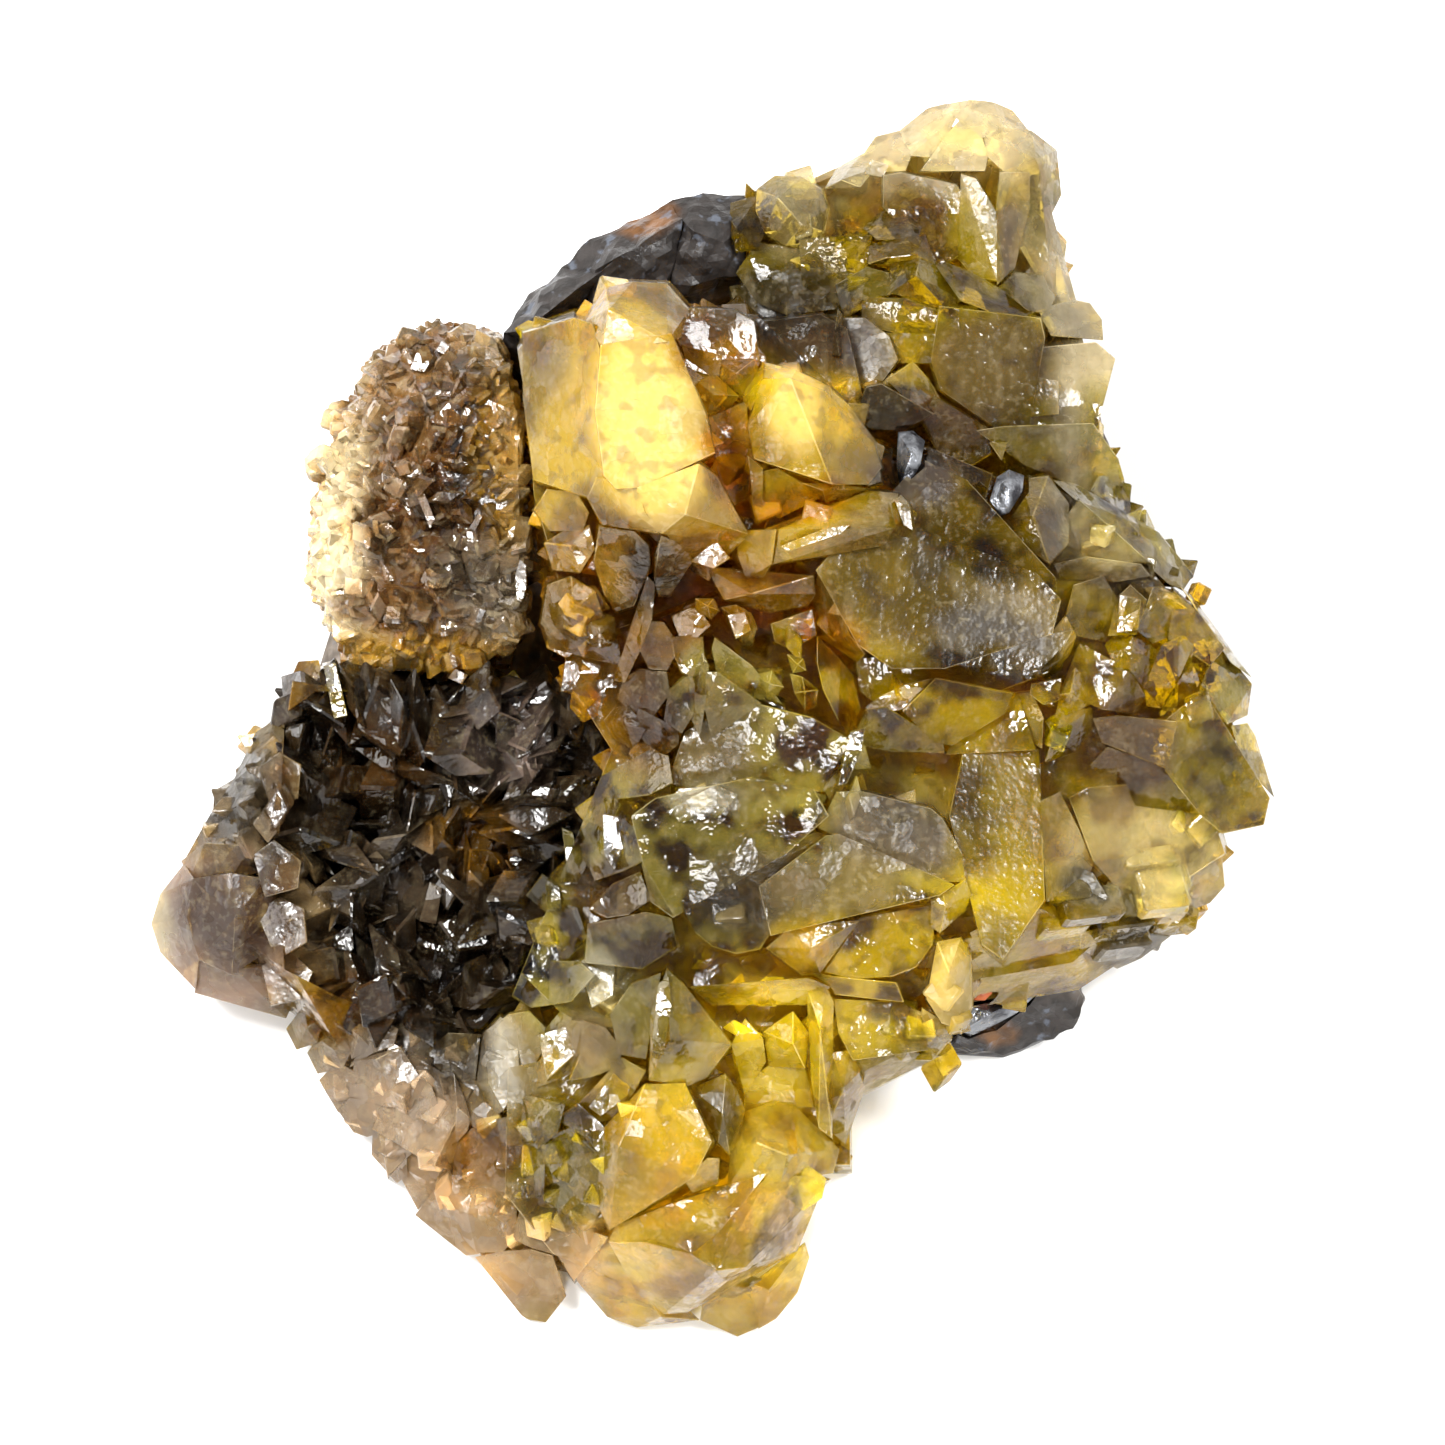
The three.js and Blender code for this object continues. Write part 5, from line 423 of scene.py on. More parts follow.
@dataclass(frozen=True)
class Zone:
    """An ellipse of colour on the face, which runs through the crystal under it."""

    tint: Tint
    x: float
    y: float
    wide: float
    high: float
    turn: float = 0.0
    strength: float = 0.9

    def cover(self, places: np.ndarray) -> np.ndarray:
        """Gives how far the zone covers each place, from 0 to 1.

        Args:
            places: rows of x, y, w.

        Returns:
            One share for each place.
        """
        angle = math.radians(self.turn)
        right, up = places[:, 0] - self.x, places[:, 1] - self.y
        along = (right * math.cos(angle) + up * math.sin(angle)) / self.wide
        across = (up * math.cos(angle) - right * math.sin(angle)) / self.high
        reach = np.clip((ZONE_EDGE[1] - np.hypot(along, across)) / (ZONE_EDGE[1] - ZONE_EDGE[0]), 0, 1)
        return reach * reach * (3 - 2 * reach) * self.strength


ZONE_EDGE = (0.75, 1.25)
ZONE_WAVE = 1.1
ZONE_WAVE_LENGTH = 6.0
CRYSTAL_ZONES = (
    Zone(Tint.OLIVE, 20, 22, 22, 22),
    Zone(Tint.OLIVE_GOLD, 24, -4, 18, 16),
    Zone(Tint.LEMON, 2, -28, 14, 12),
    Zone(Tint.CLEAR, -8, -14, 8, 9),
    Zone(Tint.TAN, -32, -10, 9, 11),
    Zone(Tint.GOLD, 1, 18, 15, 11),
    Zone(Tint.CLEAR, 3, -8, 13, 8),
    Zone(Tint.LILAC, -21, -27, 6, 8, 30),
    Zone(Tint.PEACH, -14, -35, 7, 6),
    Zone(Tint.AMBER, -4, 5, 8, 9),
    Zone(Tint.PALE_GOLD, -4, 19, 4, 7, 10),
    Zone(Tint.BRIGHT, 2.8, 22, 1.6, 2.2),
    Zone(Tint.AMBER, 0.5, 25, 3.2, 2.6),
    Zone(Tint.ORANGE, 1.4, 17, 1.8, 4),
    Zone(Tint.GOLD, 7, 19, 4.6, 4.6, -30),
    Zone(Tint.PALE_GOLD, 5.4, 20, 1.8, 3, 10, 0.8),
    Zone(Tint.ORANGE, 6, 13.6, 4, 1.4, 15),
    Zone(Tint.PURPLE, 19.5, 6, 4.4, 2.8, -15, 0.7),
    Zone(Tint.VEIL, 12, 8, 6, 3.6, -20),
    Zone(Tint.DEEP_OLIVE, 12, 8.4, 5, 3, -20, 0.6),
    Zone(Tint.SLATE, 19, 5.2, 4, 1.6, -15, 0.75),
    Zone(Tint.DEEP_OLIVE, 19, 13, 6, 4, -30),
    Zone(Tint.ORANGE, 8, 5.6, 1.6, 2.6, 40),
    Zone(Tint.DEEP_OLIVE, 17, 2.8, 8, 1.6),
    Zone(Tint.OLIVE_GOLD, 15, 0, 6, 2.4),
    Zone(Tint.BRIGHT, 19, -9.5, 3.2, 8, 0, 0.75),
    Zone(Tint.DEEP_OLIVE, 17.4, -6.6, 1.4, 3.2, 0, 0.6),
    Zone(Tint.PALE_LEMON, 29, -9, 6, 4.5),
    Zone(Tint.DARK_OLIVE, 24.5, -11.5, 2, 1.4, -20),
    Zone(Tint.OLIVE, 30.5, -5, 4, 1.6),
    Zone(Tint.GREY, 29, -16, 3.5, 1.6),
    Zone(Tint.BROWN, 28, -2, 3.2, 3.4),
    Zone(Tint.OLIVE, 33, -4, 3, 4),
    Zone(Tint.CLEAR, 35, 1.5, 2.2, 3.4),
    Zone(Tint.OLIVE_GOLD, 28, 6.5, 4, 3),
    Zone(Tint.GREY, 27, 11.5, 5, 3.6, -45),
    Zone(Tint.PALE_LEMON, 26.5, 12, 2.6, 2),
    Zone(Tint.PALE_LEMON, 5.4, 33.5, 2.6, 2.6),
    Zone(Tint.CREAM, 14, 38, 9, 3.6, 10, 0.85),
    Zone(Tint.DEEP_OLIVE, 14, 32.6, 3.4, 2.8),
    Zone(Tint.BRIGHT, 17.8, 32, 1.4, 3.8, 5),
    Zone(Tint.PURPLE, 20, 31.5, 1.2, 3.8),
    Zone(Tint.PALE_LEMON, 22.6, 31, 2.4, 6, 0, 0.7),
    Zone(Tint.CREAM, 24.8, 25, 2.8, 10),
    Zone(Tint.DEEP_OLIVE, 18.5, 23, 4, 4),
    Zone(Tint.GREY, 18.5, 23.4, 3.4, 3.4, 0, 0.5),
    Zone(Tint.GREY, 7.5, 26, 4.5, 2.4),
    Zone(Tint.DARK_OLIVE, 5, 28, 6, 2.4),
    Zone(Tint.SMOKE, 6.6, 24.8, 4, 2.2, -15, 0.85),
    Zone(Tint.SLATE, 11, 24.4, 2, 2.2),
    Zone(Tint.SMOKE, 12, 20.5, 3, 1.8),
    Zone(Tint.DARK_BROWN, 15, 18.6, 3.6, 2.2),
    Zone(Tint.PURPLE, 13.4, 16, 3, 1.8, -20),
    Zone(Tint.CLEAR, 28, 16, 3, 6, 30),
    Zone(Tint.SMOKE, -4.4, 9.4, 3, 2.6),
    Zone(Tint.DARK_BROWN, -4, 0.4, 2.4, 3.2),
    Zone(Tint.CLEAR, 1.4, 2, 4.4, 3.4),
    Zone(Tint.VEIL, 0, -3, 3, 3),
    Zone(Tint.AMBER, 4, 8, 3.8, 1.4),
    Zone(Tint.CLEAR, 1, -8.6, 6, 4),
    Zone(Tint.GREY, 3, -12, 4.6, 3),
    Zone(Tint.PURPLE, 12, -8, 4.4, 2.6, -15),
    Zone(Tint.VEIL, 8, -11.5, 5, 2.4),
    Zone(Tint.GOLD, 6.6, -15.6, 3.4, 1.8),
    Zone(Tint.OLIVE_GOLD, 11.4, -15, 3.8, 2.4),
    Zone(Tint.PALE_GOLD, 15.8, -18, 1.6, 3.4),
    Zone(Tint.HONEY, -8.8, 9, 3.2, 5),
    Zone(Tint.BROWN, -7, -12, 2.6, 2.4),
    Zone(Tint.VEIL, -13, -22.4, 2.6, 3, 40),
    Zone(Tint.TAN, -7.8, -22, 2, 2.2),
    Zone(Tint.BRIGHT, 3.6, -22, 4.4, 4.4),
    Zone(Tint.OLIVE_GOLD, -1, -19, 3, 1.4, 0, 0.7),
    Zone(Tint.DARK_OLIVE, 0.4, -26.6, 1.6, 2.4),
    Zone(Tint.GOLD, -4, -30, 4.2, 4.6),
    Zone(Tint.LEMON, 4, -34, 5, 4),
    Zone(Tint.GREY, 4.4, -34.2, 3.2, 0.9, 50),
    Zone(Tint.OLIVE, -10.5, -30, 3.4, 4.6),
    Zone(Tint.AMBER, -25.6, -20, 1.8, 1.8),
    Zone(Tint.AMBER, -15, -29.4, 2.4, 1.8),
    Zone(Tint.GREY, -17, -22.4, 2.2, 2.6),
    Zone(Tint.ROSE, -34, -15, 7, 6),
    Zone(Tint.MAUVE, -31.5, -13, 4.2, 3.8),
    Zone(Tint.CREAM, -37.4, -14, 1.6, 5),
    Zone(Tint.GREY, -31, -5.6, 3.6, 3.6),
    Zone(Tint.BROWN, -28.4, -11, 1.2, 9, 0, 0.7),
    Zone(Tint.AMBER, -27.6, 1.6, 2, 2.4),
    Zone(Tint.SMOKE, -18, -8, 9, 8),
    # Painted reflection: white spots where striated faces catch the window.
    Zone(Tint.WHITE, -14, -23.4, 1.3, 3, 0, 0.5),
    Zone(Tint.WHITE, -7.4, -17.4, 1.2, 2.2, 0, 0.5),
    Zone(Tint.WHITE, -0.8, -5.9, 2.4, 1.1, 0, 0.5),
    Zone(Tint.DEEP_OLIVE, 1, 33, 3.4, 2),
)
ROUGH_ZONES = (
    Zone(Tint.CLEAR, 31, 12, 3.6, 6, 45, 0.6),
    Zone(Tint.CLEAR, 31, -14, 6, 3),
    Zone(Tint.CLEAR, 6, 30, 5, 3, 0, 0.5),
    Zone(Tint.CLEAR, -9, 4, 3, 5),
    Zone(Tint.CLEAR, -11, -31, 4, 5),
    Zone(Tint.CLEAR, -20, -30, 7, 9),
    Zone(Tint.CLEAR, -31, -5, 3, 4),
    Zone(Tint.CLEAR, 13, -21, 4, 2),
)
GLITTER_ZONES = ROUGH_ZONES + (
    Zone(Tint.CLEAR, 31, 4, 4, 4),
    Zone(Tint.CLEAR, -14, -21.6, 3.4, 4),
    Zone(Tint.CLEAR, -10.5, -13, 3, 6),
    Zone(Tint.CLEAR, 2, -26, 9, 12, 0, 0.6),
    Zone(Tint.CLEAR, -7, 9, 4, 4),
    Zone(Tint.CLEAR, -2, 2, 3, 4),
)
CALM_ZONES = (
    Zone(Tint.CLEAR, 19, 23.6, 4.6, 5, 0, 0.9),
    Zone(Tint.CLEAR, 19.4, -8.6, 3.4, 7, 0, 0.9),
    Zone(Tint.CLEAR, 15.5, 7.2, 9, 4.4, -15, 0.95),
    Zone(Tint.CLEAR, 17.4, -7.9, 1.4, 1.4),
)
STEP_ZONES = (
    Zone(Tint.OLIVE, 28, -13, 5, 3, 0, 0.5),
)
DRUSE_ZONES = (
    Zone(Tint.CREAM, -25.6, 15, 3.6, 12, 5),
    Zone(Tint.CREAM, -25.6, 6.5, 2.6, 4, 5, 0.8),
    Zone(Tint.TAN, -21.5, 22, 4, 4),
    Zone(Tint.BROWN, -18.6, 14, 4.8, 12),
    Zone(Tint.DARK_BROWN, -16.6, 14, 3, 9),
    Zone(Tint.GREY, -15.4, 9, 3.2, 3.4),
    Zone(Tint.BROWN, -22, 7.4, 3, 2),
    Zone(Tint.HONEY, -20, 2.8, 8, 2.4),
    Zone(Tint.HONEY, -14, 17, 2, 6, 0, 0.5),
)
HOLLOW_ZONES = (
    Zone(Tint.PURPLE, -13.4, -2, 3.4, 3.4),
    Zone(Tint.DARK_BROWN, -22, -3, 3.6, 2.6, 0, 0.7),
    Zone(Tint.AMBER, -16, -8.6, 3, 2.6, 0, 0.6),
    Zone(Tint.GREY, -20.4, -10.4, 2.8, 3.2, 0, 0.7),
    Zone(Tint.TAN, -27.4, -14, 2.4, 5, 0, 0.6),
    Zone(Tint.DARK_BROWN, -24, -19, 4, 2, 0, 0.7),
)
ROCK_ZONES = (
    Zone(Tint.BLACK, -5, 30, 12, 4.6, 25),
    Zone(Tint.RUST, -4.2, 33, 2.2, 1.2, 20, 0.6),
    Zone(Tint.BLACK, 18, -21, 8, 4),
    Zone(Tint.DARK_BROWN, 19.3, -21, 1.4, 1),
)


def zone_colours(places: np.ndarray, ground: Tint, zones: Sequence[Zone]) -> np.ndarray:
    """Gives the colour of each place, with the zones' edges bent as growth bends them.

    Args:
        places: rows of x, y, w.
        ground: the colour outside every zone.
        zones: the zones, later ones over earlier ones.

    Returns:
        Rows of linear red, green and blue, and clearness.
    """
    bend = np.array([noise.noise_vector(Vector(place) / ZONE_WAVE_LENGTH) for place in places])
    bent = places + bend * ZONE_WAVE
    colours = np.tile(ground.linear(), (len(places), 1))
    for zone in zones:
        share = zone.cover(bent)[:, None]
        colours = colours * (1 - share) + zone.tint.linear() * share
    return colours


# Node trees


class Nodes:
    """Adds nodes to a tree, with their sockets set or linked in one call."""

    def __init__(self, tree: bpy.types.NodeTree) -> None:
        """Takes over an empty tree.

        Args:
            tree: the tree to fill.
        """
        tree.nodes.clear()
        self.tree = tree

    def add(self, kind: str, sockets: Mapping[str | int, object] | None = None, **settings: object) -> bpy.types.Node:
        """Adds a node.

        Args:
            kind: Blender's name of the node's type.
            sockets: values, or output sockets to link, by input name or number.
            settings: the node's own properties.

        Returns:
            The new node.
        """
        node = self.tree.nodes.new(kind)
        for name, value in settings.items():
            setattr(node, name, value)
        for key, value in (sockets or {}).items():
            if isinstance(value, bpy.types.NodeSocket):
                self.tree.links.new(value, node.inputs[key])
            else:
                node.inputs[key].default_value = value
        return node

    def mix(self, share: object, first: object, second: object, blend: str = "MIX") -> bpy.types.NodeSocket:
        """Mixes two colours.

        Args:
            share: share of the second colour.
            first: first colour or socket.
            second: second colour or socket.
            blend: Blender's name of the blend.

        Returns:
            The mixed colour.
        """
        node = self.add("ShaderNodeMix", data_type="RGBA", blend_type=blend)
        for number, value in ((0, share), (6, first), (7, second)):
            if isinstance(value, bpy.types.NodeSocket):
                self.tree.links.new(value, node.inputs[number])
            else:
                node.inputs[number].default_value = value
        return node.outputs[2]

    def noise(self, scale: float, detail: float = 4.0, place: object = None,
              **sockets: float) -> bpy.types.NodeSocket:
        """Adds noise.

        Args:
            scale: waves in a metre.
            detail: number of finer layers.
            place: where it is read, the object's own coordinates unless given.
            sockets: other inputs by name.

        Returns:
            The noise's value.
        """
        place = place or self.add("ShaderNodeTexCoord").outputs["Object"]
        values = {"Vector": place, "Scale": scale, "Detail": detail, **sockets}
        return self.add("ShaderNodeTexNoise", values).outputs["Fac"]

    def ramp(self, value: bpy.types.NodeSocket, low: float, high: float, start: float, end: float) -> bpy.types.NodeSocket:
        """Maps a value from one range to another, smoothly.

        Args:
            value: the value.
            low: lower end of its range.
            high: upper end of its range.
            start: result at the lower end.
            end: result at the upper end.

        Returns:
            The mapped value.
        """
        sockets = {"Value": value, "From Min": low, "From Max": high, "To Min": start, "To Max": end}
        return self.add("ShaderNodeMapRange", sockets, interpolation_type="SMOOTHSTEP").outputs["Result"]


def rgba(tint: Tint) -> tuple[float, float, float, float]:
    """Gives a tint as a linear colour with full cover."""
    red, green, blue, _ = tint.linear()
    return (red, green, blue, 1.0)


@dataclass(frozen=True)
class CrystalFinish:
    """See-through crystal: zones of colour, clouds and streaks that each flat face has in its own way, and painted
    light: brighter faces towards the window, painted shade in crevices and pale painted edge highlights.
    """

    name: str
    clearness: tuple[float, float]
    roughness: tuple[float, float]
    absorbed: tuple[float, float, float] = (1.0, 1.0, 1.0)
    absorption: float = 0.0
    # Painted light on flat faces: how dark to how bright their colour runs with the facet number.
    facet_light_range: tuple[float, float] = (0.75, 1.25)
    cloud_range: tuple[float, float] = (0.45, 1.5)
    cloud_scale: float = 260.0
    streak_scale: float = 1100.0
    streak_share: float = 0.30
    speckle_share: float = 0.35
    sugar_share: float = 0.4
    # Share of painted edge highlight on the rounded edges, which also makes them less clear.
    rim_share: float = 0.55
    bump: float = 0.045
    depth_scale: float = 110.0
    depth_range: tuple[float, float] = (0.65, 1.55)
    frost: float = 0.5
    step_scale: float = 760.0
    step_tilt: float = 0.8
    # Painted shade: the tint that darkens crevices between crystals, and how strongly.
    crevice: Tint = Tint.AMBER
    crevice_shade_share: float = 0.9
    ior: float = 1.434

    def facet_places(self, nodes: Nodes, facet: bpy.types.NodeSocket) -> tuple[object, object]:
        """Gives the places that clouds and streaks follow, which differ from one flat face to the next.

        Args:
            nodes: the material's nodes.
            facet: the flat face's own number.

        Returns:
            The places for clouds, and the turned and stretched places for streaks.
        """
        place = nodes.add("ShaderNodeTexCoord").outputs["Object"]
        shift = nodes.add("ShaderNodeVectorMath", {0: (0.31, 0.17, 0.23), "Scale": facet}, operation="SCALE")
        own = nodes.add("ShaderNodeVectorMath", {0: place, 1: shift.outputs[0]}, operation="ADD").outputs[0]
        angle = nodes.add("ShaderNodeMath", {0: facet, 1: math.tau}, operation="MULTIPLY").outputs[0]
        turned = nodes.add("ShaderNodeVectorRotate", {"Vector": own, "Axis": (0.3, -0.4, 0.87), "Angle": angle})
        drawn = nodes.add("ShaderNodeVectorMath", {0: turned.outputs[0], 1: (1.0, 0.3, 0.6)}, operation="MULTIPLY")
        return own, drawn.outputs[0]

    def steps(self, nodes: Nodes) -> bpy.types.NodeSocket:
        """Gives the height of small growth steps, each a flat cell with a tilt of its own, in metres.

        Args:
            nodes: the material's nodes.

        Returns:
            The height.
        """
        place = nodes.add("ShaderNodeTexCoord").outputs["Object"]
        cell = nodes.add("ShaderNodeTexVoronoi", {"Vector": place, "Scale": self.step_scale}, distance="CHEBYCHEV")
        inside = nodes.add("ShaderNodeVectorMath", {0: place, 1: cell.outputs["Position"]}, operation="SUBTRACT")
        tilt = nodes.add("ShaderNodeVectorMath", {0: cell.outputs["Color"], 1: (0.5, 0.5, 0.5)},
                         operation="SUBTRACT")
        rise = nodes.add("ShaderNodeVectorMath", {0: inside.outputs[0], 1: tilt.outputs[0]},
                         operation="DOT_PRODUCT").outputs["Value"]
        rough = nodes.add("ShaderNodeAttribute", attribute_name=ROUGH_LAYER).outputs["Fac"]
        rise = nodes.add("ShaderNodeMath", {0: rise, 1: rough}, operation="MULTIPLY").outputs[0]
        return nodes.add("ShaderNodeMath", {0: rise, 1: self.step_tilt}, operation="MULTIPLY").outputs[0]

    def material(self) -> bpy.types.Material:
        """Makes the material."""
        material = bpy.data.materials.new(self.name)
        material.use_nodes = True
        nodes = Nodes(material.node_tree)
        zone = nodes.add("ShaderNodeAttribute", attribute_name=ZONE_LAYER).outputs["Color"]
        facet = nodes.add("ShaderNodeAttribute", attribute_name=FACET_LAYER).outputs["Fac"]
        rim = nodes.add("ShaderNodeAttribute", attribute_name=RIM_LAYER).outputs["Fac"]
        own, drawn = self.facet_places(nodes, facet)
        # Painted light: faces turned to the window get a brighter colour from their facet number, with a random part.
        depth = nodes.ramp(facet, 0.0, 1.0, *self.facet_light_range)
        hollow = nodes.add("ShaderNodeAttribute", attribute_name=HOLLOW_LAYER).outputs["Fac"]
        cloud = nodes.noise(self.cloud_scale, 2.0, own)
        shade = nodes.ramp(cloud, 0.34, 0.68, *self.cloud_range)
        depths = nodes.noise(self.depth_scale, 1.0, own)
        broad = nodes.ramp(depths, 0.36, 0.64, *self.depth_range)
        light = nodes.add("ShaderNodeMath", {0: depth, 1: shade}, operation="MULTIPLY").outputs[0]
        light = nodes.add("ShaderNodeMath", {0: light, 1: broad}, operation="MULTIPLY").outputs[0]
        colour = nodes.add("ShaderNodeVectorMath", {0: zone, "Scale": light}, operation="SCALE").outputs[0]
        # Painted shade: the colour is darkened and tinted in crevices between the crystals.
        crevice = nodes.ramp(hollow, 0.15, 1.0, 0.0, self.crevice_shade_share)
        colour = nodes.mix(crevice, colour, rgba(self.crevice), "MULTIPLY")
        line = nodes.noise(self.streak_scale, 1.0, drawn)
        streak = nodes.ramp(line, 0.52, 0.74, 0.0, self.streak_share)
        colour = nodes.mix(streak, colour, rgba(Tint.CREAM))
        sugar = nodes.noise(2200.0, 1.0)
        colour = nodes.mix(nodes.ramp(sugar, 0.3, 0.5, self.sugar_share, 0.0), colour, rgba(Tint.TAN), "MULTIPLY")
        colour = nodes.mix(nodes.ramp(sugar, 0.54, 0.68, 0.0, self.sugar_share), colour, rgba(Tint.CREAM))
        patches = nodes.ramp(depths, 0.5, 0.62, 0.0, self.speckle_share)
        fine = nodes.noise(760.0, 1.0)
        speckle = nodes.ramp(fine, 0.54, 0.66, 0.0, 1.0)
        speckle = nodes.add("ShaderNodeMath", {0: speckle, 1: patches}, operation="MULTIPLY").outputs[0]
        colour = nodes.mix(speckle, colour, rgba(Tint.SMOKE))
        # Painted edge highlight: the rounded edge faces are mixed towards cream, broken by noise.
        broken = nodes.ramp(fine, 0.4, 0.6, 0.0, self.rim_share)
        rim_light = nodes.add("ShaderNodeMath", {0: rim, 1: broken}, operation="MULTIPLY").outputs[0]
        colour = nodes.mix(rim_light, colour, rgba(Tint.CREAM))
        rough = nodes.ramp(cloud, 0.38, 0.68, *self.roughness)
        clear = nodes.add("ShaderNodeAttribute", attribute_name=CLEAR_LAYER).outputs["Fac"]
        milk = nodes.add("ShaderNodeMath", {0: 1.0, 1: clear}, operation="SUBTRACT").outputs[0]
        rough = nodes.add("ShaderNodeMath", {0: milk, 1: self.frost, 2: rough}, operation="MULTIPLY_ADD").outputs[0]
        veil = nodes.ramp(cloud, 0.36, 0.64, *self.clearness)
        for share in (veil, nodes.ramp(rim, 0.0, 1.0, 1.0, 1.0 - self.rim_share)):
            clear = nodes.add("ShaderNodeMath", {0: clear, 1: share}, operation="MULTIPLY").outputs[0]
        relief = nodes.add("ShaderNodeMath", {0: sugar, 1: line}, operation="ADD").outputs[0]
        relief = nodes.add("ShaderNodeMath", {0: relief, 1: self.bump * MM}, operation="MULTIPLY").outputs[0]
        relief = nodes.add("ShaderNodeMath", {0: relief, 1: self.steps(nodes)}, operation="ADD").outputs[0]
        bump = nodes.add("ShaderNodeBump", {"Height": relief, "Strength": 1.0, "Distance": 1.0})
        shader = nodes.add("ShaderNodeBsdfPrincipled", {
            "Base Color": colour, "Roughness": rough, "Transmission Weight": clear, "IOR": self.ior,
            "Normal": bump.outputs[0]})
        out = nodes.add("ShaderNodeOutputMaterial", {"Surface": shader.outputs[0]})
        if self.absorption > 0:
            density = {"Color": (*self.absorbed, 1.0), "Density": self.absorption}
            volume = nodes.add("ShaderNodeVolumeAbsorption", density)
            material.node_tree.links.new(volume.outputs[0], out.inputs["Volume"])
        return material


@dataclass(frozen=True)
class RockFinish:
    """Loose dark rock with a grainy colour and bluish specks of painted glint."""

    name: str
    roughness: tuple[float, float] = (0.25, 0.7)
    gloss: float = 0.3

    def material(self) -> bpy.types.Material:
        """Makes the material."""
        material = bpy.data.materials.new(self.name)
        material.use_nodes = True
        nodes = Nodes(material.node_tree)
        zone = nodes.add("ShaderNodeAttribute", attribute_name=ZONE_LAYER).outputs["Color"]
        grain = nodes.noise(700.0, 6.0)
        colour = nodes.mix(nodes.ramp(grain, 0.35, 0.65, 0.0, 0.6), zone, rgba(Tint.SMOKE), "MULTIPLY")
        # Painted glint: bluish specks mixed into the dark rock's colour for its metallic sheen.
        glint = nodes.ramp(nodes.noise(900.0, 3.0), 0.58, 0.7, 0.0, 0.5)
        colour = nodes.mix(glint, colour, (0.12, 0.14, 0.18, 1.0))
        rough = nodes.ramp(nodes.noise(260.0, 4.0), 0.3, 0.7, *self.roughness)
        bump = nodes.add("ShaderNodeBump", {"Height": grain, "Strength": 0.8, "Distance": 0.3 * MM})
        shader = nodes.add("ShaderNodeBsdfPrincipled", {
            "Base Color": colour, "Roughness": rough, "Specular IOR Level": self.gloss, "Normal": bump.outputs[0]})
        nodes.add("ShaderNodeOutputMaterial", {"Surface": shader.outputs[0]})
        return material


@dataclass(frozen=True)
class MetalFinish:
    """Metallic ore, brushed with a bluish or rusty tarnish."""

    name: str
    bright: tuple[float, float, float]
    tarnish: tuple[float, float, float]
    metallic: float
    roughness: tuple[float, float]

    def material(self) -> bpy.types.Material:
        """Makes the material."""
        material = bpy.data.materials.new(self.name)
        material.use_nodes = True
        nodes = Nodes(material.node_tree)
        stain = nodes.ramp(nodes.noise(520.0, 5.0), 0.4, 0.6, 0.0, 1.0)
        colour = nodes.mix(stain, (*self.bright, 1.0), (*self.tarnish, 1.0))
        rough = nodes.ramp(nodes.noise(800.0, 4.0), 0.35, 0.65, *self.roughness)
        bump = nodes.add("ShaderNodeBump", {"Height": nodes.noise(800.0, 3.0), "Strength": 0.8,
                                            "Distance": 0.5 * MM})
        shader = nodes.add("ShaderNodeBsdfPrincipled", {
            "Base Color": colour, "Roughness": rough, "Metallic": self.metallic, "Normal": bump.outputs[0]})
        nodes.add("ShaderNodeOutputMaterial", {"Surface": shader.outputs[0]})
        return material


# Meshes

ZONE_LAYER = "zone"
FACET_LAYER = "facet"
RIM_LAYER = "rim"
CLEAR_LAYER = "clear"
ROUGH_LAYER = "rough"
EDGE_LAYER = "bevel_weight_edge"
HOLLOW_LAYER = "hollow"
GROWTH_LAYER = "growth"
MAP_CELL = 0.5
HALF_MAP = 60.0
UNDERSIDE = -0.2
MAP_TURNS = 6
GROWTH_MARGIN = 1.2
# Way to the window lamp: flat faces turned this way get painted light, a brighter colour, through their facet number.
WINDOW_WAY = (FACE_RIGHT * -0.5 + FACE_UP * 0.45 + FACE_OUT * 0.75).normalized()
FLAT_ANGLE = math.radians(0.6)
EDGE_ROOM = 0.04
LEAST_SHARE = 0.25


def mesh_piece(name: str, form: bmesh.types.BMesh) -> bpy.types.Object:
    """Makes a piece from a form, which is used up.

    Args:
        name: the piece's name.
        form: its shape, in metres.

    Returns:
        The new object, at the origin.
    """
    mesh = bpy.data.meshes.new(name)
    form.to_mesh(mesh)
    form.free()
    piece = bpy.data.objects.new(name, mesh)
    bpy.context.scene.collection.objects.link(piece)
    return piece


def solid_copy(node: str) -> bmesh.types.BMesh:
    """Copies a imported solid, with its triangles joined into flat faces.

    Args:
        node: the solid's name.

    Returns:
        The form, in metres.
    """
    mesh = frame["nodes"][node].data.copy()
    if "custom_normal" in mesh.attributes:
        mesh.attributes.remove(mesh.attributes["custom_normal"])
    form = bmesh.new()
    form.from_mesh(mesh)
    bpy.data.meshes.remove(mesh)
    for face in form.faces:
        face.smooth = False
    bmesh.ops.remove_doubles(form, verts=form.verts, dist=0.001 * MM)
    bmesh.ops.dissolve_limit(form, angle_limit=FLAT_ANGLE, verts=form.verts, edges=form.edges)
    return form


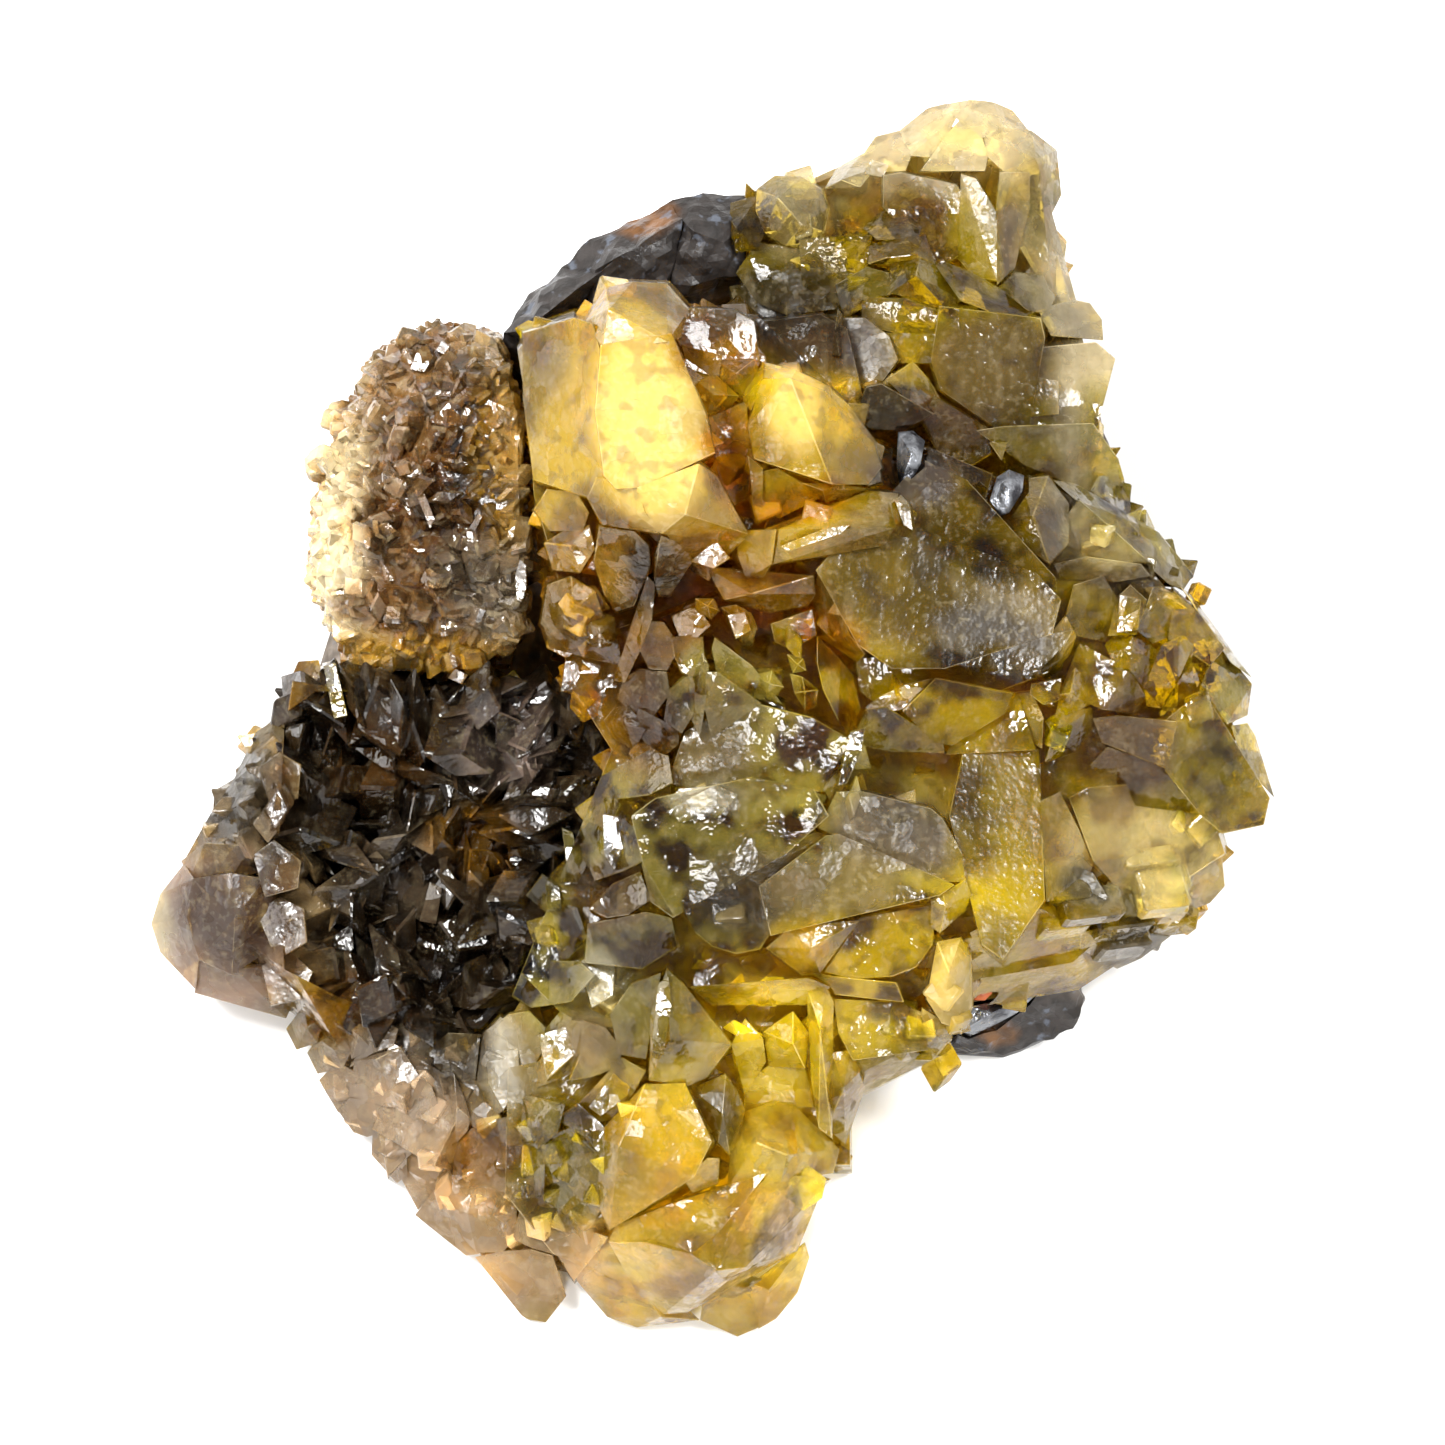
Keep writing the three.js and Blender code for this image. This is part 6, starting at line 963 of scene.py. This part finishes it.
def crystal_form(crystal: Tile | Gem) -> bmesh.types.BMesh:
    """Makes the solid of a small crystal.

    Args:
        crystal: its corners and root.

    Returns:
        The form, in metres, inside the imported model's box.
    """
    form = bmesh.new()
    low, high = CAD_BOX
    points = []
    for point in crystal.points():
        inside = [min(max(value * MM, least), most) for value, least, most in zip(point, low, high)]
        points.append(form.verts.new(inside))
    hull = bmesh.ops.convex_hull(form, input=points)
    loose = {item for item in hull["geom_interior"] + hull["geom_unused"] if isinstance(item, bmesh.types.BMVert)}
    bmesh.ops.delete(form, geom=list(loose), context="VERTS")
    bmesh.ops.dissolve_limit(form, angle_limit=FLAT_ANGLE, verts=form.verts, edges=form.edges)
    return form


def evaluated(piece: bpy.types.Object) -> None:
    """Applies a piece's modifiers to its mesh."""
    graph = bpy.context.evaluated_depsgraph_get()
    graph.update()
    mesh = bpy.data.meshes.new_from_object(piece.evaluated_get(graph))
    piece.modifiers.clear()
    piece.data = mesh


def form_of(piece: bpy.types.Object) -> bmesh.types.BMesh:
    """Gives a piece's mesh as a form."""
    form = bmesh.new()
    form.from_mesh(piece.data)
    return form


def add_piece(piece: bpy.types.Object, other: bpy.types.Object, seed: int) -> None:
    """Joins another piece into a piece, and gives the flat faces that have no number one of their own.

    Args:
        piece: the piece that stays.
        other: the piece that is used up.
        seed: seed of the numbers.
    """
    form = form_of(piece)
    own = len(form.faces)
    form.from_mesh(other.data)
    bpy.data.objects.remove(other)
    layer = form.faces.layers.float.get(FACET_LAYER) or form.faces.layers.float.new(FACET_LAYER)
    form.faces.ensure_lookup_table()
    draw = random.Random(seed)
    for number, face in enumerate(form.faces):
        if number >= own or face[layer] == 0:
            face[layer] = facet_number(face, draw)
    form.to_mesh(piece.data)
    form.free()


def facet_number(face: bmesh.types.BMFace, draw: random.Random) -> float:
    """Gives a flat face its number from 0 to 1, which brightens its colour as painted light: high where it looks at the
    window, and partly by chance.

    Args:
        face: the flat face.
        draw: source of the chance part.

    Returns:
        The number.
    """
    facing = max(0.0, face.normal.dot(WINDOW_WAY))
    return min(1.0, 0.05 + 0.5 * facing + 0.45 * draw.random())


def mark_facets(form: bmesh.types.BMesh, seed: int) -> None:
    """Gives each flat face its own number from 0 to 1, which sets how bright its colour is: painted light where it
    faces the window, and partly random tone.

    Args:
        form: the form to mark.
        seed: seed of the numbers.
    """
    layer = form.faces.layers.float.new(FACET_LAYER)
    draw = random.Random(seed)
    for face in form.faces:
        face[layer] = facet_number(face, draw)


def round_edges(piece: bpy.types.Object, width: float, least_angle: float) -> None:
    """Rounds the edges that stand out, and marks the narrow faces on them as rims, which the crystal finish paints pale
    as an edge highlight.

    Args:
        piece: the piece.
        width: how far the rounding reaches from the edge.
        least_angle: edges flatter than this angle, in degrees, stay as they are.
    """
    form = form_of(piece)
    weights = form.edges.layers.float.new(EDGE_LAYER)
    room = {vertex: min(edge.calc_length() for edge in vertex.link_edges) / MM for vertex in form.verts}
    for edge in form.edges:
        out = edge.is_manifold and edge.is_convex and edge.calc_face_angle(0.0) > math.radians(least_angle)
        share = min(1.0, EDGE_ROOM * min(room[vertex] for vertex in edge.verts) / width)
        edge[weights] = share if out and share > LEAST_SHARE else 0.0
    form.to_mesh(piece.data)
    form.free()
    plain, marked = (bpy.data.materials.new(name) for name in ("plain_face", "rim_face"))
    piece.data.materials.append(plain)
    piece.data.materials.append(marked)
    rim = piece.modifiers.new("rim", "BEVEL")
    rim.width, rim.segments, rim.limit_method, rim.material = width * MM, 1, "WEIGHT", 1
    rim.use_clamp_overlap = False
    evaluated(piece)
    number = np.empty(len(piece.data.polygons), dtype=np.int32)
    piece.data.polygons.foreach_get("material_index", number)
    layer = piece.data.attributes.new(RIM_LAYER, "FLOAT", "FACE")
    layer.data.foreach_set("value", number.astype(np.float32))
    piece.data.polygons.foreach_set("material_index", np.zeros(len(number), dtype=np.int32))
    bpy.data.materials.remove(plain)
    bpy.data.materials.remove(marked)


def refine(piece: bpy.types.Object, longest: float) -> None:
    """Splits edges that are longer than a length, so that the zones' colours can change along them.

    Args:
        piece: the piece.
        longest: the length.
    """
    form = bmesh.new()
    form.from_mesh(piece.data)
    bmesh.ops.triangulate(form, faces=form.faces)
    for _ in range(REFINE_ROUNDS):
        long_edges = [edge for edge in form.edges if edge.calc_length() > longest * MM]
        if not long_edges:
            break
        bmesh.ops.subdivide_edges(form, edges=long_edges, cuts=1)
        bmesh.ops.triangulate(form, faces=[face for face in form.faces if len(face.verts) > 3])
    form.to_mesh(piece.data)
    form.free()


REFINE_ROUNDS = 4


def mark_hollows(piece: bpy.types.Object, reach: float, deepest: float) -> None:
    """Marks how deep each point lies between the crystals around it, from 0 on top to 1 in a crevice.

    Args:
        piece: the piece.
        reach: how far around it the higher crystals count.
        deepest: depth at which a crevice counts fully.
    """
    mesh = piece.data
    points = np.empty(len(mesh.vertices) * 3)
    mesh.vertices.foreach_get("co", points)
    places = face_places(points.reshape(-1, 3))
    cell = np.round((places[:, :2] + HALF_MAP) / MAP_CELL).astype(int)
    side = int(2 * HALF_MAP / MAP_CELL) + 1
    tops = np.full((side, side), places[:, 2].min())
    np.maximum.at(tops, (cell[:, 0], cell[:, 1]), places[:, 2])
    steps = int(reach / MAP_CELL)
    walls = np.full((side, side), tops.min())
    for turn in range(MAP_TURNS):
        angle = math.pi * turn / MAP_TURNS
        sides = []
        for way in (1, -1):
            highest = tops.copy()
            for step in range(1, steps + 1):
                right, up = round(way * step * math.cos(angle)), round(way * step * math.sin(angle))
                highest = np.maximum(highest, np.roll(tops, (right, up), (0, 1)))
            sides.append(highest)
        walls = np.maximum(walls, np.minimum(*sides))
    smooth = walls.copy()
    for axis in (0, 1):
        smooth += np.roll(walls, 1, axis) + np.roll(walls, -1, axis)
    smooth /= 5
    depth = np.clip((smooth[cell[:, 0], cell[:, 1]] - places[:, 2]) / deepest, 0, 1)
    layer = mesh.attributes.new(HOLLOW_LAYER, "FLOAT", "POINT")
    layer.data.foreach_set("value", depth)


def mark_growth(piece: bpy.types.Object, zones: Sequence[Zone], lowest: float, in_crevices: float = 0.0) -> None:
    """Marks where small crystals grow: inside the zones or everywhere, not near the floor nor underneath.

    Args:
        piece: the piece.
        zones: the zones, or none for everywhere.
        lowest: height over the floor from which they grow.
        in_crevices: how densely they also grow in the crevices outside the zones.
    """
    mesh = piece.data
    points = np.empty(len(mesh.vertices) * 3)
    mesh.vertices.foreach_get("co", points)
    points = points.reshape(-1, 3)
    normals = np.empty(len(mesh.vertices) * 3)
    mesh.vertices.foreach_get("normal", normals)
    low, high = (np.array(corner) for corner in CAD_BOX)
    inside = np.all((points > low + GROWTH_MARGIN * MM) & (points < high - GROWTH_MARGIN * MM), axis=1)
    share = inside & (points[:, 2] > lowest * MM) & (normals.reshape(-1, 3)[:, 2] > UNDERSIDE)
    share = share.astype(float)
    if zones:
        places = face_places(points)
        crevice = np.empty(len(mesh.vertices))
        mesh.attributes[HOLLOW_LAYER].data.foreach_get("value", crevice)
        covers = [zone.cover(places) for zone in zones] + [crevice * in_crevices]
        share *= np.max(covers, axis=0)
    layer = mesh.attributes.new(GROWTH_LAYER, "FLOAT", "POINT")
    layer.data.foreach_set("value", share)


def paint(piece: bpy.types.Object, ground: Tint, zones: Sequence[Zone]) -> None:
    """Stores the zones' colours in a piece's mesh.

    Args:
        piece: the piece.
        ground: the colour outside every zone.
        zones: the zones.
    """
    mesh = piece.data
    points = np.empty(len(mesh.vertices) * 3)
    mesh.vertices.foreach_get("co", points)
    colours = zone_colours(face_places(points.reshape(-1, 3)), ground, zones)
    layer = mesh.attributes.new(ZONE_LAYER, "FLOAT_VECTOR", "POINT")
    layer.data.foreach_set("vector", colours[:, :3].ravel())
    layer = mesh.attributes.new(CLEAR_LAYER, "FLOAT", "POINT")
    layer.data.foreach_set("value", colours[:, 3])


def mark_rough(piece: bpy.types.Object, zones: Sequence[Zone], least: float, calm: Sequence[Zone] = ()) -> None:
    """Marks where growth steps cover the faces.

    Args:
        piece: the piece.
        zones: the rough places.
        least: roughness outside them, from 0 to 1.
        calm: places with smooth faces.
    """
    mesh = piece.data
    points = np.empty(len(mesh.vertices) * 3)
    mesh.vertices.foreach_get("co", points)
    places = face_places(points.reshape(-1, 3))
    share = np.max([zone.cover(places) for zone in zones] + [np.full(len(places), least)], axis=0)
    for zone in calm:
        share *= 1 - zone.cover(places)
    layer = mesh.attributes.new(ROUGH_LAYER, "FLOAT", "POINT")
    layer.data.foreach_set("value", share)


def dressed(piece: bpy.types.Object, material: bpy.types.Material, slot: str, *nodes: str) -> None:
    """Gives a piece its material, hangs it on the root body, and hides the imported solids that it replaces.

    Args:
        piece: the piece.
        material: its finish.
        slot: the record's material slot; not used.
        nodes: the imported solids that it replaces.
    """
    piece.data.materials.clear()
    piece.data.materials.append(material)
    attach(piece, "root")
    if nodes:
        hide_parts(*nodes)
    log.info("%s: %d faces", piece.name, len(piece.data.polygons))


# Small crystals grown out of a surface, by Geometry Nodes


@dataclass(frozen=True)
class Growth:
    """Small crystals that stand out of a surface at random turns."""

    name: str
    spacing: float
    smallest: tuple[float, float, float]
    largest: tuple[float, float, float]
    lean: float
    sink: float
    seed: int
    tilt: tuple[float, float, float] | None = None
    edge: float = 0.07

    def blade(self) -> bpy.types.Object:
        """Makes one crystal of unit size: a square block, which stands on its corner unless it has a tilt."""
        form = bmesh.new()
        bmesh.ops.create_cube(form, size=1.0)
        bmesh.ops.bevel(form, geom=form.edges[:], offset=self.edge, segments=1, affect="EDGES")
        if self.tilt is None:
            corner_up = Vector((1, 1, 1)).rotation_difference(Vector((0, 0, 1))).to_matrix().to_4x4()
            bmesh.ops.transform(form, matrix=corner_up, verts=form.verts)
        return mesh_piece(self.name + "_blade", form)

    def tree(self, blade: bpy.types.Object) -> bpy.types.NodeTree:
        """Builds the node tree.

        Args:
            blade: the crystal that is repeated.

        Returns:
            The tree, with Geometry, Spacing, Smallest, Largest, Lean, Sink, Seed and Finish as inputs.
        """
        tree = bpy.data.node_groups.new(self.name, "GeometryNodeTree")
        inputs = (("Geometry", "NodeSocketGeometry"), ("Spacing", "NodeSocketFloat"),
                  ("Smallest", "NodeSocketVector"), ("Largest", "NodeSocketVector"),
                  ("Lean", "NodeSocketFloat"), ("Sink", "NodeSocketFloat"), ("Seed", "NodeSocketInt"),
                  ("Finish", "NodeSocketMaterial"))
        for label, kind in inputs:
            tree.interface.new_socket(label, in_out="INPUT", socket_type=kind)
        tree.interface.new_socket("Geometry", in_out="OUTPUT", socket_type="NodeSocketGeometry")
        nodes = Nodes(tree)
        given = nodes.add("NodeGroupInput").outputs
        share = nodes.add("GeometryNodeInputNamedAttribute", {"Name": GROWTH_LAYER}, data_type="FLOAT").outputs[0]
        spots = nodes.add("GeometryNodeDistributePointsOnFaces", {
            "Mesh": given["Geometry"], "Distance Min": given["Spacing"], "Density Max": 4.0e6,
            "Density Factor": share, "Seed": given["Seed"]}, distribute_method="POISSON")
        down = nodes.add("ShaderNodeMath", {0: given["Sink"], 1: -1.0}, operation="MULTIPLY").outputs[0]
        below = nodes.add("ShaderNodeVectorMath", {0: spots.outputs["Normal"], "Scale": down}, operation="SCALE")
        sunk = nodes.add("GeometryNodeSetPosition", {"Geometry": spots.outputs["Points"], "Offset": below.outputs[0]})
        low = nodes.add("ShaderNodeVectorMath", {0: given["Lean"], 1: (-1.0, -1.0, -1.0)}, operation="MULTIPLY")
        lean = nodes.add("FunctionNodeRandomValue", {
            0: low.outputs[0], 1: given["Lean"], "Seed": given["Seed"]}, data_type="FLOAT_VECTOR")
        spin = nodes.add("FunctionNodeRandomValue", {
            0: (0.0, 0.0, 0.0), 1: (0.0, 0.0, math.tau), "Seed": given["Seed"]}, data_type="FLOAT_VECTOR")
        turn = nodes.add("FunctionNodeRotateEuler", {
            0: spots.outputs["Rotation"], 1: lean.outputs[0]}, rotation_type="EULER", space="LOCAL")
        turn = nodes.add("FunctionNodeRotateEuler", {
            0: turn.outputs[0], 1: spin.outputs[0]}, rotation_type="EULER", space="LOCAL")
        size = nodes.add("FunctionNodeRandomValue", {
            0: given["Smallest"], 1: given["Largest"], "Seed": given["Seed"]}, data_type="FLOAT_VECTOR")
        shape = nodes.add("GeometryNodeObjectInfo", {"Object": blade})
        rotation = turn.outputs[0]
        if self.tilt is not None:
            lattice = Euler([math.radians(angle) for angle in self.tilt]).to_matrix()
            rotation = (Matrix((FACE_RIGHT, FACE_UP, FACE_OUT)).transposed() @ lattice).to_euler()
        grown = nodes.add("GeometryNodeInstanceOnPoints", {
            "Points": sunk.outputs[0], "Instance": shape.outputs["Geometry"],
            "Rotation": rotation, "Scale": size.outputs[0]})
        real = nodes.add("GeometryNodeRealizeInstances", {"Geometry": grown.outputs[0]})
        finished = nodes.add("GeometryNodeSetMaterial", {"Geometry": real.outputs[0], "Material": given["Finish"]})
        nodes.add("NodeGroupOutput", {0: finished.outputs[0]})
        return tree

    def grow(self, ground: bpy.types.Object, finish: bpy.types.Material) -> bpy.types.Object:
        """Grows the crystals out of a surface.

        Args:
            ground: the surface, which is left as it is.
            finish: the crystals' material.

        Returns:
            A new piece with the crystals alone.
        """
        blade = self.blade()
        piece = bpy.data.objects.new(self.name, ground.data.copy())
        bpy.context.scene.collection.objects.link(piece)
        modifier = piece.modifiers.new("growth", "NODES")
        modifier.node_group = self.tree(blade)
        values = {"Spacing": self.spacing * MM, "Smallest": [size * MM for size in self.smallest],
                  "Largest": [size * MM for size in self.largest], "Lean": self.lean, "Sink": self.sink * MM,
                  "Seed": self.seed, "Finish": finish}
        for item in modifier.node_group.interface.items_tree:
            if item.in_out == "INPUT" and item.name in values:
                modifier[item.identifier] = values[item.name]
        evaluated(piece)
        piece.data.attributes.remove(piece.data.attributes["id"])
        bpy.data.objects.remove(blade)
        return piece

# Finishes

FLUORITE = CrystalFinish("fluorite_crystal", (0.78, 1.08), (0.02, 0.12), (1.0, 0.92, 0.0), 120.0,
                         cloud_range=(0.75, 1.3), facet_light_range=(0.6, 1.6), rim_share=0.22,
                         cloud_scale=340.0, streak_share=0.1, sugar_share=0.12, crevice=Tint.OLIVE_GOLD,
                         crevice_shade_share=0.5, frost=0.8)
DRUSE = CrystalFinish("brown_druse_crystal", (0.75, 1.1), (0.05, 0.25), streak_share=0.3, facet_light_range=(0.7, 1.4),
                      cloud_range=(0.7, 1.3), sugar_share=0.2, crevice=Tint.HONEY, crevice_shade_share=0.6, frost=0.2)
SMOKY = CrystalFinish("smoky_crust_crystal", (0.8, 1.1), (0.03, 0.2), streak_share=0.1, facet_light_range=(0.3, 1.7),
                      sugar_share=0.08, crevice=Tint.DARK_BROWN, crevice_shade_share=0.8, frost=0.2)
ROCK = RockFinish("dark_rock")
SILVER = MetalFinish("silver_ore", (0.22, 0.23, 0.25), (0.03, 0.03, 0.035), 0.85, (0.15, 0.5))
RUSTY = MetalFinish("rust_ore", (0.36, 0.07, 0.003), (0.14, 0.02, 0.002), 0.0, (0.55, 0.85))

# Pieces


@dataclass
class FluoriteMass:
    """All the fluorite, with the small crystals joined to the large ones."""

    edge: float = 0.07
    edge_angle: float = 34.0
    longest_edge: float = 1.6
    crevice_reach: float = 3.0
    crevice_depth: float = 5.0
    growth_floor: float = 3.0
    least_rough: float = 0.3
    seed: int = 11
    crystals: tuple[Tile | Gem, ...] = SMALL_CRYSTALS + RIM_CRYSTALS + GLINTS
    crevice_growth: float = 0.5
    fringe: Growth = Growth("fringe_growth", 1.9, (0.7, 0.8, 1.0), (2.0, 2.2, 2.4), 0.35, 0.75, 3)
    cubes: Growth = Growth("cube_growth", 1.6, (1.0, 1.0, 1.0), (4.6, 3.6, 2.6), 0.0, 0.75, 4, (-24.0, 20.0, 6.0))

    def build(self) -> bpy.types.Object:
        """Builds and dresses the piece."""
        piece = mesh_piece("fluorite_crystals", solid_copy("fluorite"))
        added = bpy.data.collections.new("small_crystals")
        for number, crystal in enumerate(self.crystals):
            stone = mesh_piece(f"small_crystal_{number}", crystal_form(crystal))
            added.objects.link(stone)
            bpy.context.scene.collection.objects.unlink(stone)
        union = piece.modifiers.new("union", "BOOLEAN")
        union.operation, union.operand_type, union.collection, union.solver = "UNION", "COLLECTION", added, "MANIFOLD"
        evaluated(piece)
        for stone in list(added.objects):
            bpy.data.objects.remove(stone)
        bpy.data.collections.remove(added)
        form = bmesh.new()
        form.from_mesh(piece.data)
        bmesh.ops.remove_doubles(form, verts=form.verts, dist=0.01 * MM)
        bmesh.ops.dissolve_limit(form, angle_limit=FLAT_ANGLE, verts=form.verts, edges=form.edges)
        mark_facets(form, self.seed)
        form.to_mesh(piece.data)
        form.free()
        material = FLUORITE.material()
        grown = [self.grown(piece, self.fringe, ROUGH_ZONES, self.crevice_growth, material),
                 self.grown(piece, self.cubes, STEP_ZONES, 0.0, material)]
        round_edges(piece, self.edge, self.edge_angle)
        for number, crystals in enumerate(grown):
            add_piece(piece, crystals, self.seed + number)
        refine(piece, self.longest_edge)
        mark_hollows(piece, self.crevice_reach, self.crevice_depth)
        mark_rough(piece, GLITTER_ZONES, self.least_rough, CALM_ZONES)
        paint(piece, Tint.OLIVE_GOLD, CRYSTAL_ZONES)
        dressed(piece, material, "fluorite", "fluorite")
        return piece

    def grown(self, piece: bpy.types.Object, growth: Growth, zones: Sequence[Zone], in_crevices: float,
              material: bpy.types.Material) -> bpy.types.Object:
        """Grows the smallest crystals.

        Args:
            piece: the crystals they grow on.
            growth: their sizes and turns.
            zones: where they grow.
            in_crevices: how densely they grow in the crevices too.
            material: their finish.

        Returns:
            The smallest crystals alone.
        """
        ground = mesh_piece(growth.name + "_ground", form_of(piece))
        refine(ground, self.longest_edge)
        mark_hollows(ground, self.crevice_reach, self.crevice_depth)
        mark_growth(ground, zones, self.growth_floor, in_crevices)
        crystals = growth.grow(ground, material)
        bpy.data.objects.remove(ground)
        return crystals


@dataclass
class Druse:
    """A cushion of small crystals grown together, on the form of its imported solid."""

    node: str
    finish: CrystalFinish
    growth: Growth
    ground: Tint
    zones: tuple[Zone, ...]
    crystals: tuple[Tile, ...]
    growth_floor: float = 3.0
    crevice_reach: float = 1.5
    crevice_depth: float = 2.5
    longest_edge: float = 1.6
    roughness: float = 0.5

    def build(self) -> bpy.types.Object:
        """Builds and dresses the piece."""
        base = mesh_piece(self.node + "_crystals", solid_copy(self.node))
        material = self.finish.material()
        ground = mesh_piece(self.node + "_ground", form_of(base))
        refine(ground, self.longest_edge)
        mark_growth(ground, (), self.growth_floor)
        grown = self.growth.grow(ground, material)
        bpy.data.objects.remove(ground)
        add_piece(base, grown, self.growth.seed)
        for number, crystal in enumerate(self.crystals):
            add_piece(base, mesh_piece("glint", crystal_form(crystal)), self.growth.seed + number)
        refine(base, self.longest_edge)
        mark_hollows(base, self.crevice_reach, self.crevice_depth)
        mark_rough(base, (), self.roughness)
        paint(base, self.ground, self.zones)
        dressed(base, material, self.node, self.node)
        return base


@dataclass
class Rock:
    """The loose rock under the crystals, with a rough skin."""

    longest_edge: float = 1.0
    roughness: float = 0.5
    wave: float = 2.2

    def build(self) -> bpy.types.Object:
        """Builds and dresses the piece."""
        piece = mesh_piece("matrix_rock", solid_copy("matrix"))
        refine(piece, self.longest_edge)
        form = bmesh.new()
        form.from_mesh(piece.data)
        form.normal_update()
        moves = []
        lowest = min(vertex.co.z for vertex in form.verts)
        for vertex in form.verts:
            depth = noise.turbulence(vertex.co / (self.wave * MM), 3, False)
            foot = min(1.0, (vertex.co.z - lowest) / (2 * MM))
            moves.append(vertex.normal * -(depth * self.roughness * MM * foot))
        for vertex, move in zip(form.verts, moves):
            vertex.co += move
        form.to_mesh(piece.data)
        form.free()
        paint(piece, Tint.STONE, ROCK_ZONES)
        dressed(piece, ROCK.material(), "matrix", "matrix")
        return piece


@dataclass
class OreGrain:
    """A small lump of metallic or rusty ore."""

    node: str
    finish: MetalFinish
    slot: str
    edge: float = 0.05

    def build(self) -> bpy.types.Object:
        """Builds and dresses the piece."""
        piece = mesh_piece(self.node + "_ore", solid_copy(self.node))
        rim = piece.modifiers.new("rim", "BEVEL")
        rim.width, rim.segments, rim.limit_method = self.edge * MM, 2, "ANGLE"
        evaluated(piece)
        refine(piece, 0.6)
        dressed(piece, self.finish.material(), self.slot, self.node)
        return piece


@dataclass
class Studio:
    """Pale floor, soft light, and the camera where the photograph's stood."""

    floor_size: float = 900.0
    sensor: float = 36.0
    frame_width: float = 96.33
    shift: tuple[float, float] = (0.0073, -0.0059)
    room_light: tuple[float, float] = (2.05, 0.17)
    bounces: int = 5

    def floor(self) -> None:
        """Makes the floor."""
        form = bmesh.new()
        bmesh.ops.create_grid(form, x_segments=1, y_segments=1, size=self.floor_size / 2 * MM)
        floor = mesh_piece("floor", form)
        material = bpy.data.materials.new("pale_floor")
        material.use_nodes = True
        nodes = Nodes(material.node_tree)
        shader = nodes.add("ShaderNodeBsdfPrincipled", {"Base Color": (0.9, 0.9, 0.9, 1.0), "Roughness": 0.8})
        nodes.add("ShaderNodeOutputMaterial", {"Surface": shader.outputs[0]})
        floor.data.materials.append(material)

    def lamp(self, name: str, place: tuple[float, float, float], size: float, power: float) -> None:
        """Hangs a soft lamp that shines at the crystals.

        Args:
            name: the lamp's name.
            place: its place x, y, w on the crystal face.
            size: its side.
            power: its power in watts.
        """
        light = bpy.data.lights.new(name, "AREA")
        light.size, light.energy = size * MM, power
        lamp = bpy.data.objects.new(name, light)
        position = on_face(place[0], place[1], 0) + FACE_OUT * place[2]
        aim = (FACE_CENTRE - position).to_track_quat("-Z", "Y")
        lamp.matrix_world = Matrix.Translation(position * MM) @ aim.to_matrix().to_4x4()
        bpy.context.scene.collection.objects.link(lamp)

    def camera(self) -> None:
        """Sets the camera."""
        lens = bpy.data.cameras.new("camera")
        lens.sensor_width = self.sensor
        lens.lens = self.sensor * SIGHT_DISTANCE / self.frame_width
        lens.shift_x, lens.shift_y = self.shift
        camera = bpy.data.objects.new("camera", lens)
        turn = Matrix((FACE_RIGHT, FACE_UP, FACE_OUT)).transposed().to_4x4()
        camera.matrix_world = Matrix.Translation((FACE_CENTRE + FACE_OUT * SIGHT_DISTANCE) * MM) @ turn
        bpy.context.scene.collection.objects.link(camera)
        bpy.context.scene.camera = camera

    def build(self) -> None:
        """Builds the stage."""
        self.camera()
        self.floor()
        self.lamp("key", (-190, 190, 260), 220, 1.0)
        self.lamp("window_left", LAMP_LEFT, 90, 1.6)
        self.lamp("window_right", (170, 90, 280), 80, 0.9)
        self.lamp("window_low", (-40, -170, 300), 80, 0.6)
        world = bpy.data.worlds.new("soft_room")
        world.use_nodes = True
        nodes = Nodes(world.node_tree)
        way = nodes.add("ShaderNodeTexCoord").outputs["Generated"]
        up = nodes.add("ShaderNodeSeparateXYZ", {0: way}).outputs["Z"]
        strength = nodes.ramp(up, 0.0, 1.0, *self.room_light)
        sky = nodes.add("ShaderNodeBackground", {"Color": (1.0, 0.98, 0.95, 1.0), "Strength": strength})
        nodes.add("ShaderNodeOutputWorld", {"Surface": sky.outputs[0]})
        scene = bpy.context.scene
        world.cycles.sampling_method = "NONE"
        scene.world = world
        scene.view_settings.view_transform = "Standard"
        scene.cycles.max_bounces = self.bounces
        scene.cycles.transmission_bounces = self.bounces
        scene.cycles.glossy_bounces = 3
        scene.cycles.diffuse_bounces = 2
        scene.cycles.use_light_tree = False
        scene.cycles.adaptive_threshold = 0.1


def main() -> None:
    """Builds every piece in order and reports it."""
    logging.basicConfig(level=logging.INFO, format="%(message)s")
    Studio().build()
    Rock().build()
    FluoriteMass().build()
    Druse("brown_druse", DRUSE, Growth("druse_growth", 0.8, (0.7, 0.9, 1.0), (1.7, 2.1, 2.3), 0.6, 0.65, 5, None, 0.17),
          Tint.TAN, DRUSE_ZONES, DRUSE_GLINTS).build()
    Druse("smoky_crust", SMOKY, Growth("crust_growth", 1.35, (0.6, 1.0, 1.8), (2.2, 3.6, 5.6), 0.9, 1.0, 9),
          Tint.SMOKE, HOLLOW_ZONES, HOLLOW_GLINTS).build()
    for node, finish, slot in (("silver_grain_upper", SILVER, "silver"), ("silver_grain_right", SILVER, "silver"),
                               ("silver_seam", SILVER, "silver"), ("rust_grain", RUSTY, "rust")):
        OreGrain(node, finish, slot).build()


if __name__ == "__main__":
    main()
